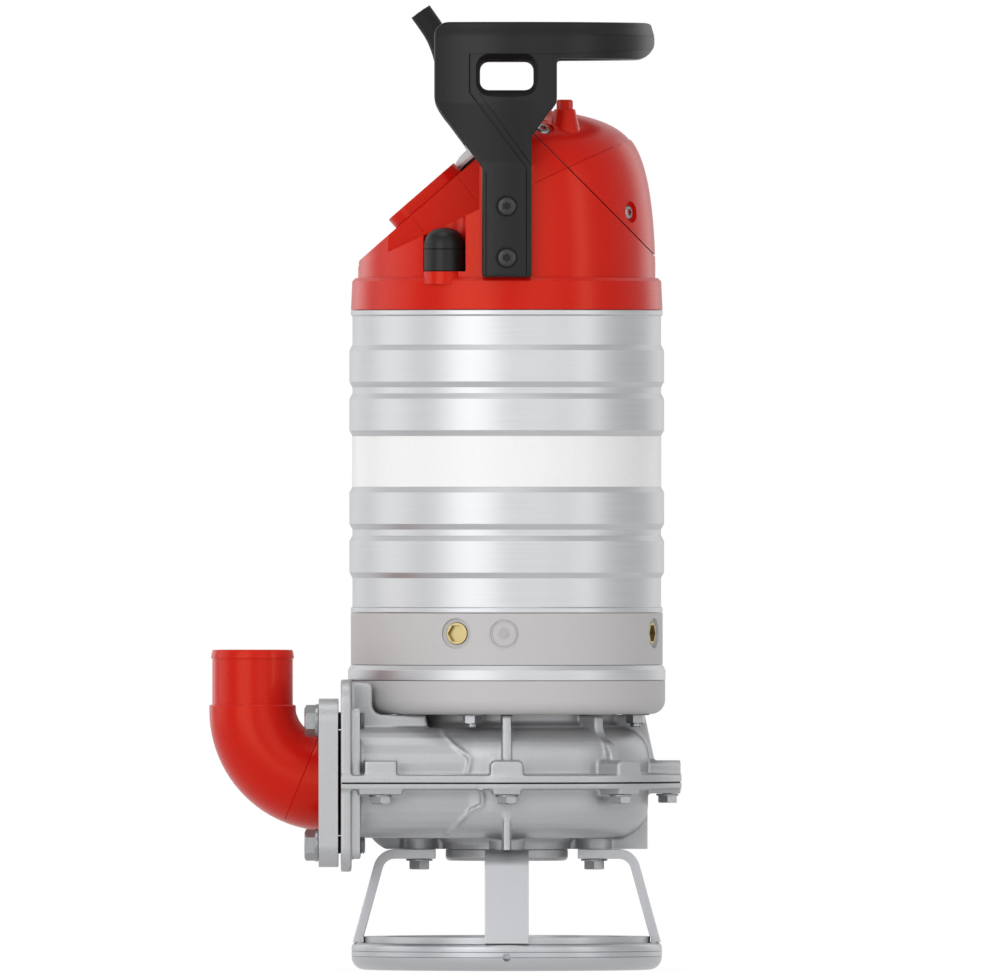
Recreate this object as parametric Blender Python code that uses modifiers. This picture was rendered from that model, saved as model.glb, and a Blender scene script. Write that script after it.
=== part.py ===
"""Submersible slurry pump on a ring foot, built as separate solids.

Sizes are in metres and +Z is up. Every piece is modelled about the vertical
pump axis, which the empty pump_axis carries. The discharge points to -X and the
front of the pump faces -Y.
"""
import math

import bmesh
import bpy
from mathutils import Matrix, Vector

# Fits and cutting allowances
SEAT_GAP = 0.0003
RUNNING_GAP = 0.0008
OVERRUN = 0.004
WELD = 0.000001

# Facets of round pieces
LARGE_STEPS = 24
MEDIUM_STEPS = 16
SMALL_STEPS = 16
WASHER_STEPS = 10
HOLE_STEPS = 8
HEX_STEPS = 6
CORNER_STEPS = 4

# Base ring
BASE_RADIUS = 0.142
BASE_BORE_RADIUS = 0.112
BASE_HEIGHT = 0.0248
BASE_FOOT_ROUND = 0.012
BASE_TOP_ROUND = 0.0046
COLLAR_RADIUS = 0.1313
COLLAR_RISE = 0.0056

# Legs, bent from flat bar, with a tang in the base ring
LEG_COUNT = 4
LEG_WIDTH = 0.040
LEG_THICKNESS = 0.0085
LEG_HEIGHT = 0.0850
LEG_SLOPE_DEGREES = 15.4
LEG_BEND_RADIUS = 0.0115
LEG_INNER_REACH = 0.065
LEG_FOOT_REACH = 0.141
LEG_TANG_THICKNESS = 0.005
LEG_TANG_DEPTH = 0.014
LEG_BOLT_CIRCLE_RADIUS = 0.080

# Leg bolts, M12
LEG_BOLT_RADIUS = 0.006
LEG_BOLT_FLATS = 0.018
LEG_BOLT_HEAD = 0.0078
LEG_BOLT_LENGTH = 0.022
LEG_WASHER_RADIUS = 0.0122
LEG_WASHER_THICKNESS = 0.0018

# Suction cover
SUCTION_COVER_RADIUS = 0.0559
SUCTION_COVER_HEIGHT = 0.0103
SUCTION_COVER_ROUND = 0.004
SUCTION_BORE_RADIUS = 0.040

# Volute, split at the parting plane
LOWER_CASING_HEIGHT = 0.0603
UPPER_CASING_HEIGHT = 0.0613
CASING_GASKET_THICKNESS = 0.001
CASING_GASKET_INSET = 0.001
VOLUTE_START_RADIUS = 0.1195
VOLUTE_END_RADIUS = 0.1345
VOLUTE_TONGUE_DEGREES = 200
VOLUTE_SWEEP_DEGREES = 305
VOLUTE_WALL = 0.010
VOLUTE_LOWER_ROUND = 0.030
VOLUTE_UPPER_ROUND = 0.026
VOLUTE_FLOOR_RISE = 0.0107
VOLUTE_ROOF_DROP = 0.013
CASING_NECK_RADIUS = 0.098
CASING_NECK_FLARE = 0.004
CASING_NECK_STRAIGHT = 0.0052
SHAFT_OPENING_RADIUS = 0.075
HUB_RADIUS = 0.057
HUB_FLARE = 0.0045
CASING_INLET_RADIUS = 0.045
LEG_BOSS_RADIUS = 0.0162
WEB_THICKNESS = 0.006
WEB_INSET = 0.0005

# Parting flange and its lugs
PARTING_FLANGE_WIDTH = 0.0255
PARTING_FLANGE_RADIUS = VOLUTE_END_RADIUS + PARTING_FLANGE_WIDTH
LOWER_FLANGE_THICKNESS = 0.0046
UPPER_FLANGE_THICKNESS = 0.0063
LOWER_LUG_WIDTH = 0.0254
LOWER_LUG_HEIGHT = 0.0095
UPPER_LUG_WIDTH = 0.029
UPPER_LUG_HEIGHT = 0.0192
LUG_CHAMFER = 0.003
LUG_INSET = 0.001
LUG_ROOT = 0.022
GUSSET_THICKNESS = 0.0078
GUSSET_REACH = 0.1322
GUSSET_DROP = 0.0004

# Casing bolts, M10
CASING_BOLT_EDGE = 0.0129
CASING_BOLT_CIRCLE_RADIUS = PARTING_FLANGE_RADIUS - CASING_BOLT_EDGE
CASING_BOLT_DEGREES = (-90, -45, 0, 45, 90, 135, 172)
NECK_BOLT_X = 0.115
CASING_BOLT_RADIUS = 0.005
CASING_BOLT_FLATS = 0.017
CASING_BOLT_HEAD = 0.0064
CASING_BOLT_LENGTH = 0.024
CASING_WASHER_RADIUS = 0.0103
CASING_WASHER_THICKNESS = 0.0019

# Discharge neck and pump flange
NECK_OFFSET = 0.080
NECK_HALF_WIDTH = 0.050
NECK_HALF_HEIGHT = 0.0503
NECK_CORNER_RADIUS = 0.032
DISCHARGE_BORE_RADIUS = 0.040
PUMP_FLANGE_REACH = 0.1513
PUMP_FLANGE_THICKNESS = 0.0095
PUMP_FLANGE_HALF_WIDTH = 0.0766
PUMP_FLANGE_ABOVE = 0.0941
PUMP_FLANGE_BELOW = 0.0808
FLANGE_CORNER_RADIUS = 0.020
BACKING_PAD_THICKNESS = 0.0083
BACKING_PAD_WIDTH = 0.025
NECK_STRIP_INSET = 0.0012
NECK_LUG_LENGTH = 0.040
NECK_GUSSET_THICKNESS = 0.012
NECK_GUSSET_OFFSET = 0.090

# Discharge gasket, loose flange and bolts, M16
DISCHARGE_GASKET_RADIUS = 0.048
DISCHARGE_GASKET_THICKNESS = 0.0020
LOOSE_FLANGE_THICKNESS = 0.0176
LOOSE_FLANGE_HALF_WIDTH = 0.0766
DISCHARGE_BOLT_CIRCLE_RADIUS = 0.080
DISCHARGE_BOLT_RADIUS = 0.008
DISCHARGE_BOLT_FLATS = 0.0246
DISCHARGE_BOLT_HEAD = 0.0097
DISCHARGE_WASHER_RADIUS = 0.015
DISCHARGE_WASHER_THICKNESS = 0.0030
DISCHARGE_BOLT_STANDOUT = 0.0040
DISCHARGE_BOLT_RELIEF = 0.010

# Discharge elbow with its hose tail
ELBOW_COLLAR_RADIUS = 0.0505
ELBOW_COLLAR_THICKNESS = 0.0045
ELBOW_PIPE_RADIUS = 0.0443
ELBOW_STUB = 0.0076
ELBOW_BEND_RISE = 0.0655
ELBOW_BEND_REACH = 0.0706
ELBOW_END_RADIUS = 0.0395
ELBOW_WALL = 0.0045
ELBOW_BEND_PIECES = 6
ELBOW_SIDES = 16
HOSE_TAIL_RADIUS = 0.0368
HOSE_TAIL_BEAD_RADIUS = 0.0378
HOSE_TAIL_BEAD = 0.0084
HOSE_TAIL_STEP = 0.0056
HOSE_TAIL_LENGTH = 0.0559

# Seal housing
SEAL_HOUSING_RADIUS = 0.145
SEAL_HOUSING_HEIGHT = 0.0308
SEAL_HOUSING_ROUND = 0.013
SEAL_HOUSING_FLOOR = 0.016
SEAL_SPIGOT_DEPTH = 0.0205
SEAL_TUBE_RADIUS = 0.040
SEAL_TUBE_RISE = 0.012
SEAL_THROAT_RADIUS = 0.024
HOUSING_CAVITY_RADIUS = 0.118

# Clamp ring and oil housing
CLAMP_RING_RADIUS = 0.1453
CLAMP_RING_HEIGHT = 0.0137
CLAMP_RING_BEVEL = 0.0045
OIL_HOUSING_RADIUS = 0.1427
OIL_HOUSING_HEIGHT = 0.0474
PLUG_DEGREES = (-109, -19)
PLUG_RADIUS = 0.010
PLUG_RECESS_RADIUS = 0.0139
PLUG_RECESS_DEPTH = 0.0035
PLUG_LENGTH = 0.014
PLUG_STANDOUT = 0.0015
PLUG_SOCKET_RADIUS = 0.0052
PLUG_SOCKET_DEPTH = 0.006

# Ribbed outer casing, symmetric about the plain band at its middle
CASING_RIB_RADIUS = 0.144
CASING_WALL_RADIUS = 0.1412
CASING_LIP_RADIUS = 0.1427
CASING_BORE_RADIUS = 0.133
CASING_LIP_HEIGHT = 0.0042
CASING_END_RECESS = 0.0262
CASING_RIB_HEIGHT = 0.0287
CASING_GROOVE_HEIGHT = 0.0055
CASING_BAND_HEIGHT = 0.0466
CASING_BEVEL = 0.0051
CASING_LIP_BEVEL = 0.0012

# Bearing bracket
BRACKET_FLANGE_THICKNESS = 0.010
BRACKET_HUB_RADIUS = 0.056
BRACKET_HUB_BELOW = 0.010
BRACKET_HUB_ABOVE = 0.0235
BRACKET_THROAT_RADIUS = 0.036

# Shaft and its seats
SHAFT_IMPELLER_RADIUS = 0.0125
SHAFT_SEAL_RADIUS = 0.016
SHAFT_BEARING_RADIUS = 0.020
SHAFT_ROTOR_RADIUS = 0.026
SHAFT_TOP_RADIUS = 0.015
SHAFT_TOP_STANDOUT = 0.004
SHAFT_NOSE_DROP = 0.0015

# Lower and upper bearing: outer radius, ring thickness, height, ball radius
LOWER_BEARING_RADIUS = 0.045
LOWER_BEARING_RING = 0.0065
LOWER_BEARING_HEIGHT = 0.023
LOWER_BALL_RADIUS = 0.0051
UPPER_BEARING_RADIUS = 0.036
UPPER_BEARING_RING = 0.0055
UPPER_BEARING_HEIGHT = 0.019
UPPER_BALL_RADIUS = 0.0042
BALL_COUNT = 6
CAGE_THICKNESS = 0.003
CAGE_HEIGHT_SHARE = 0.3
BALL_CORNER_SHARE = 1.118

# Shaft seal
SEAL_SEAT_HEIGHT = 0.018
SEAL_SEAT_BORE_RADIUS = 0.0175
SEAL_RING_RADIUS = 0.027
SEAL_RING_HEIGHT = 0.016

# Impeller and its screw
IMPELLER_RADIUS = 0.088
IMPELLER_HUB_RADIUS = 0.024
IMPELLER_HUB_HEIGHT = 0.055
IMPELLER_SHROUD_THICKNESS = 0.0055
IMPELLER_VANE_COUNT = 5
IMPELLER_VANE_HEIGHT = 0.038
IMPELLER_VANE_THICKNESS = 0.007
IMPELLER_VANE_WRAP_DEGREES = 75
IMPELLER_EYE_RADIUS = 0.030
IMPELLER_FLOOR_GAP = 0.0025
IMPELLER_SCREW_HEAD_RADIUS = 0.018
IMPELLER_SCREW_HEAD = 0.011
IMPELLER_SCREW_RADIUS = 0.006
IMPELLER_SCREW_LENGTH = 0.024

# Motor
STATOR_HEIGHT = 0.140
STATOR_BORE_RADIUS = 0.065
STATOR_RISE = 0.068
WINDING_OUTER_RADIUS = 0.118
WINDING_INNER_RADIUS = 0.072
WINDING_HEIGHT = 0.025
WINDING_ROUND = 0.008

# Top housing
HOUSING_RING_RADIUS = 0.1426
HOUSING_RING_TOP_RADIUS = 0.1414
HOUSING_RING_HEIGHT = 0.0293
HOUSING_RING_CHAMFER = 0.003
HOUSING_SPIGOT_DEPTH = 0.013
HOUSING_HUB_RADIUS = 0.048
HOUSING_HUB_DEPTH = 0.031
HOUSING_BEARING_RECESS = 0.0095
HOUSING_SHAFT_POCKET_RADIUS = 0.022
HOUSING_SHAFT_POCKET_DEPTH = 0.009

# Hood of the top housing, a turned wall and crown cut by three slopes
HOOD_RADIUS = 0.136
HOOD_WALL_HEIGHT = 0.1263
HOOD_CROWN_RADIUS = 0.1137
HOOD_CROWN_HEIGHT = 0.1558
HOOD_WALL_STRAIGHT = 0.0123
HOOD_WALL_BEND_RADIUS = 0.134
HOOD_WALL_BEND_HEIGHT = 0.1023
HOOD_CROWN_BEND_RADIUS = 0.090
HOOD_CROWN_BEND_RISE = 0.0005
HOOD_CROWN_BEND_HEIGHT = HOOD_CROWN_HEIGHT + HOOD_CROWN_BEND_RISE
HOOD_CREASE_STEP = 0.0012
CREASE_SLOPE_DEGREES = 25
CREASE_HEIGHT = 0.0104
INCLINE_SLOPE_DEGREES = 41
INCLINE_HEIGHT = 0.0147
COVER_SLOPE_DEGREES = 45
COVER_SPLIT_HEIGHT = 0.156
ENTRY_PAD_HALF_WIDTH = 0.080

# Handle pads and handle
HANDLE_PAD_HALF_WIDTH = 0.0250
HANDLE_PAD_RADIUS = 0.1375
HANDLE_PAD_HEIGHT = 0.102
HANDLE_LEG_HALF_WIDTH = 0.0226
HANDLE_LEG_THICKNESS = 0.0127
HANDLE_HEIGHT = 0.2328
HANDLE_BAND_HEIGHT = 0.0334
HANDLE_BAND_RADIUS = 0.1352
HANDLE_BAND_WIDTH = 0.0232
HANDLE_LEFT_REACH = 0.0662
HANDLE_POST_REACH = 0.0458
HANDLE_LEFT_WAIST = 0.0995
HANDLE_RIGHT_WAIST = 0.1055
HANDLE_LEFT_SHOULDER = 0.1640
HANDLE_RIGHT_SHOULDER = 0.1610
HANDLE_LEAN_START = 0.104
HANDLE_LEAN_END = 0.160
HANDLE_TOP_ROUND = 0.0128
HANDLE_END_ROUND = 0.009
HANDLE_END_UNDER_ROUND = 0.019
WINDOW_WIDTH = 0.0489
WINDOW_HEIGHT = 0.0279
WINDOW_ROUND = 0.0075
WINDOW_DROP = 0.0010

# Cable entry lid, gland and cable
LID_START = 0.0465
LID_LENGTH = 0.0788
LID_THICKNESS = 0.0104
LID_HALF_WIDTH = 0.062
LID_CORNER_RADIUS = 0.018
LID_GLAND_CLEARANCE = 0.001
GLAND_START = 0.1557
GLAND_RADIUS = 0.0345
GLAND_GASKET_RADIUS = 0.0350
GLAND_GASKET_THICKNESS = 0.0024
GLAND_HEIGHT = 0.0092
GLAND_COLLAR_RADIUS = 0.0135
GLAND_COLLAR_HEIGHT = 0.0034
CABLE_RADIUS = 0.01015
CABLE_POINTS = 12

# Domed cap on its boss
CAP_RADIUS = 0.0188
CAP_SEAM_HEIGHT = 0.0202
CAP_HEIGHT = 0.0397
CAP_X = 0.0569
CAP_Y = 0.1147
CAP_BOSS_RADIUS = 0.0190
CAP_BOSS_RISE = 0.0057
CAP_BOSS_DEPTH = 0.006
CAP_POCKET_CLEARANCE = 0.0006

# Test plug on its boss
TEST_PLUG_X = 0.0529
TEST_PLUG_Y = 0.075
TEST_PLUG_FLATS = 0.0129
TEST_PLUG_HEIGHT = 0.0088
TEST_BOSS_RADIUS = 0.0128
TEST_BOSS_DROP = 0.0020
TEST_BOSS_DEPTH = 0.030

# Terminal chamber and block
CHAMBER_LEFT = 0.030
CHAMBER_RIGHT = 0.100
CHAMBER_HALF_WIDTH = 0.055
CHAMBER_FLOOR_RISE = 0.028
TERMINAL_LENGTH = 0.074
TERMINAL_WIDTH = 0.032
TERMINAL_HEIGHT = 0.024
TERMINAL_BARRIERS = 4
TERMINAL_BARRIER_RISE = 0.008

# Heights of the stack, from the floor up
BASE_TOP = BASE_HEIGHT
LEG_FOOT = BASE_TOP + SEAT_GAP
LEG_TOP = LEG_FOOT + LEG_HEIGHT
CASING_FOOT = LEG_TOP + SEAT_GAP
LOWER_CASING_TOP = CASING_FOOT + LOWER_CASING_HEIGHT
GASKET_FOOT = LOWER_CASING_TOP + SEAT_GAP
UPPER_CASING_FOOT = GASKET_FOOT + CASING_GASKET_THICKNESS + SEAT_GAP
UPPER_CASING_TOP = UPPER_CASING_FOOT + UPPER_CASING_HEIGHT
SEAL_HOUSING_FOOT = UPPER_CASING_TOP + SEAT_GAP
CLAMP_RING_FOOT = SEAL_HOUSING_FOOT + SEAL_HOUSING_HEIGHT + SEAT_GAP
OIL_HOUSING_FOOT = CLAMP_RING_FOOT + CLAMP_RING_HEIGHT + SEAT_GAP
OIL_HOUSING_TOP = OIL_HOUSING_FOOT + OIL_HOUSING_HEIGHT
OUTER_CASING_FOOT = OIL_HOUSING_TOP + SEAT_GAP
OUTER_CASING_HEIGHT = (
    2 * (CASING_LIP_HEIGHT + CASING_LIP_BEVEL + CASING_END_RECESS)
    + 4 * CASING_RIB_HEIGHT + 2 * CASING_GROOVE_HEIGHT + CASING_BAND_HEIGHT + 8 * CASING_BEVEL
)
OUTER_CASING_TOP = OUTER_CASING_FOOT + OUTER_CASING_HEIGHT
HOUSING_FOOT = OUTER_CASING_TOP + SEAT_GAP
RING_TOP = HOUSING_FOOT + HOUSING_RING_HEIGHT
DISCHARGE_HEIGHT = (LOWER_CASING_TOP + UPPER_CASING_FOOT) / 2
VOLUTE_FLOOR = CASING_FOOT + VOLUTE_FLOOR_RISE
VOLUTE_ROOF = UPPER_CASING_TOP - VOLUTE_ROOF_DROP

# Reaches along the discharge, towards -X
DISCHARGE_GASKET_START = PUMP_FLANGE_REACH + SEAT_GAP
ELBOW_START = DISCHARGE_GASKET_START + DISCHARGE_GASKET_THICKNESS + SEAT_GAP
LOOSE_FLANGE_END = ELBOW_START + LOOSE_FLANGE_THICKNESS
HOSE_TAIL_AXIS = ELBOW_START + ELBOW_STUB + ELBOW_BEND_REACH
LEFT_REACH = HOSE_TAIL_AXIS + ELBOW_END_RADIUS
AXIS_X = (LEFT_REACH - PARTING_FLANGE_RADIUS) / 2

# Heights inside the motor and on the shaft
BRACKET_FOOT = OIL_HOUSING_TOP + SEAT_GAP
LOWER_BEARING_FOOT = BRACKET_FOOT
LOWER_BEARING_TOP = LOWER_BEARING_FOOT + LOWER_BEARING_HEIGHT
STATOR_FOOT = OUTER_CASING_FOOT + STATOR_RISE
STATOR_TOP = STATOR_FOOT + STATOR_HEIGHT
UPPER_BEARING_TOP = HOUSING_FOOT - HOUSING_BEARING_RECESS
UPPER_BEARING_FOOT = UPPER_BEARING_TOP - UPPER_BEARING_HEIGHT
IMPELLER_FOOT = VOLUTE_FLOOR + VOLUTE_WALL + IMPELLER_FLOOR_GAP
SHROUD_FOOT = IMPELLER_FOOT + IMPELLER_VANE_HEIGHT
HUB_FOOT = IMPELLER_FOOT + IMPELLER_SCREW_HEAD + IMPELLER_FLOOR_GAP
HUB_TOP = HUB_FOOT + IMPELLER_HUB_HEIGHT
SEAL_FLOOR_TOP = SEAL_HOUSING_FOOT + SEAL_HOUSING_FLOOR
SEAL_TUBE_TOP = SEAL_FLOOR_TOP + SEAL_TUBE_RISE
SEAL_SEAT_FOOT = SEAL_TUBE_TOP - SEAL_SEAT_HEIGHT
HANDLE_FOOT = RING_TOP + SEAT_GAP

FINISHES = {
    "cast_grey": ((0.56, 0.56, 0.56), 0.55, 0.3),
    "bright_steel": ((0.72, 0.73, 0.75), 0.25, 1.0),
    "brushed_steel": ((0.60, 0.62, 0.64), 0.35, 1.0),
    "red_enamel": ((0.62, 0.02, 0.018), 0.35, 0.0),
    "black_plastic": ((0.018, 0.018, 0.018), 0.5, 0.0),
    "black_rubber": ((0.025, 0.025, 0.025), 0.8, 0.0),
    "brass": ((0.66, 0.58, 0.32), 0.3, 1.0),
    "zinc_steel": ((0.62, 0.62, 0.60), 0.35, 1.0),
    "copper": ((0.55, 0.22, 0.08), 0.45, 0.6),
    "core_steel": ((0.25, 0.25, 0.27), 0.5, 0.8),
    "carbide": ((0.12, 0.12, 0.13), 0.3, 0.2),
    "hard_iron": ((0.36, 0.36, 0.37), 0.6, 0.6),
}


def new_collection(name):
    """A collection linked to the scene."""
    collection = bpy.data.collections.new(name)
    bpy.context.scene.collection.children.link(collection)
    return collection


for leftover in list(bpy.data.objects):
    bpy.data.objects.remove(leftover)
pump = new_collection("slurry_pump")
workshop = new_collection("workshop")
axis = bpy.data.objects.new("pump_axis", None)
axis.location.x = AXIS_X
pump.objects.link(axis)
materials = {}


# Outlines

def arc(centre, radius, start, end, pieces=CORNER_STEPS):
    """Points along an arc given in degrees, both ends kept."""
    angles = [math.radians(start + (end - start) * step / pieces) for step in range(pieces + 1)]
    return [(centre[0] + radius * math.cos(a), centre[1] + radius * math.sin(a)) for a in angles]


def bend(start, pull, end, pieces=CORNER_STEPS):
    """Points along a quadratic curve pulled towards a middle point."""
    points = []
    for step in range(pieces + 1):
        t = step / pieces
        points.append(tuple(
            (1 - t) ** 2 * a + 2 * t * (1 - t) * b + t ** 2 * c
            for a, b, c in zip(start, pull, end)
        ))
    return points


def rounded_box(left, right, low, high, radius, pieces=CORNER_STEPS):
    """Outline of a rectangle with equal round corners."""
    return (
        arc((right - radius, low + radius), radius, -90, 0, pieces)
        + arc((right - radius, high - radius), radius, 0, 90, pieces)
        + arc((left + radius, high - radius), radius, 90, 180, pieces)
        + arc((left + radius, low + radius), radius, 180, 270, pieces)
    )


def circle(x, y, radius, steps):
    """Outline of a circle."""
    return arc((x, y), radius, 0, 360 - 360 / steps, steps - 1)


# Solids

def shape_from(solid):
    """Put a bmesh on the bench as an object."""
    mesh = bpy.data.meshes.new("shape")
    solid.to_mesh(mesh)
    solid.free()
    shape = bpy.data.objects.new("shape", mesh)
    workshop.objects.link(shape)
    return shape


def baked(shape):
    """Turn a curve, or a shape with modifiers, into one welded mesh."""
    bpy.context.view_layer.update()
    graph = bpy.context.evaluated_depsgraph_get()
    mesh = bpy.data.meshes.new_from_object(shape.evaluated_get(graph))
    solid = bmesh.new()
    solid.from_mesh(mesh)
    bmesh.ops.remove_doubles(solid, verts=solid.verts, dist=WELD)
    bmesh.ops.dissolve_degenerate(solid, edges=solid.edges, dist=WELD)
    bmesh.ops.recalc_face_normals(solid, faces=solid.faces)
    bpy.data.objects.remove(shape)
    return shape_from(solid)


def turned(outline, steps):
    """Turn an outline of (radius, height) points about the pump axis."""
    profile = bmesh.new()
    points = [profile.verts.new((radius, 0, height)) for radius, height in outline]
    for first, second in zip(points, points[1:]):
        profile.edges.new((first, second))
    if outline[0][0] > 0:
        profile.edges.new((points[-1], points[0]))
    shape = shape_from(profile)
    screw = shape.modifiers.new("turn", "SCREW")
    screw.steps = steps
    screw.render_steps = steps
    screw.use_merge_vertices = True
    screw.merge_threshold = WELD
    return baked(shape)


def plate(outlines, thickness):
    """A filled flat outline, with any holes, thickened to both sides of its plane."""
    curve = bpy.data.curves.new("outline", "CURVE")
    curve.dimensions = "2D"
    curve.fill_mode = "BOTH"
    curve.extrude = thickness / 2
    for outline in outlines:
        spline = curve.splines.new("POLY")
        spline.points.add(len(outline) - 1)
        for point, (x, y) in zip(spline.points, outline):
            point.co = (x, y, 0, 1)
        spline.use_cyclic_u = True
    shape = bpy.data.objects.new("shape", curve)
    workshop.objects.link(shape)
    return baked(shape)


def block(low, high):
    """A box between two corners."""
    solid = bmesh.new()
    bmesh.ops.create_cube(solid, size=1)
    size = Vector(high) - Vector(low)
    middle = (Vector(high) + Vector(low)) / 2
    solid.transform(Matrix.Translation(middle) @ Matrix.Diagonal(size.to_4d()))
    return shape_from(solid)


def slab(low, high):
    """A block wider than the whole pump between two heights."""
    wide = 2 * LEFT_REACH
    return block((-wide, -wide, low), (wide, wide, high))


def cylinder(radius, low, high, steps, x=0, y=0):
    """An upright cylinder between two heights."""
    solid = bmesh.new()
    bmesh.ops.create_cone(
        solid, cap_ends=True, segments=steps, radius1=radius, radius2=radius, depth=high - low
    )
    solid.transform(Matrix.Translation((x, y, (low + high) / 2)))
    return shape_from(solid)


def moved(shape, *matrices):
    """Move a shape's mesh by matrices, the last one first."""
    for matrix in reversed(matrices):
        shape.data.transform(matrix)
    return shape


def shift(x=0, y=0, z=0):
    return Matrix.Translation((x, y, z))


def turn(degrees, about="Z"):
    return Matrix.Rotation(math.radians(degrees), 4, about)


def across(degrees=0):
    """Stand a flat outline upright: its x runs outward, its y up, its thickness sideways."""
    return turn(degrees) @ turn(90, "X")


def facing(degrees=0):
    """Stand a flat outline upright: its x runs sideways, its y up, its thickness outward."""
    return turn(degrees) @ turn(90, "Z") @ turn(90, "X")


def combined(shape, tool, operation):
    """Join, cut or intersect two shapes into one welded mesh."""
    step = shape.modifiers.new(operation.lower(), "BOOLEAN")
    step.operation = operation
    step.solver = "EXACT"
    step.object = tool
    result = baked(shape)
    bpy.data.objects.remove(tool)
    return result


def joined(shape, *tools):
    for tool in tools:
        shape = combined(shape, tool, "UNION")
    return shape


def cut(shape, *tools):
    for tool in tools:
        shape = combined(shape, tool, "DIFFERENCE")
    return shape


def common(shape, *tools):
    for tool in tools:
        shape = combined(shape, tool, "INTERSECT")
    return shape


def together(shapes):
    """Gather shapes that stay clear of each other into one tool."""
    solid = bmesh.new()
    for shape in shapes:
        solid.from_mesh(shape.data)
        bpy.data.objects.remove(shape)
    return shape_from(solid)


def copy_of(shape):
    duplicate = bpy.data.objects.new("shape", shape.data.copy())
    workshop.objects.link(duplicate)
    return duplicate


def finish_of(name):
    """The Principled material for a named finish."""
    if name not in materials:
        colour, roughness, metallic = FINISHES[name]
        material = bpy.data.materials.new(name)
        material.use_nodes = True
        shader = material.node_tree.nodes["Principled BSDF"]
        shader.inputs["Base Color"].default_value = (*colour, 1)
        shader.inputs["Roughness"].default_value = roughness
        shader.inputs["Metallic"].default_value = metallic
        materials[name] = material
    return materials[name]


def add_piece(name, shape, finish):
    """Name a finished shape, give it its material and hang it on the pump axis."""
    mesh = shape.data
    mesh.materials.clear()
    mesh.materials.append(finish_of(finish))
    mesh.shade_smooth()
    mesh.set_sharp_from_angle(angle=math.radians(35))
    piece = bpy.data.objects.new(name, mesh)
    mesh.name = name
    bpy.data.objects.remove(shape)
    pump.objects.link(piece)
    piece.parent = axis
    return piece


def add_copies(names, shape, finish, places):
    """Place one shape several times, as pieces that share its mesh."""
    first = add_piece(names[0], shape, finish)
    pieces = [first]
    for name in names[1:]:
        piece = bpy.data.objects.new(name, first.data)
        pump.objects.link(piece)
        piece.parent = axis
        pieces.append(piece)
    for piece, place in zip(pieces, places):
        piece.matrix_local = place
    return pieces


def hole_radius(bolt_radius):
    """Corner radius of a faceted hole whose flats clear a round bolt."""
    return (bolt_radius + SEAT_GAP) / math.cos(math.pi / HOLE_STEPS)


def hex_bolt(flats, head, washer_radius, washer, radius, length):
    """Bolt and washer as one body, bearing face at zero, head below it, shank up."""
    shape = cylinder(flats / math.sqrt(3), -washer - head, -washer / 2, HEX_STEPS)
    shape = joined(shape, cylinder(washer_radius, -washer, 0, WASHER_STEPS))
    return joined(shape, cylinder(radius, -washer / 2, length, HOLE_STEPS))


def inside_radius(bore):
    """Radius of a piece that seats in a bore with the same facets."""
    return bore - SEAT_GAP / math.cos(math.pi / LARGE_STEPS)


# Foot and legs

def make_base_ring():
    outline = (
        [(BASE_BORE_RADIUS, BASE_HEIGHT + COLLAR_RISE), (COLLAR_RADIUS, BASE_HEIGHT + COLLAR_RISE),
         (COLLAR_RADIUS, BASE_HEIGHT)]
        + arc((BASE_RADIUS - BASE_TOP_ROUND, BASE_HEIGHT - BASE_TOP_ROUND), BASE_TOP_ROUND, 90, 0, 2)
        + arc((BASE_RADIUS - BASE_FOOT_ROUND, BASE_FOOT_ROUND), BASE_FOOT_ROUND, 0, -90, 3)
        + [(BASE_BORE_RADIUS, 0)]
    )
    ring = turned(outline, LARGE_STEPS)
    tang_middle = tang_inner_radius() + LEG_TANG_THICKNESS / 2
    slots = []
    for angle in leg_degrees():
        half = Vector((
            LEG_TANG_THICKNESS / 2 + SEAT_GAP, LEG_WIDTH / 2 + SEAT_GAP, LEG_TANG_DEPTH + SEAT_GAP
        ))
        slot = block((-half.x, -half.y, -half.z), (half.x, half.y, OVERRUN))
        slots.append(moved(slot, turn(angle), shift(x=tang_middle, z=LEG_FOOT)))
    add_piece("base_ring", cut(ring, together(slots)), "brushed_steel")


def leg_degrees():
    return [360 * leg / LEG_COUNT for leg in range(LEG_COUNT)]


def tang_inner_radius():
    """The tang stands just outside the collar."""
    return COLLAR_RADIUS + 2 * SEAT_GAP


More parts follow.
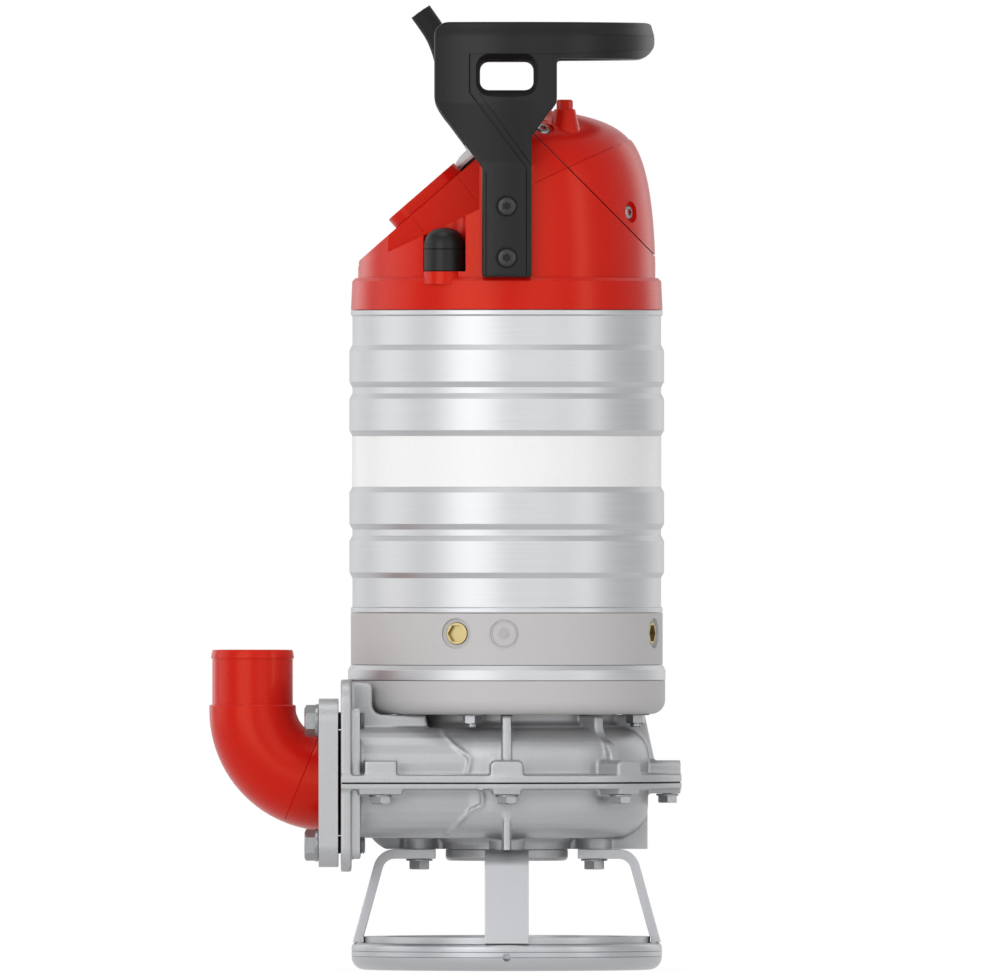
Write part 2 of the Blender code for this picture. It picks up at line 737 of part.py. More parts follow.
def make_legs():
    slope = math.radians(LEG_SLOPE_DEGREES)
    lean = math.tan(slope)
    outer_bend = LEG_BEND_RADIUS + LEG_THICKNESS
    setback = outer_bend * math.tan(math.radians(90 - LEG_SLOPE_DEGREES) / 2)
    corner = LEG_FOOT_REACH - LEG_HEIGHT * lean
    centre = (corner - setback, LEG_TOP - outer_bend)
    inner_foot = LEG_FOOT_REACH - LEG_THICKNESS / math.cos(slope)
    tang = tang_inner_radius()
    notch = LEG_FOOT + COLLAR_RISE
    outline = (
        [(LEG_INNER_REACH, LEG_TOP)]
        + arc(centre, outer_bend, 90, LEG_SLOPE_DEGREES, 4)
        + [(LEG_FOOT_REACH, LEG_FOOT), (tang + LEG_TANG_THICKNESS, LEG_FOOT),
           (tang + LEG_TANG_THICKNESS, LEG_FOOT - LEG_TANG_DEPTH), (tang, LEG_FOOT - LEG_TANG_DEPTH),
           (tang, notch), (inner_foot - (notch - LEG_FOOT) * lean, notch)]
        + arc(centre, LEG_BEND_RADIUS, LEG_SLOPE_DEGREES, 90, 3)
        + [(LEG_INNER_REACH, LEG_TOP - LEG_THICKNESS)]
    )
    leg = moved(plate([outline], LEG_WIDTH), across())
    low = LEG_TOP - LEG_THICKNESS - OVERRUN
    radius = hole_radius(LEG_BOLT_RADIUS)
    leg = cut(leg, cylinder(radius, low, LEG_TOP + OVERRUN, HOLE_STEPS, LEG_BOLT_CIRCLE_RADIUS))
    names = ["leg_right", "leg_rear", "leg_left", "leg_front"]
    add_copies(names, leg, "brushed_steel", [turn(angle) for angle in leg_degrees()])
    bolt = hex_bolt(LEG_BOLT_FLATS, LEG_BOLT_HEAD, LEG_WASHER_RADIUS, LEG_WASHER_THICKNESS,
                    LEG_BOLT_RADIUS, LEG_BOLT_LENGTH)
    under = LEG_TOP - LEG_THICKNESS - SEAT_GAP
    places = [turn(angle) @ shift(x=LEG_BOLT_CIRCLE_RADIUS, z=under) for angle in leg_degrees()]
    bolt_names = ["leg_bolt_right", "leg_bolt_rear", "leg_bolt_left", "leg_bolt_front"]
    add_copies(bolt_names, bolt, "zinc_steel", places)


def make_suction_cover():
    top = CASING_FOOT - SEAT_GAP
    foot = top - SUCTION_COVER_HEIGHT
    outline = (
        [(SUCTION_BORE_RADIUS, top), (SUCTION_COVER_RADIUS, top)]
        + arc((SUCTION_COVER_RADIUS - SUCTION_COVER_ROUND, foot + SUCTION_COVER_ROUND),
              SUCTION_COVER_ROUND, 0, -90, 2)
        + [(SUCTION_BORE_RADIUS, foot)]
    )
    add_piece("suction_cover", turned(outline, MEDIUM_STEPS), "cast_grey")


# Volute casing

def volute_radius(degrees):
    """Outer wall radius of the volute, growing clockwise from the tongue."""
    swept = (VOLUTE_TONGUE_DEGREES - degrees) % 360
    growth = VOLUTE_END_RADIUS - VOLUTE_START_RADIUS
    if swept <= VOLUTE_SWEEP_DEGREES:
        return VOLUTE_START_RADIUS + growth * swept / VOLUTE_SWEEP_DEGREES
    return VOLUTE_START_RADIUS + growth * (360 - swept) / (360 - VOLUTE_SWEEP_DEGREES)


def spiralled(shape):
    """Draw a turned shape in to the volute's spiral."""
    for vertex in shape.data.vertices:
        angle = math.degrees(math.atan2(vertex.co.y, vertex.co.x))
        share = volute_radius(angle) / VOLUTE_END_RADIUS
        vertex.co.x *= share
        vertex.co.y *= share
    return shape


def neck_bolt_y():
    """The bolt beside the neck stands midway between the neck and the flange edge."""
    return -(NECK_OFFSET + NECK_HALF_WIDTH + PARTING_FLANGE_RADIUS - NECK_STRIP_INSET) / 2


def casing_bolt_places():
    """Bolt positions in plan: round the flange, then beside the neck."""
    places = [(CASING_BOLT_CIRCLE_RADIUS * math.cos(math.radians(angle)),
               CASING_BOLT_CIRCLE_RADIUS * math.sin(math.radians(angle)))
              for angle in CASING_BOLT_DEGREES]
    return places + [(-NECK_BOLT_X, neck_bolt_y())]


def along_discharge(shape, start, end):
    """Turn a plate drawn in (y, z) about the discharge axis so that it spans two reaches."""
    return moved(shape, shift(x=-(start + end) / 2, y=-NECK_OFFSET, z=DISCHARGE_HEIGHT), facing())


def discharge_bolt_offsets():
    side = DISCHARGE_BOLT_CIRCLE_RADIUS * math.sqrt(0.5)
    return [(y, z) for y in (-side, side) for z in (-side, side)]


def discharge_plate(outlines, start, end):
    return along_discharge(plate(outlines, end - start), start, end)


def discharge_neck():
    outline = rounded_box(-NECK_HALF_WIDTH, NECK_HALF_WIDTH, -NECK_HALF_HEIGHT, NECK_HALF_HEIGHT,
                          NECK_CORNER_RADIUS)
    return discharge_plate([outline], 0, PUMP_FLANGE_REACH - PUMP_FLANGE_THICKNESS / 2)


def pump_flange():
    outline = rounded_box(-PUMP_FLANGE_HALF_WIDTH, PUMP_FLANGE_HALF_WIDTH, -PUMP_FLANGE_BELOW,
                          PUMP_FLANGE_ABOVE, FLANGE_CORNER_RADIUS, 3)
    return discharge_plate([outline], PUMP_FLANGE_REACH - PUMP_FLANGE_THICKNESS, PUMP_FLANGE_REACH)


def backing_pads():
    """Thick strips behind the pump flange where its bolts are screwed in."""
    side = DISCHARGE_BOLT_CIRCLE_RADIUS * math.sqrt(0.5)
    half = BACKING_PAD_WIDTH / 2
    start = PUMP_FLANGE_REACH - PUMP_FLANGE_THICKNESS - BACKING_PAD_THICKNESS
    end = PUMP_FLANGE_REACH - PUMP_FLANGE_THICKNESS / 2
    return [
        discharge_plate([rounded_box(y - half, y + half, -side - half, side + half, half / 2, 1)],
                        start, end)
        for y in (-side, side)
    ]


def discharge_bolt_holes():
    radius = hole_radius(DISCHARGE_BOLT_RADIUS)
    start = PUMP_FLANGE_REACH - PUMP_FLANGE_THICKNESS - BACKING_PAD_THICKNESS - OVERRUN
    outlines = [circle(y, z, radius, HOLE_STEPS) for y, z in discharge_bolt_offsets()]
    return discharge_plate(outlines, start, PUMP_FLANGE_REACH + OVERRUN)


def parting_plate(low, high, inset=0):
    """The parting flange: a disc, and the strip in front of the neck."""
    middle, thickness = (low + high) / 2, high - low
    radius = PARTING_FLANGE_RADIUS - inset
    disc = cylinder(radius, low, high, LARGE_STEPS)
    strip = plate([[
        (-PUMP_FLANGE_REACH + inset, -radius + NECK_STRIP_INSET), (0, -radius + NECK_STRIP_INSET),
        (0, -NECK_OFFSET), (-PUMP_FLANGE_REACH + inset, -NECK_OFFSET),
    ]], thickness)
    disc = joined(disc, moved(strip, shift(z=middle)))
    clear = block((-PARTING_FLANGE_RADIUS - OVERRUN, -PARTING_FLANGE_RADIUS, low - OVERRUN),
                  (-PUMP_FLANGE_REACH + inset, SEAT_GAP, high + OVERRUN))
    return cut(disc, clear)


def chamber(low_side):
    """The space the impeller turns in, on one side of the parting plane."""
    reach = VOLUTE_END_RADIUS - VOLUTE_WALL
    if low_side:
        floor = VOLUTE_FLOOR + VOLUTE_WALL
        radius = VOLUTE_LOWER_ROUND - VOLUTE_WALL
        outline = (
            [(0, LOWER_CASING_TOP + OVERRUN), (reach, LOWER_CASING_TOP + OVERRUN)]
            + arc((reach - radius, floor + radius), radius, 0, -90, 3) + [(0, floor)]
        )
    else:
        roof = VOLUTE_ROOF - VOLUTE_WALL
        radius = VOLUTE_UPPER_ROUND - VOLUTE_WALL
        outline = (
            [(0, roof)] + arc((reach - radius, roof - radius), radius, 90, 0, 3)
            + [(reach, UPPER_CASING_FOOT - OVERRUN), (0, UPPER_CASING_FOOT - OVERRUN)]
        )
    return spiralled(turned(outline, LARGE_STEPS))


def discharge_bore():
    """The round bore from the chamber through the neck and its flange."""
    outline = circle(0, 0, DISCHARGE_BORE_RADIUS, SMALL_STEPS)
    return discharge_plate([outline], 0, PUMP_FLANGE_REACH + OVERRUN)


def lug(width, low, high, chamfer_top, degrees):
    """A bolt lug running out from the volute wall to the flange edge."""
    half = width / 2
    inner = volute_radius(degrees) - LUG_ROOT
    outer = PARTING_FLANGE_RADIUS - LUG_INSET
    chamfer = LUG_CHAMFER
    if chamfer_top:
        outline = [(-half, low), (half, low), (half, high - chamfer), (half - chamfer, high),
                   (-half + chamfer, high), (-half, high - chamfer)]
    else:
        outline = [(-half, low), (half, low), (half, high), (-half, high)]
    return moved(plate([outline], outer - inner), turn(degrees), shift(x=(inner + outer) / 2), facing())


def neck_lug(low, high, half):
    """The lug beside the neck, for the bolt on the flange strip."""
    edge = -PARTING_FLANGE_RADIUS + NECK_STRIP_INSET + LUG_INSET
    return block((-NECK_BOLT_X - half, edge, low), (-NECK_BOLT_X + half, -NECK_OFFSET, high))


def make_lower_casing():
    top = LOWER_CASING_TOP + OVERRUN
    foot = CASING_FOOT - OVERRUN
    outline = (
        [(0, top), (VOLUTE_END_RADIUS, top)]
        + arc((VOLUTE_END_RADIUS - VOLUTE_LOWER_ROUND, VOLUTE_FLOOR + VOLUTE_LOWER_ROUND),
              VOLUTE_LOWER_ROUND, 0, -90, 4)
        + [(0, VOLUTE_FLOOR)]
    )
    casing = spiralled(turned(outline, LARGE_STEPS))
    hub = turned([
        (0, VOLUTE_FLOOR + OVERRUN), (HUB_RADIUS + HUB_FLARE, VOLUTE_FLOOR + OVERRUN),
        (HUB_RADIUS + HUB_FLARE, VOLUTE_FLOOR), (HUB_RADIUS, VOLUTE_FLOOR - HUB_FLARE),
        (HUB_RADIUS, foot), (0, foot),
    ], MEDIUM_STEPS)
    bosses = [
        moved(cylinder(LEG_BOSS_RADIUS, foot, VOLUTE_FLOOR + OVERRUN, WASHER_STEPS),
              turn(angle), shift(x=LEG_BOLT_CIRCLE_RADIUS))
        for angle in leg_degrees()
    ]
    webs = [make_web(angle, foot) for angle in leg_degrees()]
    lug_low = LOWER_CASING_TOP - LOWER_LUG_HEIGHT
    lugs = [lug(LOWER_LUG_WIDTH, lug_low, top, False, angle) for angle in CASING_BOLT_DEGREES]
    lugs.append(neck_lug(lug_low, top, NECK_LUG_LENGTH / 2))
    casing = joined(casing, hub, together(bosses), together(webs), discharge_neck(),
                    parting_plate(LOWER_CASING_TOP - LOWER_FLANGE_THICKNESS, top),
                    together(lugs), pump_flange(), together(backing_pads()))
    radius = hole_radius(CASING_BOLT_RADIUS)
    holes = [cylinder(radius, lug_low - OVERRUN, top, HOLE_STEPS, x, y)
             for x, y in casing_bolt_places()]
    leg_radius = hole_radius(LEG_BOLT_RADIUS)
    leg_top = CASING_FOOT + LEG_BOLT_LENGTH - LEG_THICKNESS + SEAT_GAP
    holes += [
        moved(cylinder(leg_radius, foot, leg_top, HOLE_STEPS), turn(angle),
              shift(x=LEG_BOLT_CIRCLE_RADIUS))
        for angle in leg_degrees()
    ]
    above = slab(LOWER_CASING_TOP, DISCHARGE_HEIGHT + 2 * PUMP_FLANGE_ABOVE)
    below = slab(0, CASING_FOOT)
    inlet = cylinder(CASING_INLET_RADIUS, foot - OVERRUN, VOLUTE_FLOOR + VOLUTE_WALL + OVERRUN,
                     MEDIUM_STEPS)
    casing = cut(casing, above, below, chamber(True), discharge_bore(), inlet, together(holes),
                 discharge_bolt_holes())
    add_piece("lower_casing", casing, "cast_grey")


def make_web(degrees, foot):
    """An upright web from the hub to the volute wall, carrying a leg."""
    reach = volute_radius(degrees) - WEB_INSET
    top = VOLUTE_FLOOR + VOLUTE_LOWER_ROUND
    outline = [(LEG_INNER_REACH - LEG_BOSS_RADIUS, top), (reach, top), (reach, foot),
               (LEG_INNER_REACH - LEG_BOSS_RADIUS, foot)]
    return moved(plate([outline], WEB_THICKNESS), across(degrees))


def make_upper_casing():
    foot = UPPER_CASING_FOOT - OVERRUN
    top = UPPER_CASING_TOP
    outline = (
        [(0, VOLUTE_ROOF)]
        + arc((VOLUTE_END_RADIUS - VOLUTE_UPPER_ROUND, VOLUTE_ROOF - VOLUTE_UPPER_ROUND),
              VOLUTE_UPPER_ROUND, 90, 0, 4)
        + [(VOLUTE_END_RADIUS, foot), (0, foot)]
    )
    casing = spiralled(turned(outline, LARGE_STEPS))
    flare = CASING_NECK_RADIUS + CASING_NECK_FLARE
    straight = top - CASING_NECK_STRAIGHT
    neck = turned(
        [(0, top), (CASING_NECK_RADIUS, top)]
        + bend((CASING_NECK_RADIUS, straight), (CASING_NECK_RADIUS, straight - CASING_NECK_FLARE),
               (flare, straight - CASING_NECK_FLARE), 2)
        + [(flare, VOLUTE_ROOF - VOLUTE_WALL), (0, VOLUTE_ROOF - VOLUTE_WALL)],
        LARGE_STEPS)
    gussets = [make_gusset(angle) for angle in (-90, -45, 0, 45, 90, 135, 180)]
    lug_top = UPPER_CASING_FOOT + UPPER_LUG_HEIGHT
    lugs = [lug(UPPER_LUG_WIDTH, foot, lug_top, True, angle) for angle in CASING_BOLT_DEGREES]
    lugs.append(neck_lug(foot, lug_top, UPPER_LUG_WIDTH / 2))
    casing = joined(casing, neck, together(gussets), discharge_neck(), make_neck_gusset(),
                    parting_plate(foot, UPPER_CASING_FOOT + UPPER_FLANGE_THICKNESS),
                    together(lugs), pump_flange(), together(backing_pads()))
    radius = hole_radius(CASING_BOLT_RADIUS)
    lug_low = LOWER_CASING_TOP - LOWER_LUG_HEIGHT
    hole_top = lug_low + CASING_BOLT_LENGTH + SEAT_GAP
    holes = [cylinder(radius, foot - OVERRUN, hole_top, HOLE_STEPS, x, y)
             for x, y in casing_bolt_places()]
    below = slab(0, UPPER_CASING_FOOT)
    opening = cylinder(SHAFT_OPENING_RADIUS, VOLUTE_ROOF - VOLUTE_WALL - OVERRUN, top + OVERRUN,
                       LARGE_STEPS)
    relief = cylinder(SEAL_HOUSING_RADIUS + RUNNING_GAP, top + SEAT_GAP / 2,
                      top + PUMP_FLANGE_ABOVE, LARGE_STEPS)
    casing = cut(casing, below, chamber(False), discharge_bore(), opening, relief,
                 together(holes), discharge_bolt_holes())
    add_piece("upper_casing", casing, "cast_grey")


def make_gusset(degrees):
    """A gusset between the flange and the casing neck, straight or following the volute."""
    top = UPPER_CASING_TOP - GUSSET_DROP
    foot = UPPER_CASING_FOOT + UPPER_FLANGE_THICKNESS / 2
    inner = CASING_NECK_RADIUS - CASING_NECK_FLARE * 2
    if degrees % 90 == 0:
        outer = [(GUSSET_REACH, top), (GUSSET_REACH, foot)]
    else:
        shoulder = (CASING_NECK_RADIUS + VOLUTE_START_RADIUS) / 2
        outer = [(shoulder, top)] + bend((shoulder, VOLUTE_ROOF), (GUSSET_REACH, VOLUTE_ROOF),
                                         (GUSSET_REACH, foot), 3)
    outline = [(inner, foot), (inner, top)] + outer
    return moved(plate([outline], GUSSET_THICKNESS), across(degrees))


def make_neck_gusset():
    """The web that stiffens the upper part of the pump flange, standing on the neck."""
    top = DISCHARGE_HEIGHT + PUMP_FLANGE_ABOVE
    reach = PUMP_FLANGE_REACH - PUMP_FLANGE_THICKNESS / 2
    shelf = UPPER_CASING_TOP
    foot = VOLUTE_ROOF - VOLUTE_WALL
    step = PUMP_FLANGE_REACH - 3 * PUMP_FLANGE_THICKNESS
    outline = (
        [(-reach, foot), (-reach, top - LUG_CHAMFER / 2), (-step - LUG_CHAMFER, top - LUG_CHAMFER),
         (-step, top - 2 * LUG_CHAMFER)]
        + bend((-step, shelf + LUG_ROOT / 2), (-step, shelf), (-step + LUG_ROOT / 2, shelf), 3)
        + [(-VOLUTE_START_RADIUS * 0.62, shelf), (-VOLUTE_START_RADIUS * 0.58, foot)]
    )
    return moved(plate([outline], NECK_GUSSET_THICKNESS), shift(y=-NECK_GUSSET_OFFSET), across())


def make_casing_gasket():
    low, high = GASKET_FOOT, GASKET_FOOT + CASING_GASKET_THICKNESS
    gasket = parting_plate(low, high, CASING_GASKET_INSET)
    pocket = chamber(True)
    pocket = moved(pocket, shift(z=high - LOWER_CASING_TOP))
    radius = hole_radius(CASING_BOLT_RADIUS)
    holes = [cylinder(radius, low - OVERRUN, high + OVERRUN, HOLE_STEPS, x, y)
             for x, y in casing_bolt_places()]
    add_piece("casing_gasket", cut(gasket, pocket, discharge_bore(), together(holes)),
              "black_rubber")


def make_casing_bolts():
    bolt = hex_bolt(CASING_BOLT_FLATS, CASING_BOLT_HEAD, CASING_WASHER_RADIUS,
                    CASING_WASHER_THICKNESS, CASING_BOLT_RADIUS, CASING_BOLT_LENGTH)
    under = LOWER_CASING_TOP - LOWER_LUG_HEIGHT - SEAT_GAP
    places = [shift(x, y, under) for x, y in casing_bolt_places()]
    names = [f"casing_bolt_{number + 1}" for number in range(len(places))]
    add_copies(names, bolt, "zinc_steel", places)


# Discharge

def make_discharge():
    ring = [circle(0, 0, DISCHARGE_GASKET_RADIUS, MEDIUM_STEPS),
            circle(0, 0, DISCHARGE_BORE_RADIUS + SEAT_GAP, MEDIUM_STEPS)]
    gasket = discharge_plate(ring, DISCHARGE_GASKET_START,
                             DISCHARGE_GASKET_START + DISCHARGE_GASKET_THICKNESS)
    add_piece("discharge_gasket", gasket, "black_rubber")
    bolt_radius = hole_radius(DISCHARGE_BOLT_RADIUS)
    half = LOOSE_FLANGE_HALF_WIDTH
    outlines = [rounded_box(-half, half, -half, half, FLANGE_CORNER_RADIUS, 3),
                circle(0, 0, clear_radius(ELBOW_PIPE_RADIUS), ELBOW_SIDES)]
    outlines += [circle(y, z, bolt_radius, HOLE_STEPS) for y, z in discharge_bolt_offsets()]
    flange = discharge_plate(outlines, ELBOW_START, LOOSE_FLANGE_END)
    recess = [circle(0, 0, clear_radius(ELBOW_COLLAR_RADIUS), ELBOW_SIDES)]
    recess_end = ELBOW_START + ELBOW_COLLAR_THICKNESS + SEAT_GAP
    flange = cut(flange, discharge_plate(recess, ELBOW_START - OVERRUN, recess_end))
    add_piece("discharge_flange", flange, "cast_grey")
    make_elbow()
    make_discharge_bolts()


def clear_radius(radius):
    """Corner radius of a faceted bore that clears a pipe with the same facets."""
    return radius + SEAT_GAP / math.cos(math.pi / ELBOW_SIDES)


def make_discharge_bolts():
    """Three long bolts, and a shorter one at the upper rear that stays clear of the seal housing."""
    start = PUMP_FLANGE_REACH - PUMP_FLANGE_THICKNESS - BACKING_PAD_THICKNESS
    length = LOOSE_FLANGE_END + SEAT_GAP - start + DISCHARGE_BOLT_STANDOUT
    long_bolt, short_bolt = [
        hex_bolt(DISCHARGE_BOLT_FLATS, DISCHARGE_BOLT_HEAD, DISCHARGE_WASHER_RADIUS,
                 DISCHARGE_WASHER_THICKNESS, DISCHARGE_BOLT_RADIUS, shank)
        for shank in (length, length - DISCHARGE_BOLT_RELIEF)
    ]
    places = [
        shift(-LOOSE_FLANGE_END - SEAT_GAP, -NECK_OFFSET + y, DISCHARGE_HEIGHT + z) @ turn(90, "Y")
        for y, z in discharge_bolt_offsets()
    ]
    names = [f"discharge_bolt_{number + 1}" for number in range(len(places))]
    add_copies(names[:-1], long_bolt, "zinc_steel", places[:-1])
    add_copies(names[-1:], short_bolt, "zinc_steel", places[-1:])


def bend_stations(outer_start, outer_end, pieces):
    """Ring stations round the elbow's bend: place, heading and pipe radius."""
    centre_x = -ELBOW_START - ELBOW_STUB
    centre_z = DISCHARGE_HEIGHT + ELBOW_BEND_RISE
    stations = []
    for step in range(pieces + 1):
        share = step / pieces
        angle = math.radians(-90 - 90 * share)
        reach = ELBOW_BEND_RISE + (ELBOW_BEND_REACH - ELBOW_BEND_RISE) * share
        place = (centre_x + reach * math.cos(angle), centre_z + reach * math.sin(angle))
        heading = math.pi - math.pi / 2 * share
        stations.append((place, heading, outer_start + (outer_end - outer_start) * share))
    return stations


def make_elbow():
    """Elbow from the flange collar to the hose tail, as rings joined outside and inside."""
    level, upright = math.pi, math.pi / 2
    stub_end = -ELBOW_START - ELBOW_COLLAR_THICKNESS
    tail_foot = DISCHARGE_HEIGHT + ELBOW_BEND_RISE
    tail_top = tail_foot + HOSE_TAIL_LENGTH
    tail_x = -HOSE_TAIL_AXIS
    outside = [
        ((-ELBOW_START, DISCHARGE_HEIGHT), level, ELBOW_COLLAR_RADIUS),
        ((stub_end, DISCHARGE_HEIGHT), level, ELBOW_COLLAR_RADIUS),
        ((stub_end, DISCHARGE_HEIGHT), level, ELBOW_PIPE_RADIUS),
    ]
    outside += bend_stations(ELBOW_PIPE_RADIUS, ELBOW_END_RADIUS, ELBOW_BEND_PIECES)
    outside += [
        ((tail_x, tail_foot + HOSE_TAIL_STEP), upright, ELBOW_END_RADIUS),
        ((tail_x, tail_foot + HOSE_TAIL_STEP), upright, HOSE_TAIL_RADIUS),
        ((tail_x, tail_top - HOSE_TAIL_BEAD), upright, HOSE_TAIL_RADIUS),
        ((tail_x, tail_top - HOSE_TAIL_BEAD), upright, HOSE_TAIL_BEAD_RADIUS),
        ((tail_x, tail_top), upright, HOSE_TAIL_RADIUS),
    ]
    inside = [((-ELBOW_START, DISCHARGE_HEIGHT), level, ELBOW_PIPE_RADIUS - ELBOW_WALL)]
    inside += bend_stations(ELBOW_PIPE_RADIUS - ELBOW_WALL, HOSE_TAIL_RADIUS - ELBOW_WALL,
                            ELBOW_BEND_PIECES - 2)
    inside += [((tail_x, tail_top), upright, HOSE_TAIL_RADIUS - ELBOW_WALL)]
    add_piece("discharge_elbow", ringed(outside + inside[::-1]), "red_enamel")


def ringed(stations):
    """A closed skin through rings given by (x, z) place, heading and radius."""
    solid = bmesh.new()
    rings = []
    for (x, z), heading, radius in stations:
        across_ring = Vector((-math.sin(heading), 0, math.cos(heading)))
        ring = []
        for side in range(ELBOW_SIDES):
            angle = 2 * math.pi * side / ELBOW_SIDES
            offset = across_ring * math.cos(angle) + Vector((0, math.sin(angle), 0))
            ring.append(solid.verts.new(Vector((x, -NECK_OFFSET, z)) + radius * offset))
        rings.append(ring)
    for ring, following in zip(rings, rings[1:] + rings[:1]):
        for side in range(ELBOW_SIDES):
            after = (side + 1) % ELBOW_SIDES
            solid.faces.new((ring[side], ring[after], following[after], following[side]))
    bmesh.ops.recalc_face_normals(solid, faces=solid.faces)
    return shape_from(solid)


# Housings between the volute and the motor

def make_seal_housing():
    foot, top = SEAL_HOUSING_FOOT, SEAL_HOUSING_FOOT + SEAL_HOUSING_HEIGHT
    radius = SEAL_HOUSING_ROUND
    spigot = inside_radius(SHAFT_OPENING_RADIUS)
    seat_radius = SEAL_RING_RADIUS + 3 * RUNNING_GAP
    outline = (
        [(HOUSING_CAVITY_RADIUS, top), (SEAL_HOUSING_RADIUS, top)]
        + arc((SEAL_HOUSING_RADIUS - radius, foot + radius), radius, 0, -90, 3)
        + [(spigot, foot), (spigot, foot - SEAL_SPIGOT_DEPTH),
           (SEAL_THROAT_RADIUS, foot - SEAL_SPIGOT_DEPTH),
           (SEAL_THROAT_RADIUS, SEAL_SEAT_FOOT - SEAT_GAP), (seat_radius, SEAL_SEAT_FOOT - SEAT_GAP),
           (seat_radius, SEAL_TUBE_TOP), (SEAL_TUBE_RADIUS, SEAL_TUBE_TOP),
           (SEAL_TUBE_RADIUS, SEAL_FLOOR_TOP), (HOUSING_CAVITY_RADIUS, SEAL_FLOOR_TOP)]
    )
    add_piece("seal_housing", turned(outline, LARGE_STEPS), "cast_grey")
    seat_outer = (seat_radius - SEAT_GAP) * math.cos(math.pi / LARGE_STEPS)
    seat = turned(ring_outline(SEAL_SEAT_BORE_RADIUS, seat_outer, SEAL_SEAT_FOOT,
                               SEAL_SEAT_FOOT + SEAL_SEAT_HEIGHT), SMALL_STEPS)
    add_piece("shaft_seal_seat", seat, "carbide")


def ring_outline(inner, outer, low, high):
    """Section of a plain ring."""
    return [(inner, high), (outer, high), (outer, low), (inner, low)]


def make_clamp_ring():
    foot, top = CLAMP_RING_FOOT, CLAMP_RING_FOOT + CLAMP_RING_HEIGHT
    outline = [(HOUSING_CAVITY_RADIUS, top), (OIL_HOUSING_RADIUS, top),
               (CLAMP_RING_RADIUS, top - CLAMP_RING_BEVEL), (CLAMP_RING_RADIUS, foot),
               (HOUSING_CAVITY_RADIUS, foot)]
    add_piece("clamp_ring", turned(outline, LARGE_STEPS), "bright_steel")


def outward(degrees, reach, height):
    """Stand a piece drawn along +Z so that it points out from the pump axis."""
    return turn(degrees) @ shift(x=reach, z=height) @ turn(90, "Y")


def make_oil_housing():
    middle = OIL_HOUSING_FOOT + OIL_HOUSING_HEIGHT * 0.61
    shape = turned(ring_outline(HOUSING_CAVITY_RADIUS, OIL_HOUSING_RADIUS, OIL_HOUSING_FOOT,
                                OIL_HOUSING_TOP), LARGE_STEPS)
    floor = OIL_HOUSING_RADIUS - PLUG_RECESS_DEPTH
    plug_floor = floor + PLUG_STANDOUT - PLUG_LENGTH
    bore = (PLUG_RADIUS + SEAT_GAP) / math.cos(math.pi / SMALL_STEPS)
    for angle in PLUG_DEGREES:
        recess = cylinder(PLUG_RECESS_RADIUS, 0, PLUG_RECESS_DEPTH + OVERRUN, SMALL_STEPS)
        hole = cylinder(bore, plug_floor - floor - SEAT_GAP, OVERRUN / 2, SMALL_STEPS)
        place = outward(angle, floor, middle)
        shape = cut(shape, moved(recess, place), moved(hole, place))
    add_piece("oil_housing", shape, "cast_grey")
    plug = cylinder(PLUG_RADIUS, -PLUG_LENGTH, 0, SMALL_STEPS)
    socket = cylinder(PLUG_SOCKET_RADIUS, -PLUG_SOCKET_DEPTH, OVERRUN, HEX_STEPS)
    add_copies(["inspection_plug_front", "inspection_plug_side"], cut(plug, socket), "brass",
               [outward(angle, floor + PLUG_STANDOUT, middle) for angle in PLUG_DEGREES])


# Motor

def make_outer_casing():
    """Ribs are stacked from the foot; the section above the band mirrors the one below."""
    levels = [
        (CASING_LIP_RADIUS, CASING_LIP_HEIGHT, CASING_LIP_BEVEL),
        (CASING_WALL_RADIUS, CASING_END_RECESS, CASING_BEVEL),
        (CASING_RIB_RADIUS, CASING_RIB_HEIGHT, CASING_BEVEL),
        (CASING_WALL_RADIUS, CASING_GROOVE_HEIGHT, CASING_BEVEL),
        (CASING_RIB_RADIUS, CASING_RIB_HEIGHT, CASING_BEVEL),
        (CASING_WALL_RADIUS, CASING_BAND_HEIGHT, 0),
    ]
    outside, height = [], OUTER_CASING_FOOT
    for radius, length, bevel in levels:
        outside += [(radius, height), (radius, height + length)]
        height += length + bevel
    middle = (OUTER_CASING_FOOT + OUTER_CASING_TOP) / 2
    lower = outside[:-1]
    upper = [(radius, 2 * middle - height) for radius, height in reversed(lower)]
    outline = [(CASING_BORE_RADIUS, OUTER_CASING_FOOT)] + lower + upper
    outline.append((CASING_BORE_RADIUS, OUTER_CASING_TOP))
    add_piece("outer_casing", turned(outline, LARGE_STEPS), "brushed_steel")


def make_bearing_bracket():
    rim = inside_radius(CASING_BORE_RADIUS)
    flange_top = BRACKET_FOOT + BRACKET_FLANGE_THICKNESS
    bearing_seat = LOWER_BEARING_FOOT - SEAT_GAP
    bore = (LOWER_BEARING_RADIUS + SEAT_GAP) / math.cos(math.pi / LARGE_STEPS)
    outline = [
        (bore, flange_top + BRACKET_HUB_ABOVE - BRACKET_FLANGE_THICKNESS),
        (BRACKET_HUB_RADIUS, flange_top + BRACKET_HUB_ABOVE - BRACKET_FLANGE_THICKNESS),
        (BRACKET_HUB_RADIUS, flange_top), (rim, flange_top), (rim, BRACKET_FOOT),
        (BRACKET_HUB_RADIUS, BRACKET_FOOT), (BRACKET_HUB_RADIUS, BRACKET_FOOT - BRACKET_HUB_BELOW),
        (BRACKET_THROAT_RADIUS, BRACKET_FOOT - BRACKET_HUB_BELOW), (BRACKET_THROAT_RADIUS, bearing_seat),
        (bore, bearing_seat),
    ]
    add_piece("bearing_bracket", turned(outline, LARGE_STEPS), "cast_grey")


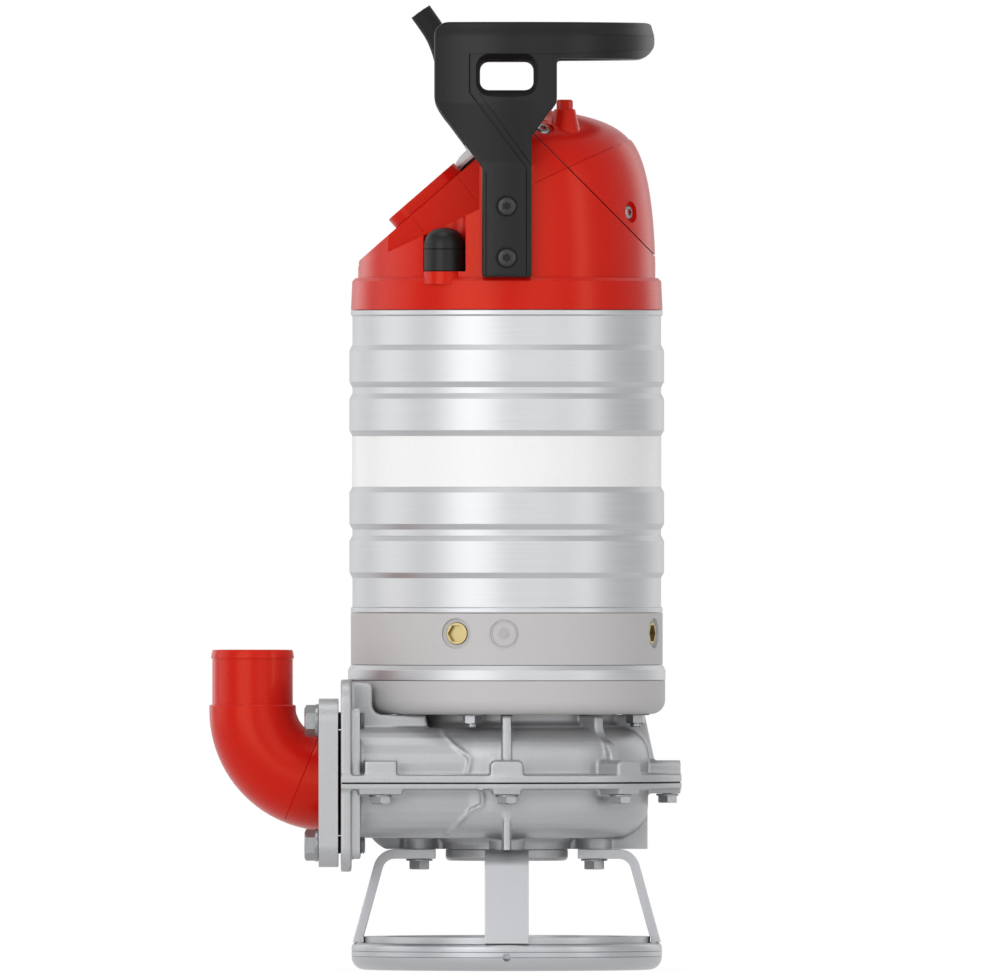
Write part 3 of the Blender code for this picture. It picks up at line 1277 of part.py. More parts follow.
def make_bearing(place, seat, radius, ring, low, high, ball, shaft_radius):
    """Outer ring, inner ring, and the balls in their cage."""
    inner_bore = shaft_radius + SEAT_GAP / math.cos(math.pi / MEDIUM_STEPS)
    outer = turned(ring_outline(radius - ring, radius, low, high), MEDIUM_STEPS)
    add_piece(f"{place}_bearing_outer_ring", outer, "bright_steel")
    inner = turned(ring_outline(inner_bore, inner_bore + ring, low, high), MEDIUM_STEPS)
    add_piece(f"{place}_bearing_inner_ring", inner, "bright_steel")
    pitch = ((radius - ring) * math.cos(math.pi / MEDIUM_STEPS) + inner_bore + ring) / 2
    middle = (low + high) / 2
    half = (high - low) * CAGE_HEIGHT_SHARE / 2
    cage = turned(ring_outline(pitch - CAGE_THICKNESS / 2, pitch + CAGE_THICKNESS / 2,
                               middle - half, middle + half), WASHER_STEPS)
    balls = bmesh.new()
    for number in range(BALL_COUNT):
        spot = turn(360 * number / BALL_COUNT) @ shift(x=pitch, z=middle)
        bmesh.ops.create_icosphere(balls, subdivisions=1, radius=ball * BALL_CORNER_SHARE, matrix=spot)
    add_piece(f"{place}_bearing_balls", joined(cage, shape_from(balls)), seat)


def make_bearings():
    make_bearing("lower", "bright_steel", LOWER_BEARING_RADIUS, LOWER_BEARING_RING,
                 LOWER_BEARING_FOOT, LOWER_BEARING_TOP, LOWER_BALL_RADIUS, SHAFT_BEARING_RADIUS)
    make_bearing("upper", "bright_steel", UPPER_BEARING_RADIUS, UPPER_BEARING_RING,
                 UPPER_BEARING_FOOT, UPPER_BEARING_TOP, UPPER_BALL_RADIUS, SHAFT_TOP_RADIUS)


def make_stator():
    outer = inside_radius(CASING_BORE_RADIUS)
    add_piece("stator_core", turned(ring_outline(STATOR_BORE_RADIUS, outer, STATOR_FOOT, STATOR_TOP),
                                    LARGE_STEPS), "core_steel")
    for name, near, side in (("lower_winding", STATOR_FOOT, -1), ("upper_winding", STATOR_TOP, 1)):
        start = near + side * SEAT_GAP
        far = start + side * WINDING_HEIGHT
        outline = [
            (WINDING_INNER_RADIUS, start), (WINDING_OUTER_RADIUS, start),
            (WINDING_OUTER_RADIUS, far - side * WINDING_ROUND), (WINDING_OUTER_RADIUS - WINDING_ROUND, far),
            (WINDING_INNER_RADIUS + WINDING_ROUND, far), (WINDING_INNER_RADIUS, far - side * WINDING_ROUND),
        ]
        add_piece(name, turned(outline, MEDIUM_STEPS), "copper")


# Rotor

def make_shaft():
    nose = HUB_FOOT + SHAFT_NOSE_DROP
    shoulder = HUB_TOP + SEAT_GAP
    bearing_start = LOWER_BEARING_FOOT - RUNNING_GAP
    top = HOUSING_FOOT - HOUSING_BEARING_RECESS + SHAFT_TOP_STANDOUT
    outline = [
        (0, top), (SHAFT_TOP_RADIUS, top), (SHAFT_TOP_RADIUS, UPPER_BEARING_FOOT - SEAT_GAP),
        (SHAFT_BEARING_RADIUS, UPPER_BEARING_FOOT - SEAT_GAP), (SHAFT_BEARING_RADIUS, STATOR_TOP),
        (SHAFT_ROTOR_RADIUS, STATOR_TOP), (SHAFT_ROTOR_RADIUS, LOWER_BEARING_TOP + SEAT_GAP),
        (SHAFT_BEARING_RADIUS, LOWER_BEARING_TOP + SEAT_GAP), (SHAFT_BEARING_RADIUS, bearing_start),
        (SHAFT_SEAL_RADIUS, bearing_start), (SHAFT_SEAL_RADIUS, shoulder),
        (SHAFT_IMPELLER_RADIUS, shoulder), (SHAFT_IMPELLER_RADIUS, nose), (0, nose),
    ]
    shaft = turned(outline, MEDIUM_STEPS)
    bore_top = HUB_FOOT + IMPELLER_SCREW_LENGTH + SEAT_GAP
    bore = cylinder(hole_radius(IMPELLER_SCREW_RADIUS), nose - OVERRUN, bore_top, HOLE_STEPS)
    add_piece("shaft", cut(shaft, bore), "bright_steel")
    core_bore = SHAFT_ROTOR_RADIUS + SEAT_GAP / math.cos(math.pi / MEDIUM_STEPS)
    core_radius = STATOR_BORE_RADIUS * math.cos(math.pi / LARGE_STEPS) - RUNNING_GAP
    core = turned(ring_outline(core_bore, core_radius, STATOR_FOOT, STATOR_TOP - SEAT_GAP),
                  MEDIUM_STEPS)
    add_piece("rotor_core", core, "core_steel")
    ring_bore = SHAFT_SEAL_RADIUS + SEAT_GAP / math.cos(math.pi / MEDIUM_STEPS)
    seal_foot = SEAL_TUBE_TOP + SEAT_GAP
    seal = turned(ring_outline(ring_bore, SEAL_RING_RADIUS, seal_foot, seal_foot + SEAL_RING_HEIGHT),
                  MEDIUM_STEPS)
    add_piece("shaft_seal_ring", seal, "carbide")


def vane_outline(start_degrees):
    """A backward-curved vane in plan, thickness kept across its length."""
    inner, outer = IMPELLER_EYE_RADIUS, IMPELLER_RADIUS - IMPELLER_FLOOR_GAP / 2
    middle = []
    for step in range(CORNER_STEPS + 1):
        share = step / CORNER_STEPS
        radius = inner + (outer - inner) * share
        angle = math.radians(start_degrees + IMPELLER_VANE_WRAP_DEGREES * share)
        middle.append(Vector((radius * math.cos(angle), radius * math.sin(angle))))
    left, right = [], []
    for number, point in enumerate(middle):
        before = middle[max(number - 1, 0)]
        after = middle[min(number + 1, len(middle) - 1)]
        normal = (after - before).orthogonal().normalized() * IMPELLER_VANE_THICKNESS / 2
        left.append(tuple(point + normal))
        right.append(tuple(point - normal))
    return left + right[::-1]


def make_impeller():
    bore = SHAFT_IMPELLER_RADIUS + SEAT_GAP / math.cos(math.pi / MEDIUM_STEPS)
    shroud_top = SHROUD_FOOT + IMPELLER_SHROUD_THICKNESS
    outline = [
        (bore, HUB_TOP), (IMPELLER_HUB_RADIUS, HUB_TOP),
        (IMPELLER_HUB_RADIUS * 1.3, (HUB_TOP + shroud_top) / 2),
        (IMPELLER_HUB_RADIUS * 2, shroud_top), (IMPELLER_RADIUS, shroud_top),
        (IMPELLER_RADIUS, SHROUD_FOOT), (IMPELLER_HUB_RADIUS * 1.5, SHROUD_FOOT),
        (IMPELLER_HUB_RADIUS, HUB_FOOT), (bore, HUB_FOOT),
    ]
    impeller = turned(outline, MEDIUM_STEPS)
    length = IMPELLER_VANE_HEIGHT + IMPELLER_SHROUD_THICKNESS / 2
    vanes = [moved(plate([vane_outline(360 * number / IMPELLER_VANE_COUNT)], length),
                   shift(z=IMPELLER_FOOT + length / 2)) for number in range(IMPELLER_VANE_COUNT)]
    add_piece("impeller", joined(impeller, together(vanes)), "hard_iron")
    seat = HUB_FOOT - SEAT_GAP
    head = turned([(0, seat - IMPELLER_SCREW_HEAD),
                   (IMPELLER_SCREW_HEAD_RADIUS * 0.8, seat - IMPELLER_SCREW_HEAD),
                   (IMPELLER_SCREW_HEAD_RADIUS, seat - IMPELLER_SCREW_HEAD * 0.7),
                   (IMPELLER_SCREW_HEAD_RADIUS, seat), (0, seat)], WASHER_STEPS)
    screw = joined(head, cylinder(IMPELLER_SCREW_RADIUS, seat - IMPELLER_SCREW_HEAD / 2,
                                  HUB_FOOT + IMPELLER_SCREW_LENGTH, HOLE_STEPS))
    add_piece("impeller_screw", screw, "bright_steel")


# Top housing

def slope_height(x, height, degrees):
    """Height of a slope that starts at the hood's left edge."""
    return RING_TOP + height + (x + HOOD_RADIUS) * math.tan(math.radians(degrees))


def hood_body(step, foot):
    """Turned wall and crown of the hood, drawn in by a step."""
    wall = bend((HOOD_RADIUS - step, RING_TOP + HOOD_WALL_STRAIGHT),
                (HOOD_WALL_BEND_RADIUS - step, RING_TOP + HOOD_WALL_BEND_HEIGHT),
                (HOOD_CROWN_RADIUS - step, RING_TOP + HOOD_WALL_HEIGHT), 5)
    crown = bend((HOOD_CROWN_RADIUS - step, RING_TOP + HOOD_WALL_HEIGHT),
                 (HOOD_CROWN_BEND_RADIUS - step, RING_TOP + HOOD_CROWN_BEND_HEIGHT - step),
                 (0, RING_TOP + HOOD_CROWN_HEIGHT - step), 4)
    outline = [(0, foot), (HOOD_RADIUS - step, foot)] + wall[:-1] + crown
    return turned(outline, LARGE_STEPS)


def front_prism(outline, half_width):
    """An outline seen from the front, thickened to both sides of the pump axis."""
    return moved(plate([outline], 2 * half_width), across())


def above_slope(left, right, height, degrees, lift=0):
    """Everything above a slope, as a cutter."""
    sky = RING_TOP + 2 * HOOD_CROWN_HEIGHT
    outline = [(left, slope_height(left, height, degrees) + lift), (left, sky), (right, sky),
               (right, slope_height(right, height, degrees) + lift)]
    return front_prism(outline, 2 * HOOD_RADIUS)


def beyond_split(side):
    """Everything on one side of the service cover's joint, and half the gap in it."""
    far = 3 * HOOD_RADIUS
    normal = Vector((math.sin(math.radians(COVER_SLOPE_DEGREES)), 0,
                     math.cos(math.radians(COVER_SLOPE_DEGREES))))
    middle = Vector((0, 0, RING_TOP + COVER_SPLIT_HEIGHT)) + normal * side * (far - SEAT_GAP / 2)
    half = block((-far, -far, -far), (far, far, far))
    return moved(half, shift(*middle), turn(COVER_SLOPE_DEGREES, "Y"))


def make_hood():
    """The whole hood before the service cover is parted from it."""
    foot = RING_TOP - HOUSING_RING_CHAMFER
    wide = 2 * HOOD_RADIUS
    skin = cut(hood_body(0, foot), above_slope(-wide, wide, CREASE_HEIGHT, CREASE_SLOPE_DEGREES))
    core = cut(hood_body(HOOD_CREASE_STEP, foot + OVERRUN / 2),
               above_slope(-wide, 0, CREASE_HEIGHT, CREASE_SLOPE_DEGREES, -HOOD_CREASE_STEP))
    low = RING_TOP
    high_end = HOOD_CROWN_RADIUS / 3
    pad_outline = [(-HOOD_RADIUS + HOOD_CREASE_STEP / 2, low),
                   (-HOOD_RADIUS + HOOD_CREASE_STEP / 2, low + 2 * INCLINE_HEIGHT),
                   (high_end, slope_height(high_end, 2 * INCLINE_HEIGHT, INCLINE_SLOPE_DEGREES)),
                   (high_end, low)]
    pad = common(front_prism(pad_outline, ENTRY_PAD_HALF_WIDTH),
                 hood_body(HOOD_CREASE_STEP / 2, foot - OVERRUN))
    hood = joined(skin, core, pad)
    return cut(hood, above_slope(-wide, HOOD_RADIUS, INCLINE_HEIGHT, INCLINE_SLOPE_DEGREES))


def make_top_housing():
    hood = make_hood()
    cover = cut(copy_of(hood), beyond_split(-1))
    boss_top = RING_TOP + HOOD_CROWN_HEIGHT - TEST_BOSS_DROP
    boss = cylinder(TEST_BOSS_RADIUS, boss_top - TEST_BOSS_DEPTH, boss_top, WASHER_STEPS,
                    TEST_PLUG_X, -TEST_PLUG_Y)
    add_piece("service_cover", joined(cover, boss), "red_enamel")
    plug = cylinder(TEST_PLUG_FLATS / math.sqrt(3), boss_top + SEAT_GAP,
                    boss_top + SEAT_GAP + TEST_PLUG_HEIGHT, HEX_STEPS, TEST_PLUG_X, -TEST_PLUG_Y)
    add_piece("test_plug", plug, "red_enamel")
    body = cut(hood, beyond_split(1))
    spigot = inside_radius(CASING_BORE_RADIUS)
    spigot_foot = HOUSING_FOOT - HOUSING_SPIGOT_DEPTH
    hub_foot = HOUSING_FOOT - HOUSING_HUB_DEPTH
    bearing_bore = UPPER_BEARING_RADIUS + SEAT_GAP / math.cos(math.pi / MEDIUM_STEPS)
    chamfer = HOUSING_RING_CHAMFER
    ring = turned([
        (0, RING_TOP), (HOUSING_RING_TOP_RADIUS - chamfer, RING_TOP),
        (HOUSING_RING_TOP_RADIUS, RING_TOP - chamfer), (HOUSING_RING_RADIUS, HOUSING_FOOT),
        (spigot, HOUSING_FOOT), (spigot, spigot_foot), (HOUSING_HUB_RADIUS, spigot_foot),
        (HOUSING_HUB_RADIUS, hub_foot), (0, hub_foot),
    ], LARGE_STEPS)
    pockets = [
        cylinder(bearing_bore, hub_foot - OVERRUN, UPPER_BEARING_TOP + SEAT_GAP, MEDIUM_STEPS),
        cylinder(HOUSING_SHAFT_POCKET_RADIUS, UPPER_BEARING_TOP,
                 UPPER_BEARING_TOP + HOUSING_SHAFT_POCKET_DEPTH, MEDIUM_STEPS),
        block((CHAMBER_LEFT, -CHAMBER_HALF_WIDTH, RING_TOP + CHAMBER_FLOOR_RISE),
              (CHAMBER_RIGHT, CHAMBER_HALF_WIDTH, RING_TOP + HOOD_CROWN_HEIGHT)),
    ]
    cap_seat = RING_TOP + CAP_BOSS_RISE
    cap_boss = cylinder(CAP_BOSS_RADIUS, RING_TOP - CAP_BOSS_DEPTH, cap_seat, MEDIUM_STEPS,
                        -CAP_X, -CAP_Y)
    pocket_radius = CAP_RADIUS + CAP_POCKET_CLEARANCE
    cap_pocket = cylinder(pocket_radius, cap_seat - SEAT_GAP, cap_seat + CAP_HEIGHT * 1.3,
                          MEDIUM_STEPS, -CAP_X, -CAP_Y)
    body = joined(body, ring, together(handle_pads()), cap_boss)
    add_piece("top_housing", cut(body, *pockets, cap_pocket), "red_enamel")
    make_dome_cap(cap_seat)


def handle_pads():
    """Raised pads on the hood's wall, front and rear, that the handle's legs lie on."""
    pads = []
    for side in (-1, 1):
        post = cylinder(HANDLE_PAD_RADIUS, RING_TOP - HOUSING_RING_CHAMFER / 2,
                        RING_TOP + HANDLE_PAD_HEIGHT, LARGE_STEPS)
        near, far = sorted((side * HOOD_CROWN_RADIUS, side * 2 * HOOD_RADIUS))
        window = block((-HANDLE_PAD_HALF_WIDTH, near, HOUSING_FOOT),
                       (HANDLE_PAD_HALF_WIDTH, far, RING_TOP + HOOD_CROWN_HEIGHT))
        pads.append(common(post, window))
    return pads


def make_dome_cap(seat):
    low = seat
    seam = low + CAP_SEAM_HEIGHT
    dome = bend((CAP_RADIUS, seam), (CAP_RADIUS, low + CAP_HEIGHT), (0, low + CAP_HEIGHT), 5)
    cap = turned([(0, low)] + [(CAP_RADIUS, low)] + dome, MEDIUM_STEPS)
    add_piece("dome_cap", moved(cap, shift(-CAP_X, -CAP_Y)), "black_plastic")


# Handle

def handle_outline():
    """The handle seen from the front, clockwise from its foot."""
    foot = HANDLE_FOOT
    top = foot + HANDLE_HEIGHT
    band = top - HANDLE_BAND_HEIGHT
    leg = HANDLE_LEG_HALF_WIDTH
    left, right = -HANDLE_LEFT_REACH, HANDLE_BAND_RADIUS + LUG_INSET
    left_arm = bend((left * 0.79, foot + (HANDLE_LEFT_WAIST + HANDLE_LEFT_SHOULDER) * 0.53),
                    (left, foot + HANDLE_LEFT_SHOULDER * 0.95), (left, foot + HANDLE_LEFT_SHOULDER), 2)
    return (
        [(leg, foot), (-leg, foot), (-leg, foot + HANDLE_LEFT_WAIST)]
        + left_arm
        + arc((left + HANDLE_TOP_ROUND, top - HANDLE_TOP_ROUND), HANDLE_TOP_ROUND, 180, 90, 3)
        + arc((right - HANDLE_END_ROUND, top - HANDLE_END_ROUND), HANDLE_END_ROUND, 90, 0, 2)
        + arc((right - HANDLE_END_UNDER_ROUND, band + HANDLE_END_UNDER_ROUND),
              HANDLE_END_UNDER_ROUND, 0, -90, 3)
        + [(HANDLE_POST_REACH, band), (HANDLE_POST_REACH, foot + HANDLE_RIGHT_SHOULDER),
           (leg, foot + HANDLE_RIGHT_WAIST + LUG_ROOT), (leg, foot + HANDLE_RIGHT_WAIST)]
    )


def make_handle():
    """A hoop and two legs: a turned shell kept only inside the front outline."""
    foot = HANDLE_FOOT
    top = foot + HANDLE_HEIGHT
    lean_start, lean_end = foot + HANDLE_LEAN_START, foot + HANDLE_LEAN_END
    inner_leg = HANDLE_PAD_RADIUS + SEAT_GAP / math.cos(math.pi / LARGE_STEPS)
    outer_leg = inner_leg + HANDLE_LEG_THICKNESS
    inner_band = HANDLE_BAND_RADIUS - HANDLE_BAND_WIDTH
    low, high = foot - OVERRUN, top + OVERRUN
    shell = turned([
        (inner_band, high), (HANDLE_BAND_RADIUS, high), (HANDLE_BAND_RADIUS, lean_end),
        (outer_leg, lean_start), (outer_leg, low), (inner_leg, low), (inner_leg, lean_start),
        (inner_band, lean_end),
    ], LARGE_STEPS)
    window_top = top - HANDLE_BAND_HEIGHT - WINDOW_DROP
    window = rounded_box(-WINDOW_WIDTH / 2, WINDOW_WIDTH / 2, window_top - WINDOW_HEIGHT, window_top,
                         WINDOW_ROUND, 2)
    prism = moved(plate([handle_outline(), window], 4 * HOOD_RADIUS), across())
    add_piece("handle", common(shell, prism), "black_plastic")


# Cable entry

def on_incline(distance, lift=0):
    """Stand a piece drawn along +Z on the incline, at a distance from its left edge."""
    slope = math.radians(INCLINE_SLOPE_DEGREES)
    x = -HOOD_RADIUS + distance * math.cos(slope)
    z = slope_height(x, INCLINE_HEIGHT, INCLINE_SLOPE_DEGREES)
    return shift(x, 0, z) @ turn(-INCLINE_SLOPE_DEGREES, "Y") @ shift(z=SEAT_GAP + lift)


def make_cable_entry():
    lid = plate([rounded_box(LID_START, LID_START + LID_LENGTH, -LID_HALF_WIDTH, LID_HALF_WIDTH,
                             LID_CORNER_RADIUS, 3)], LID_THICKNESS)
    lid = moved(lid, shift(z=LID_THICKNESS / 2))
    clearance = GLAND_GASKET_RADIUS + LID_GLAND_CLEARANCE
    lid = cut(lid, cylinder(clearance, -OVERRUN, LID_THICKNESS + OVERRUN, MEDIUM_STEPS, GLAND_START))
    add_piece("cable_entry_lid", moved(lid, on_incline(0)), "red_enamel")
    gasket = cylinder(GLAND_GASKET_RADIUS, 0, GLAND_GASKET_THICKNESS, MEDIUM_STEPS)
    add_piece("gland_gasket", moved(gasket, on_incline(GLAND_START)), "black_rubber")
    collar_top = GLAND_HEIGHT + GLAND_COLLAR_HEIGHT
    gland = turned(
        [(0, 0), (GLAND_RADIUS, 0)]
        + bend((GLAND_RADIUS, GLAND_HEIGHT * 0.3), (GLAND_RADIUS * 0.85, GLAND_HEIGHT),
               (GLAND_COLLAR_RADIUS, GLAND_HEIGHT), 4)
        + [(GLAND_COLLAR_RADIUS, collar_top), (0, collar_top)],
        MEDIUM_STEPS)
    lift = GLAND_GASKET_THICKNESS + SEAT_GAP
    add_piece("cable_gland", moved(gland, on_incline(GLAND_START, lift)), "cast_grey")
    exit_place = on_incline(GLAND_START, lift + collar_top + SEAT_GAP) @ Vector((0, 0, 0))
    add_piece("cable", make_cable(exit_place), "black_rubber")


# The cable's route as seen from the front: steps from the gland to the cut end
CABLE_ROUTE = (
    (0.0, 0.0), (-0.0105, 0.0135), (-0.0165, 0.0285), (-0.0215, 0.0450), (-0.0255, 0.0625),
    (-0.0300, 0.0800), (-0.0370, 0.0960), (-0.0500, 0.1150),
)


def smooth_route(route, count):
    """Points read at even steps from a smooth curve through a route."""
    ends = [2 * route[0] - route[1]] + route + [2 * route[-1] - route[-2]]
    points = []
    for step in range(count):
        place = step / (count - 1) * (len(route) - 1)
        span = min(int(place), len(route) - 2)
        t = place - span
        a, b, c, d = ends[span:span + 4]
        points.append(
            b + (c - a) * t / 2 + (a - 2.5 * b + 2 * c - d / 2) * t ** 2
            + (1.5 * (b - c) + (d - a) / 2) * t ** 3
        )
    return points


def make_cable(start):
    route = [start + Vector((x, 0, z)) for x, z in CABLE_ROUTE]
    curve = bpy.data.curves.new("cable", "CURVE")
    curve.dimensions = "3D"
    curve.bevel_depth = CABLE_RADIUS
    curve.bevel_resolution = 3
    curve.use_fill_caps = True
    spline = curve.splines.new("POLY")
    spline.points.add(CABLE_POINTS - 1)
    for point, place in zip(spline.points, smooth_route(route, CABLE_POINTS)):
        point.co = (*place, 1)
    shape = bpy.data.objects.new("shape", curve)
    workshop.objects.link(shape)
    return baked(shape)


def make_terminal_block():
    """A block with barriers between its terminals, on the floor of the terminal chamber."""
    foot = RING_TOP + CHAMBER_FLOOR_RISE + SEAT_GAP
    top = foot + TERMINAL_HEIGHT
    pitch = TERMINAL_LENGTH / TERMINAL_BARRIERS
    outline = [(-TERMINAL_LENGTH / 2, foot)]
    for number in range(TERMINAL_BARRIERS):
        start = -TERMINAL_LENGTH / 2 + number * pitch
        outline += [(start, top), (start + pitch / 4, top),
                    (start + pitch / 4, top - TERMINAL_BARRIER_RISE),
                    (start + pitch, top - TERMINAL_BARRIER_RISE)]
    outline[-1] = (TERMINAL_LENGTH / 2, top - TERMINAL_BARRIER_RISE)
    outline.append((TERMINAL_LENGTH / 2, foot))
    middle = (CHAMBER_LEFT + CHAMBER_RIGHT) / 2 - TERMINAL_WIDTH / 4
    block_shape = moved(plate([outline], TERMINAL_WIDTH), shift(x=middle), across(90))
    add_piece("terminal_block", block_shape, "black_plastic")


make_base_ring()
make_legs()
make_suction_cover()
make_lower_casing()
make_upper_casing()
make_casing_gasket()
make_casing_bolts()
make_discharge()
make_seal_housing()
make_clamp_ring()
make_oil_housing()
make_outer_casing()
make_bearing_bracket()
make_bearings()
make_stator()
make_shaft()
make_impeller()
make_top_housing()
make_handle()
make_cable_entry()
make_terminal_block()
bpy.data.collections.remove(workshop)
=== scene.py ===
"""Submersible slurry pump on a ring foot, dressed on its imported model.

Sizes are in metres. Pieces are drawn about the pump axis, with +Z up, the front
towards -Y and the discharge towards -X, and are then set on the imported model.
"""

import math

import bmesh
import bpy
from mathutils import Matrix, Vector


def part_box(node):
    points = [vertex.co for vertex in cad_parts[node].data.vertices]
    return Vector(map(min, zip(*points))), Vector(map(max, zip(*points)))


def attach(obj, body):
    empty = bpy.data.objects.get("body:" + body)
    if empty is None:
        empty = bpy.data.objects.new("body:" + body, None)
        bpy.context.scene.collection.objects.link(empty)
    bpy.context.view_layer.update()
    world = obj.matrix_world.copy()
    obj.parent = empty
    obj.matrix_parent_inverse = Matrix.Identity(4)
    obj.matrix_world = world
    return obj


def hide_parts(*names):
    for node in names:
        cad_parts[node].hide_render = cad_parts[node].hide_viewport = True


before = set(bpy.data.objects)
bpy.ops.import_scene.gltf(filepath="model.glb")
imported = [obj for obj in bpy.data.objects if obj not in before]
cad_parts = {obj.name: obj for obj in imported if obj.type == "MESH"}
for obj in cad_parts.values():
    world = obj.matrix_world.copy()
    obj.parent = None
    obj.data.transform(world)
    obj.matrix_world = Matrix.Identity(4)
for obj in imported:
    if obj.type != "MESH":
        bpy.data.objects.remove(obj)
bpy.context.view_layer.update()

bl_info = {
    "name": "Slurry pump",
    "version": (1, 0, 0),
    "blender": (4, 5, 0),
    "location": "3D View > Sidebar > Slurry pump",
    "description": "Builds the pieces, finishes and studio of a submersible slurry pump",
    "category": "Add Mesh",
}


def foot_of(node):
    """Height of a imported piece's underside."""
    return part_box(node)[0].z


def top_of(node):
    """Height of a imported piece's top."""
    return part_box(node)[1].z


# Fits, and how far cutters reach past what they cut
SEAT_GAP = 0.0003
RUNNING_GAP = 0.0008
OVERRUN = 0.004
WELD = 0.000001
FAR = 0.6

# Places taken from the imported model
AXIS_X = (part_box("outer_casing")[0].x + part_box("outer_casing")[1].x) / 2
BASE_COLLAR_TOP = top_of("base_ring")
LEG_TOP = top_of("leg_front")
CASING_FOOT = foot_of("lower_casing")
LOWER_CASING_TOP = foot_of("casing_gasket") - SEAT_GAP
UPPER_CASING_FOOT = top_of("casing_gasket") + SEAT_GAP
CLAMP_RING_FOOT = foot_of("clamp_ring")
SEAL_HOUSING_FOOT = CLAMP_RING_FOOT - 0.0311
UPPER_CASING_TOP = SEAL_HOUSING_FOOT - SEAT_GAP
OIL_HOUSING_FOOT = foot_of("oil_housing")
OIL_HOUSING_TOP = top_of("oil_housing")
OUTER_CASING_FOOT = foot_of("outer_casing")
OUTER_CASING_TOP = top_of("outer_casing")
HOUSING_FOOT = OUTER_CASING_TOP + SEAT_GAP
HANDLE_FOOT = foot_of("handle")
RING_TOP = HANDLE_FOOT - SEAT_GAP
DISCHARGE_HEIGHT = (LOWER_CASING_TOP + UPPER_CASING_FOOT) / 2

# Foot and legs
BASE_RADIUS = 0.142
BASE_BORE_RADIUS = 0.112
BASE_HEIGHT = 0.0248
BASE_FOOT_ROUND = 0.012
BASE_TOP_ROUND = 0.0046
BASE_GROOVES = ((0.0056, 0), (0.0052, 0.0005), (0.0048, 0), (0.0008, 0), (0.0004, 0.0005))
BASE_HOLE_RADIUS = 0.0036
BASE_HOLE_DEPTH = 0.012
BASE_HOLE_HEIGHT = 0.0124
COLLAR_RADIUS = 0.1313
LEG_FOOT = BASE_HEIGHT + SEAT_GAP
LEG_WIDTH = 0.040
LEG_THICKNESS = 0.0085
LEG_SLOPE_DEGREES = 15.4
LEG_BEND_RADIUS = 0.0115
LEG_INNER_REACH = 0.065
LEG_FOOT_REACH = 0.141
LEG_TANG_THICKNESS = 0.005
LEG_TANG_DEPTH = 0.014
LEG_BOLT_CIRCLE_RADIUS = 0.080
LEG_DEGREES = (0, 90, 180, 270)
LEG_SIDES = ("right", "rear", "left", "front")
LEG_BOLT_HOLE_RADIUS = 0.0063
LEG_BOLT_HOLE_DEPTH = 0.0138

# Volute
SUCTION_COVER_RADIUS = 0.0559
SUCTION_BORE_RADIUS = 0.040
SUCTION_COVER_ROUND = 0.004
VOLUTE_START_RADIUS = 0.1195
VOLUTE_END_RADIUS = 0.1345
VOLUTE_TONGUE_DEGREES = 200
VOLUTE_SWEEP_DEGREES = 305
VOLUTE_WALL = 0.010
VOLUTE_LOWER_ROUND = 0.030
VOLUTE_UPPER_ROUND = 0.026
VOLUTE_FLOOR = CASING_FOOT + 0.0107
VOLUTE_ROOF = UPPER_CASING_TOP - 0.013
CASING_NECK_RADIUS = 0.098
CASING_NECK_FLARE = 0.004
CASING_NECK_STRAIGHT = 0.0052
SHAFT_OPENING_RADIUS = 0.075
HUB_RADIUS = 0.057
HUB_FLARE = 0.0045
CASING_INLET_RADIUS = 0.045
LEG_BOSS_RADIUS = 0.0162
WEB_THICKNESS = 0.006
PARTING_FLANGE_RADIUS = 0.160
LOWER_FLANGE_THICKNESS = 0.0046
UPPER_FLANGE_THICKNESS = 0.0063
LOWER_LUG_WIDTH = 0.0254
LOWER_LUG_HEIGHT = 0.0095
UPPER_LUG_WIDTH = 0.029
UPPER_LUG_HEIGHT = 0.0192
LUG_ROOT = 0.022
LUG_CHAMFER = 0.003
GUSSET_THICKNESS = 0.0078
CASING_BOLT_CIRCLE_RADIUS = 0.1471
CASING_BOLT_DEGREES = (-90, -45, 0, 45, 90, 135, 172)
CASING_BOLT_LENGTH = 0.024
CASING_BOLT_HOLE_RADIUS = 0.0053
NECK_BOLT_X = 0.115
LOWER_NECK_LUG_HALF_WIDTH = 0.020
CAST_GRAIN = 0.0013
SEAM_RADIUS = 0.0019

# Discharge
NECK_OFFSET = 0.080
NECK_HALF_WIDTH = 0.050
NECK_HALF_HEIGHT = 0.0503
NECK_CORNER_RADIUS = 0.032
DISCHARGE_BORE_RADIUS = 0.040
PUMP_FLANGE_REACH = 0.1513
PUMP_FLANGE_THICKNESS = 0.0095
PUMP_FLANGE_ABOVE = 0.0941
PUMP_FLANGE_BELOW = 0.0808
FLANGE_HALF_WIDTH = 0.0766
FLANGE_CORNER_RADIUS = 0.020
PUMP_FLANGE_BACK = PUMP_FLANGE_REACH - PUMP_FLANGE_THICKNESS
BACKING_PAD_THICKNESS = 0.0083
BACKING_PAD_START = PUMP_FLANGE_BACK - BACKING_PAD_THICKNESS
BACKING_PAD_WIDTH = 0.025
NECK_STRIP_INSET = 0.0012
NECK_GUSSET_THICKNESS = 0.012
NECK_GUSSET_OFFSET = 0.090
GASKET_START = PUMP_FLANGE_REACH + SEAT_GAP
GASKET_THICKNESS = 0.0020
GASKET_RADIUS = 0.048
ELBOW_START = GASKET_START + GASKET_THICKNESS + SEAT_GAP
LOOSE_FLANGE_THICKNESS = 0.0176
LOOSE_FLANGE_END = ELBOW_START + LOOSE_FLANGE_THICKNESS
DISCHARGE_BOLT_SIDE = 0.080 * math.sqrt(0.5)
DISCHARGE_BOLT_STANDOUT = 0.0040
DISCHARGE_BOLT_RELIEF = 0.010
DISCHARGE_BOLT_HOLE_RADIUS = 0.0083
ELBOW_COLLAR_RADIUS = 0.0505
ELBOW_COLLAR_THICKNESS = 0.0045
ELBOW_PIPE_RADIUS = 0.0443
ELBOW_STUB = 0.0076
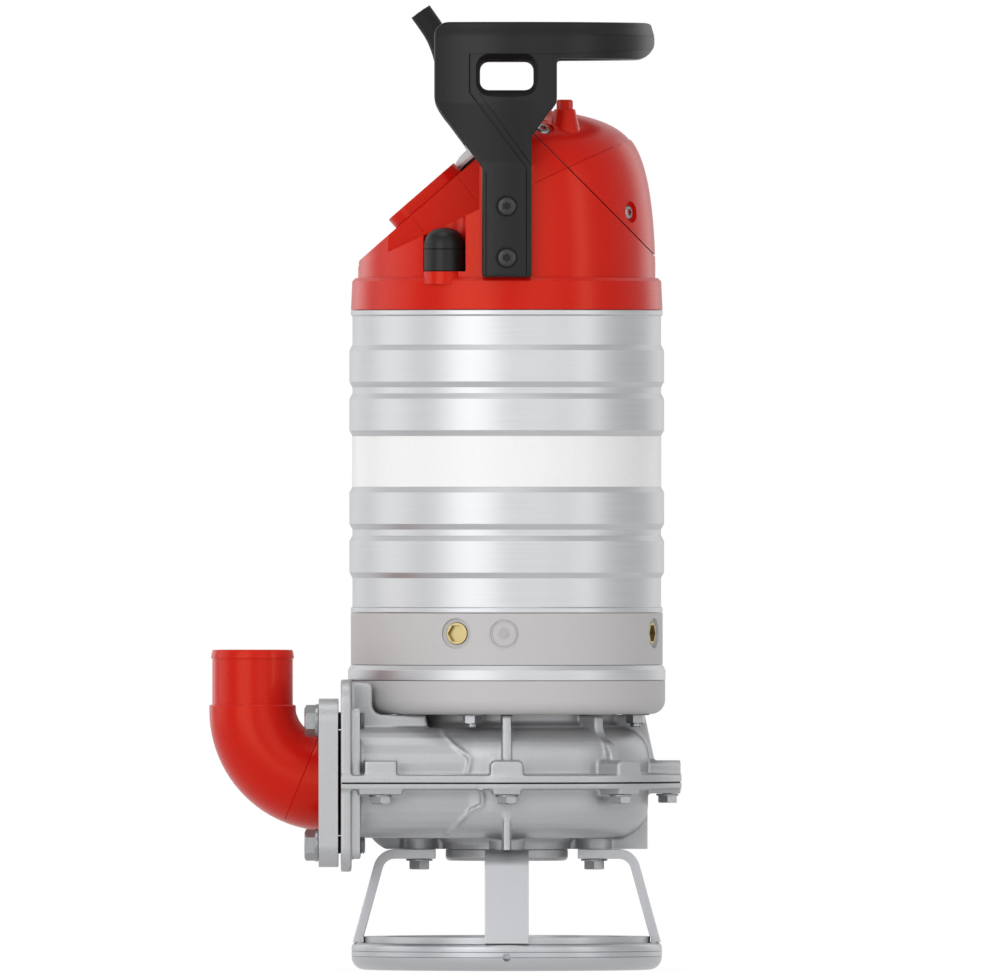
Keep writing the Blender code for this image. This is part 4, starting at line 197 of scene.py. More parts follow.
ELBOW_BEND_RISE = 0.0655
ELBOW_BEND_REACH = 0.0706
ELBOW_END_RADIUS = 0.0395
ELBOW_WALL = 0.0045
HOSE_TAIL_RADIUS = 0.0368
HOSE_TAIL_BEAD_RADIUS = 0.0378
HOSE_TAIL_BEAD = 0.0084
HOSE_TAIL_STEP = 0.0056
HOSE_TAIL_LENGTH = 0.0559
HOSE_TAIL_AXIS = ELBOW_START + ELBOW_STUB + ELBOW_BEND_REACH

# Housings
SEAL_HOUSING_RADIUS = 0.145
SEAL_HOUSING_ROUND = 0.013
SEAL_HOUSING_FLOOR = 0.016
SEAL_SPIGOT_DEPTH = 0.0205
SEAL_BORE_RADIUS = 0.024
HOUSING_CAVITY_RADIUS = 0.118
CLAMP_RING_RADIUS = 0.1453
CLAMP_RING_BEVEL = 0.0045
OIL_HOUSING_RADIUS = 0.1427
PLUG_DEGREES = (-109, -19)
PLUG_RADIUS = 0.010
PLUG_RECESS_RADIUS = 0.0139
PLUG_RECESS_DEPTH = 0.0035
PLUG_STANDOUT = 0.0015
PLUG_LENGTH = 0.012
PLUG_SOCKET_FLATS = 0.0148
MARK_DEGREES = -91
MARK_RING_RADII = (0.0133, 0.0118, 0.0050, 0.0026)
SEAL_NUT_DEGREES = (-105, -15, 75, 165)
SEAL_NUT_CIRCLE_RADIUS = 0.122

# Outer casing
CASING_RIB_RADIUS = 0.144
CASING_WALL_RADIUS = 0.1412
CASING_LIP_RADIUS = 0.1427
CASING_BORE_RADIUS = 0.133
CASING_LIP_HEIGHT = 0.0042
CASING_END_RECESS = 0.0262
CASING_RIB_HEIGHT = 0.0287
CASING_GROOVE_HEIGHT = 0.0055
CASING_BAND_HEIGHT = 0.0466
CASING_BEVEL = 0.0051
CASING_LIP_BEVEL = 0.0012

# Top housing
HOUSING_RING_RADIUS = 0.1426
HOUSING_RING_TOP_RADIUS = 0.1414
HOUSING_RING_CHAMFER = 0.003
HOOD_RADIUS = 0.136
HOOD_WALL_HEIGHT = 0.1263
HOOD_CROWN_RADIUS = 0.1137
HOOD_CROWN_HEIGHT = 0.1558
HOOD_CREASE_STEP = 0.0012
CREASE_SLOPE_DEGREES = 25
CREASE_HEIGHT = 0.0104
INCLINE_SLOPE_DEGREES = 41
INCLINE_HEIGHT = 0.0147
COVER_SLOPE_DEGREES = 45
COVER_SPLIT_HEIGHT = 0.156
COVER_JOINT = 0.0009
# Each screw pocket's name, place about the pump axis and direction
COVER_POCKETS = (("front", (0.1145, -0.0695, 0.6927), (0.86, -0.51, 0.08)),
                 ("rear", (0.1145, 0.0695, 0.6927), (0.86, 0.51, 0.08)),
                 ("crown", (0.0345, -0.0950, 0.7715), (0.30, -0.62, 0.72)))
COVER_POCKET_RADIUS = 0.0098
COVER_POCKET_DEPTH = 0.0045
ENTRY_PAD_HALF_WIDTH = 0.080
CAP_X = 0.0569
CAP_Y = 0.1147
CAP_RADIUS = 0.0188
CAP_SEAM_HEIGHT = 0.0202
CAP_HEIGHT = 0.0397
CAP_BOSS_RISE = 0.0057
TEST_PLUG_X = 0.0529
TEST_PLUG_Y = 0.075
TEST_PLUG_FLATS = 0.0129
TEST_BOSS_RADIUS = 0.0128
TEST_BOSS_RISE = 0.1538

# Handle
HANDLE_PAD_HALF_WIDTH = 0.0250
HANDLE_PAD_RADIUS = 0.1375
HANDLE_PAD_HEIGHT = 0.102
HANDLE_LEG_HALF_WIDTH = 0.0226
HANDLE_LEG_THICKNESS = 0.0127
HANDLE_HEIGHT = top_of("handle") - HANDLE_FOOT
HANDLE_BAND_HEIGHT = 0.0334
HANDLE_BAND_RADIUS = 0.1352
HANDLE_BAND_WIDTH = 0.0232
HANDLE_LEFT_REACH = 0.0662
HANDLE_RIGHT_REACH = 0.1362
HANDLE_POST_REACH = 0.0458
HANDLE_LEFT_WAIST = 0.0995
HANDLE_RIGHT_WAIST = 0.1055
HANDLE_LEFT_SHOULDER = 0.1640
HANDLE_RIGHT_SHOULDER = 0.1610
HANDLE_LEAN_START = 0.104
HANDLE_LEAN_END = 0.160
WINDOW_WIDTH = 0.0489
WINDOW_HEIGHT = 0.0279
WINDOW_DROP = 0.0010
WINDOW_CORNER_RADIUS = 0.0075
WINDOW_CHAMFER = 0.0068
HANDLE_STEP = 0.0022
HANDLE_SCORE_DEPTH = 0.0012
HANDLE_SHOULDER_DROP = 0.012
HANDLE_DRAFT = 0.0035
HANDLE_SCREW_HEIGHTS = {"upper": 0.0648, "lower": 0.0178}

# Cable entry
LID_START = 0.0465
LID_LENGTH = 0.0788
LID_THICKNESS = 0.0104
LID_HALF_WIDTH = 0.062
GLAND_START = 0.1557
GLAND_RADIUS = 0.0345
GLAND_GASKET_RADIUS = 0.0350
GLAND_GASKET_THICKNESS = 0.0024
GLAND_HEIGHT = 0.0092
GLAND_COLLAR_RADIUS = 0.0135
GLAND_COLLAR_HEIGHT = 0.0034
CABLE_STEPS = (
    (0.0, 0.0), (-0.0105, 0.0135), (-0.0165, 0.0285), (-0.0215, 0.0450), (-0.0255, 0.0625),
    (-0.0300, 0.0800), (-0.0370, 0.0960), (-0.0500, 0.1150),
)
CABLE_POINTS = 24

# Lines seen from the front, as (x, height) points
UPPER_NECK_SEAM = ((-0.0598, 0.0487), (-0.0554, 0.0413), (-0.0480, 0.0340), (-0.0328, 0.0230),
                   (-0.0346, 0.0131), (-0.0365, 0.0070))
LOWER_NECK_SEAM = ((-0.0235, -0.0052), (-0.0217, -0.0127), (-0.0223, -0.0204), (-0.0321, -0.0248),
                   (-0.0419, -0.0334), (-0.0493, -0.0420), (-0.0555, -0.0490))
HOOD_CREASES = (((0.0226, 0.0846), (0.1127, 0.1266)), ((-0.0865, 0.0549), (-0.0748, 0.0409)),
                ((-0.0444, 0.0911), (-0.0246, 0.0665)))
CREASE_RADIUS = 0.0004
HANDLE_SCORES = (((-0.0328, 0.1673), (0.0186, 0.0990)), ((-0.0246, 0.1673), (0.0221, 0.1024)),
                 ((-0.0189, 0.0959), (-0.0189, 0.0020)), ((0.0179, 0.0977), (0.0179, 0.0020)))
SEAM_STEPS = 10

# The photograph's frame: its left and right edges span this width at the pump
FRAME_WIDTH = 0.9177
FRAME_CENTRE_X = -0.0048
FRAME_CENTRE_Z = 0.4397
CAMERA_DISTANCE = 40.0

# Studio: each soft box by its power setting, width, height, bearing and rise
SOFT_BOXES = (
    ("key_box", "key", 3.2, 4.4, -26, 0.13), ("front_box", "front", 2.6, 4.4, 24, 0.13),
    ("left_box", "left", 3.2, 3.8, -92, 0.13), ("side_box", "side", 0.5, 3.2, 60, 0.16),
    ("top_box", "top", 2.8, 2.8, -20, 5.0), ("rear_left_box", "rear", 2.0, 3.2, -140, 0.16),
    ("rear_right_box", "rear", 2.0, 3.2, 140, 0.16),
)
SOFT_BOX_DISTANCE = 4.7
STUDIO_CENTRE = (AXIS_X, 0, 0.44)
FLOOR_HALF_SIZE = 2.6
FLOOR_WHITENESS = 0.85
FLOOR_STRENGTH = 1.08


def paint(code):
    """A hex colour as linear red, green and blue."""
    channels = [int(code[place:place + 2], 16) / 255 for place in (1, 3, 5)]
    return tuple(c / 12.92 if c <= 0.04045 else ((c + 0.055) / 1.055) ** 2.4 for c in channels)


def colour(name, description, code):
    """A colour setting, given as a hex code."""
    return bpy.props.FloatVectorProperty(
        name=name, description=description, default=paint(code), subtype="COLOR", min=0, max=1)


def length(name, description, default):
    """A length setting in metres."""
    return bpy.props.FloatProperty(
        name=name, description=description, default=default, min=0, subtype="DISTANCE",
        unit="LENGTH", precision=4)


def share(name, description, default):
    """A setting between nothing and all."""
    return bpy.props.FloatProperty(
        name=name, description=description, default=default, min=0, max=1, subtype="FACTOR")


def power(name, place, default):
    """The power setting of a soft box."""
    return bpy.props.FloatProperty(
        name=name, description=f"Power of the soft box {place}", default=default, min=0,
        subtype="POWER", unit="POWER")


class PumpFinishes(bpy.types.PropertyGroup):
    """Colours and gloss of the pump's finishes."""
    enamel: colour("Enamel", "Red stoving enamel of the top housing and the elbow", "#CA1810")
    casting: colour("Casting", "Grey coat on the iron castings", "#ABACAE")
    housing: colour("Housing", "Blasted aluminium of the oil and seal housings", "#C4C2C2")
    stainless: colour("Stainless", "Brushed sheet of the outer casing", "#B8B9BB")
    foot: colour("Foot", "Blasted steel of the foot and legs", "#AEAFB2")
    fasteners: colour("Fasteners", "Zinc-plated screws", "#8E8F91")
    plastic: colour("Plastic", "Moulded handle and cap", "#101010")
    rubber: colour("Rubber", "Cable sheath and gaskets", "#111111")
    brass: colour("Brass", "Inspection plugs", "#A3946A")
    band: colour("Band", "White painted band on the casing", "#F4F4F4")
    copper: colour("Copper", "Windings and cable cores", "#C97B4A")
    enamel_roughness: share("Enamel roughness", "Roughness of the red enamel", 0.29)
    stainless_roughness: share("Stainless roughness", "Roughness of the brushed sheet", 0.46)


class PumpSizes(bpy.types.PropertyGroup):
    """Sizes that change the look and not the frame."""
    edge: length("Edge", "Rounding of machined edges", 0.0008)
    cast_edge: length("Cast edge", "Rounding of cast edges", 0.0020)
    cable_diameter: length("Cable", "Diameter of the cable", 0.0203)
    band_height: length("Band", "Height of the white band", 0.0462)
    band_film: length("Film", "Thickness of the paint on the band", 0.00025)


class PumpStudio(bpy.types.PropertyGroup):
    """Lamps and floor."""
    key: power("Key", "at the front left", 114)
    front: power("Front", "at the front right", 42)
    left: power("Left", "at the left", 50)
    side: power("Side", "at the right", 29)
    top: power("Top", "overhead", 55)
    rear: power("Rear", "at each side behind", 18)
    ambient: bpy.props.FloatProperty(
        name="Ambient", description="Strength of the even light from all round", default=0.25,
        min=0)
    reflected: share("Reflected", "How much of the white surroundings shows in reflections", 0.7)
    floor: colour("Floor", "Pale floor", "#F2F2F1")


class PumpSettings(bpy.types.PropertyGroup):
    """All settings of the pump's scene."""
    finishes: bpy.props.PointerProperty(
        type=PumpFinishes, name="Finishes", description="Colours and gloss")
    sizes: bpy.props.PointerProperty(
        type=PumpSizes, name="Sizes", description="Edges, band and cable")
    studio: bpy.props.PointerProperty(
        type=PumpStudio, name="Studio", description="Lamps and floor")


# Outlines

def arc(centre, radius, start, end, pieces=8):
    """Points along an arc given in degrees, both ends kept."""
    angles = [math.radians(start + (end - start) * step / pieces) for step in range(pieces + 1)]
    return [(centre[0] + radius * math.cos(a), centre[1] + radius * math.sin(a)) for a in angles]


def bend(start, pull, end, pieces=8):
    """Points along a quadratic curve pulled towards a middle point."""
    points = []
    for step in range(pieces + 1):
        t = step / pieces
        points.append(tuple(
            (1 - t) ** 2 * a + 2 * t * (1 - t) * b + t ** 2 * c
            for a, b, c in zip(start, pull, end)
        ))
    return points


def rounded_box(left, right, low, high, radius, pieces=6):
    """Outline of a rectangle with equal round corners."""
    return (
        arc((right - radius, low + radius), radius, -90, 0, pieces)
        + arc((right - radius, high - radius), radius, 0, 90, pieces)
        + arc((left + radius, high - radius), radius, 90, 180, pieces)
        + arc((left + radius, low + radius), radius, 180, 270, pieces)
    )


def circle(x, y, radius, steps=48):
    """Outline of a circle."""
    return arc((x, y), radius, 0, 360 - 360 / steps, steps - 1)


def hexagon(flats, turned_by=0):
    """Outline of a hexagon, given across its flats."""
    return arc((0, 0), flats / math.sqrt(3), turned_by, turned_by + 300, 5)


def softened(outline, radius, pieces=3):
    """Round the sharp corners of a closed outline, leaving points on the axis as they are."""
    result = []
    for number, point in enumerate(outline):
        corner = Vector(point)
        back = Vector(outline[number - 1]) - corner
        ahead = Vector(outline[(number + 1) % len(outline)]) - corner
        if min(back.length, ahead.length) < WELD:
            continue
        turn_angle = back.angle(ahead)
        if corner.x < WELD or turn_angle > math.radians(162):
            result.append(point)
            continue
        setback = min(radius / math.tan(turn_angle / 2), back.length * 0.45, ahead.length * 0.45)
        start = corner + back.normalized() * setback
        end = corner + ahead.normalized() * setback
        result += bend(tuple(start), point, tuple(end), pieces)
    return result


# Solids

def on_bench(name, data):
    """An object in the scene for a mesh, a curve, a lamp or a camera."""
    item = bpy.data.objects.new(name, data)
    bpy.context.scene.collection.objects.link(item)
    return item


def shape_from(solid):
    """Put a bmesh on the bench as an object."""
    mesh = bpy.data.meshes.new("shape")
    solid.to_mesh(mesh)
    solid.free()
    return on_bench("shape", mesh)


def draw_line(curve, points, closed=False):
    """Add a line of straight runs through points to a curve."""
    line = curve.splines.new("POLY")
    line.points.add(len(points) - 1)
    for point, place in zip(line.points, points):
        point.co = (*place, 1)
    line.use_cyclic_u = closed


def rod(name, points, radius, resolution):
    """A round rod with closed ends, drawn through points."""
    curve = bpy.data.curves.new(name, "CURVE")
    curve.dimensions = "3D"
    curve.bevel_depth = radius
    curve.bevel_resolution = resolution
    curve.use_fill_caps = True
    draw_line(curve, points)
    return on_bench(name, curve)


def baked(shape):
    """Turn a curve, or a shape with modifiers, into one welded mesh."""
    bpy.context.view_layer.update()
    graph = bpy.context.evaluated_depsgraph_get()
    mesh = bpy.data.meshes.new_from_object(shape.evaluated_get(graph))
    solid = bmesh.new()
    solid.from_mesh(mesh)
    bpy.data.meshes.remove(mesh)
    bmesh.ops.remove_doubles(solid, verts=solid.verts, dist=WELD)
    bmesh.ops.dissolve_degenerate(solid, edges=solid.edges, dist=WELD)
    bmesh.ops.recalc_face_normals(solid, faces=solid.faces)
    bpy.data.objects.remove(shape)
    return shape_from(solid)


def turned(outline, steps=96, edge=0.0):
    """Turn an outline of (radius, height) points about the pump axis."""
    if edge:
        outline = softened(outline, edge)
    solid = bmesh.new()
    rings = []
    for radius, height in outline:
        count = 1 if radius < WELD else steps
        angles = [2 * math.pi * (step + 0.37) / steps for step in range(count)]
        rings.append([solid.verts.new((radius * math.cos(angle), radius * math.sin(angle), height))
                      for angle in angles])
    for ring, following in zip(rings, rings[1:] + rings[:1]):
        for step in range(steps):
            if len(ring) == len(following) == 1:
                break
            after = step + 1
            corners = [ring[step % len(ring)], ring[after % len(ring)],
                       following[after % len(following)], following[step % len(following)]]
            solid.faces.new(list(dict.fromkeys(corners)))
    bmesh.ops.recalc_face_normals(solid, faces=solid.faces)
    return shape_from(solid)


def plate(outlines, thickness, edge=0.0):
    """A filled flat outline, with any holes, thickened to both sides of its plane."""
    curve = bpy.data.curves.new("outline", "CURVE")
    curve.dimensions = "2D"
    curve.fill_mode = "BOTH"
    curve.extrude = thickness / 2
    for outline in outlines:
        draw_line(curve, [(x, y, 0) for x, y in outline], closed=True)
    shape = baked(on_bench("shape", curve))
    return rounded_edges(shape, edge) if edge else shape


def rounded_edges(shape, width, degrees=40, pieces=2):
    """Round every edge sharper than an angle."""
    step = shape.modifiers.new("edges", "BEVEL")
    step.width = width
    step.segments = pieces
    step.limit_method = "ANGLE"
    step.angle_limit = math.radians(degrees)
    step.use_clamp_overlap = True
    return baked(shape)


def block(low, high):
    """A box between two corners, as a cutter."""
    solid = bmesh.new()
    bmesh.ops.create_cube(solid, size=1)
    size = Vector(high) - Vector(low)
    middle = (Vector(high) + Vector(low)) / 2
    solid.transform(Matrix.Translation(middle) @ Matrix.Diagonal(size.to_4d()))
    return shape_from(solid)


def slab(low, high):
    """A block wider than the whole pump between two heights."""
    return block((-FAR, -FAR, low), (FAR, FAR, high))


def cylinder(radius, low, high, steps=48, x=0, y=0):
    """An upright cylinder between two heights."""
    solid = bmesh.new()
    bmesh.ops.create_cone(
        solid, cap_ends=True, segments=steps, radius1=radius, radius2=radius, depth=high - low)
    solid.transform(Matrix.Translation((x, y, (low + high) / 2)))
    return shape_from(solid)


def moved(shape, *matrices):
    """Move a shape's mesh by matrices, the last one first."""
    for matrix in reversed(matrices):
        shape.data.transform(matrix)
    return shape


def shift(x=0, y=0, z=0):
    """A move along the axes."""
    return Matrix.Translation((x, y, z))


def turn(degrees, about="Z"):
    """A turn about an axis."""
    return Matrix.Rotation(math.radians(degrees), 4, about)


def across(degrees=0):
    """Stand a flat outline upright: its x runs outward, its y up, its thickness sideways."""
    return turn(degrees) @ turn(90, "X")


def facing(degrees=0):
    """Stand a flat outline upright: its x runs sideways, its y up, its thickness outward."""
    return turn(degrees) @ turn(90, "Z") @ turn(90, "X")


def outward(degrees, reach, height):
    """Stand a piece drawn along +Z so that it points out from the pump axis."""
    return turn(degrees) @ shift(x=reach, z=height) @ turn(90, "Y")


def combined(shape, tool, operation):
    """Join, cut or intersect two shapes into one welded mesh."""
    step = shape.modifiers.new(operation.lower(), "BOOLEAN")
    step.operation = operation
    step.solver = "EXACT"
    step.object = tool
    result = baked(shape)
    bpy.data.objects.remove(tool)
    return result


def joined(shape, *tools):
    """Weld tools to a shape, one after the other."""
    for tool in tools:
        shape = combined(shape, tool, "UNION")
    return shape


def cut(shape, *tools):
    """Cut tools out of a shape, one after the other."""
    for tool in tools:
        shape = combined(shape, tool, "DIFFERENCE")
    return shape


def common(shape, *tools):
    """Keep what a shape shares with every tool."""
    for tool in tools:
        shape = combined(shape, tool, "INTERSECT")
    return shape


def together(shapes):
    """Gather shapes that stay clear of each other into one shape."""
    solid = bmesh.new()
    for shape in shapes:
        solid.from_mesh(shape.data)
        bpy.data.objects.remove(shape)
    return shape_from(solid)


def copy_of(shape):
    """A second shape like the first, to be moved on its own."""
    return on_bench("shape", shape.data.copy())


def cast(shape, grain, passes):
    """Give a joined shape the soft corners of a casting: an even skin, then smoothing."""
    skin = shape.modifiers.new("skin", "REMESH")
    skin.mode = "VOXEL"
    skin.voxel_size = grain
    smooth = shape.modifiers.new("smooth", "SMOOTH")
    smooth.factor = 0.5
    smooth.iterations = passes
    thin = shape.modifiers.new("thin", "DECIMATE")
    thin.ratio = 0.35
    return baked(shape)


def line_on(shape, points, radius):
    """A round bead laid on the front of a shape along points seen from the front."""
    bpy.context.view_layer.update()
    places = []
    for start, end in zip(points, points[1:]):
        for step in range(SEAM_STEPS):
            x, z = Vector(start).lerp(Vector(end), step / SEAM_STEPS)
            found, place, _, _ = shape.ray_cast((x, -1, z), (0, 1, 0))
            if found:
                places.append(place)
    return baked(rod("bead", places, radius, 2))


def raised(points, height):
    """Line points measured from a height, as places in the scene."""
    return [(x, z + height) for x, z in points]


def set_piece(name, shape, finish, replaces=(), body="housing", degrees=35):
    """Name a finished shape, set it on the pump axis and let it ride on its body."""
    mesh = shape.data
    mesh.transform(shift(x=AXIS_X))
    mesh.materials.clear()
    mesh.materials.append(finish)
    mesh.shade_smooth()
    mesh.set_sharp_from_angle(angle=math.radians(degrees))
    shape.name = name
    mesh.name = name
    step = shape.modifiers.new("shading", "WEIGHTED_NORMAL")
    step.keep_sharp = True
    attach(shape, body)
    if replaces:
        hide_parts(*replaces)
    return shape


# Finishes

def add_node(tree, kind, settings=None, links=None):
    """Add a node with its settings, by socket or by property, and its links."""
    node = tree.nodes.new(kind)
    for name, value in (settings or {}).items():
        if isinstance(name, int) or name in node.inputs:
            node.inputs[name].default_value = value
        else:
            setattr(node, name, value)
    for name, source in (links or {}).items():
        tree.links.new(source, node.inputs[name])
    return node


def rgba(colour_value, factor=1.0):
    """A colour for a socket, made darker or lighter by a factor."""
    return (*[min(1.0, channel * factor) for channel in colour_value], 1)


def surface_texture(tree, shader, base, spread, grain, depth, roughness, stretch=(1, 1, 1)):
    """Vary colour, roughness and height with one grain, whose size is in metres."""
    place = add_node(tree, "ShaderNodeTexCoord")
    scaled = add_node(tree, "ShaderNodeMapping", {"Scale": stretch},
                      {"Vector": place.outputs["Object"]})
    grains = add_node(tree, "ShaderNodeTexNoise", {"Scale": 1 / grain, "Detail": 3.0},
                      {"Vector": scaled.outputs["Vector"]})
    tones = add_node(tree, "ShaderNodeValToRGB", links={"Fac": grains.outputs["Fac"]})
    tones.color_ramp.elements[0].position = 0.3
    tones.color_ramp.elements[1].position = 0.7
    tones.color_ramp.elements[0].color = rgba(base, 1 - spread)
    tones.color_ramp.elements[1].color = rgba(base, 1 + spread)
    tree.links.new(tones.outputs["Color"], shader.inputs["Base Color"])
    gloss = add_node(tree, "ShaderNodeMapRange", {
        "To Min": roughness * 0.85, "To Max": roughness * 1.15}, {"Value": grains.outputs["Fac"]})
    tree.links.new(gloss.outputs["Result"], shader.inputs["Roughness"])
    relief = add_node(tree, "ShaderNodeBump", {"Strength": 1.0, "Distance": depth},
                      {"Height": grains.outputs["Fac"]})
    tree.links.new(relief.outputs["Normal"], shader.inputs["Normal"])


def setting(value):
    """A hex colour as linear light, a finish setting by its name, or the value itself."""
    if not isinstance(value, str):
        return value
    if value.startswith("#"):
        return paint(value)
    return getattr(bpy.context.scene.slurry_pump.finishes, value)


def finish(name, base, spread, grain, depth, roughness, stretch=(1, 1, 1), sockets=None):
    """A material with one grain all over, made when it is first asked for."""
    found = bpy.data.materials.get(name)
    if found:
        return found
    material = bpy.data.materials.new(name)
    material.use_nodes = True
    shader = material.node_tree.nodes["Principled BSDF"]
    for socket, value in (sockets or {}).items():
        shader.inputs[socket].default_value = value
    surface_texture(material.node_tree, shader, setting(base), spread, grain, depth,
                    setting(roughness), stretch)
    return material


def red_enamel():
    """Stoved red enamel on cast aluminium: a clear even gloss over a faint orange peel."""
    # Orange peel on sprayed paint has waves of about 2 mm
    return finish("red_stoved_enamel", "enamel", 0.03, 0.002, 0.00002, "enamel_roughness",
                  sockets={"Specular IOR Level": 0.4, "Specular Tint": (1.0, 0.42, 0.25, 1)})


def coated_iron():
    """Sand-cast iron under a grey coat: dull, with the 1.4 mm grain of the mould showing."""
    return finish("coated_sand_cast_iron", "casting", 0.05, 0.0014, 0.00012, 0.46,
                  sockets={"Metallic": 0.6})


def blasted_aluminium():
    """Die-cast aluminium, bead blasted: pale, even and almost without reflections."""
    return finish("blasted_cast_aluminium", "housing", 0.03, 0.0011, 0.00005, 0.55,
                  sockets={"Specular IOR Level": 0.3})


def brushed_stainless():
    """Stainless sheet brushed round the pump: streaks along the circumference, soft highlights."""
    # Brush lines are about 0.2 mm apart, drawn here at 1.2 mm so that they show
    return finish("brushed_stainless_steel", "stainless", 0.04, 0.0012, 0.000004,
                  "stainless_roughness", (0.01, 0.01, 1), {"Metallic": 1.0})


def blasted_steel():
    """Glass-blasted stainless plate and bar: a light satin grey with a fine 1 mm grain."""
    return finish("blasted_steel", "foot", 0.04, 0.0010, 0.00003, 0.38,
                  sockets={"Metallic": 0.75})


def zinc_plate():
    """Zinc-plated steel screws: bright grey, a little cloudy."""
    return finish("zinc_plated_steel", "fasteners", 0.07, 0.003, 0.00001, 0.34,
                  sockets={"Metallic": 0.9})


def moulded_plastic():
    """Black glass-filled polyamide, moulded: a satin black with a fine spark-eroded grain."""
    return finish("moulded_polyamide", "plastic", 0.10, 0.0009, 0.00004, 0.40,
                  sockets={"Specular IOR Level": 0.24})


def blackened_steel():
    """Black-oxide steel screws: nearly black with a dull metal sheen."""
    return finish("black_oxide_steel", "#2C2C2E", 0.06, 0.0012, 0.00001, 0.32,
                  sockets={"Metallic": 0.4})


def black_rubber():
    """Vulcanised rubber: matt black, slightly dusty."""
    return finish("vulcanised_rubber", "rubber", 0.15, 0.0016, 0.00004, 0.62,
                  sockets={"Specular IOR Level": 0.25})


def natural_fibre():
    """Paper and fibre filler between the cable's cores: pale, dull and uneven."""
    return finish("fibre_filler", "#8F8878", 0.2, 0.0008, 0.0001, 0.9)


def turned_brass():
    """Turned brass plugs: warm yellow with a fine 1 mm mottle from the tool."""
    return finish("turned_brass", "brass", 0.05, 0.0010, 0.00001, 0.38,
                  sockets={"Metallic": 1.0})


def white_paint():
    """White two-pack paint on the band: smooth, with a low sheen."""
    return finish("white_band_paint", "band", 0.012, 0.004, 0.00001, 0.35,
                  sockets={"Specular IOR Level": 0.3})


def bearing_steel():
    """Ground bearing steel: a fine mirror-like grey."""
    return finish("ground_bearing_steel", "#C9CACC", 0.03, 0.0008, 0.000003, 0.18,
                  sockets={"Metallic": 1.0})


def laminated_steel():
    """Stacked electrical sheets: thin dark lines along the stack, drawn 2 mm apart."""
    return finish("laminated_core_steel", "#6F7073", 0.18, 0.002, 0.00005, 0.45,
                  (0.02, 0.02, 1), {"Metallic": 0.8})


def wound_copper():
    """Varnished copper wire: warm brown strands round the stator."""
    return finish("varnished_copper_wire", "copper", 0.2, 0.0025, 0.0003, 0.4,
                  (0.08, 0.08, 1), {"Metallic": 0.7, "Coat Weight": 0.4})


def sintered_carbide():
    """Lapped tungsten carbide: very dark grey, smooth and hard."""
    return finish("lapped_carbide", "#4B4C50", 0.05, 0.001, 0.000002, 0.2,
                  sockets={"Metallic": 0.6})


# Camera and cable

class PUMP_OT_camera(bpy.types.Operator):
    """Look at the pump's front, level and from far away, as in a front drawing"""
    bl_idname = "pump.camera"
    bl_label = "Camera"

    def execute(self, context):
        lens = bpy.data.cameras.new("front_camera")
        lens.sensor_width = 36.0
        lens.lens = lens.sensor_width * CAMERA_DISTANCE / FRAME_WIDTH
        lens.clip_start = CAMERA_DISTANCE / 2
        lens.clip_end = CAMERA_DISTANCE * 4
        camera = on_bench("front_camera", lens)
        camera.location = (AXIS_X + FRAME_CENTRE_X, -CAMERA_DISTANCE, FRAME_CENTRE_Z)
        camera.rotation_euler = (math.radians(90), 0, 0)
        context.scene.camera = camera
        context.scene.view_settings.view_transform = "Standard"
        return {"FINISHED"}


def smooth_route(route, count):
    """Points read at even steps from a smooth curve through a route."""
    ends = [2 * route[0] - route[1]] + route + [2 * route[-1] - route[-2]]
    points = []
    for step in range(count):
        place = step / (count - 1) * (len(route) - 1)
        span = min(int(place), len(route) - 2)
        t = place - span
        a, b, c, d = ends[span:span + 4]
        points.append(
            b + (c - a) * t / 2 + (a - 2.5 * b + 2 * c - d / 2) * t ** 2
            + (1.5 * (b - c) + (d - a) / 2) * t ** 3
        )
    return points


def slope_height(x, height, degrees):
    """Height of a slope that starts at the hood's left edge."""
    return RING_TOP + height + (x + HOOD_RADIUS) * math.tan(math.radians(degrees))


def on_incline(distance, lift=0):
    """Stand a piece drawn along +Z on the incline, at a distance from its left edge."""
    x = -HOOD_RADIUS + distance * math.cos(math.radians(INCLINE_SLOPE_DEGREES))
    z = slope_height(x, INCLINE_HEIGHT, INCLINE_SLOPE_DEGREES)
    return shift(x, 0, z) @ turn(-INCLINE_SLOPE_DEGREES, "Y") @ shift(z=SEAT_GAP + lift)


class PUMP_OT_cable(bpy.types.Operator):
    """Run the cable from its gland to its cut end, with the cores showing there"""
    bl_idname = "pump.cable"
    bl_label = "Cable"

    def execute(self, context):
        sizes = context.scene.slurry_pump.sizes
        lift = GLAND_GASKET_THICKNESS + GLAND_HEIGHT + GLAND_COLLAR_HEIGHT + 2 * SEAT_GAP
        start = shift(x=AXIS_X) @ on_incline(GLAND_START, lift) @ Vector((0, 0, 0))
        points = smooth_route([start + Vector((x, 0, z)) for x, z in CABLE_STEPS], CABLE_POINTS)
        cable = rod("cable_sheath", points, sizes.cable_diameter / 2, 8)
        cable.data.materials.append(black_rubber())
        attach(cable, "housing")
        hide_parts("cable")
        way = (points[-1] - points[-2]).to_track_quat("Z", "Y").to_matrix().to_4x4()
        end = shift(-AXIS_X) @ shift(*points[-1]) @ way
        tape = turned([(0, -0.0004), (sizes.cable_diameter * 0.36, -0.0004),
                       (sizes.cable_diameter * 0.36, 0.0001), (0, 0.0001)], 48)
        set_piece("cable_filler", moved(tape, end), natural_fibre())
        for number in range(4):
            spot = turn(45 + 90 * number) @ shift(x=sizes.cable_diameter * 0.19)
            insulation = turned([(0.0009, 0), (0.0023, 0), (0.0023, 0.0003), (0.0009, 0.0003)], 24)
            set_piece(f"cable_core_{number + 1}", moved(insulation, end, spot),
                                   black_rubber())
            strands = turned([(0, 0), (0.0009, 0), (0.0009, 0.0002), (0, 0.0002)], 16)
            set_piece(f"cable_strands_{number + 1}", moved(strands, end, spot),
                                   wound_copper())
        return {"FINISHED"}


# Foot and legs

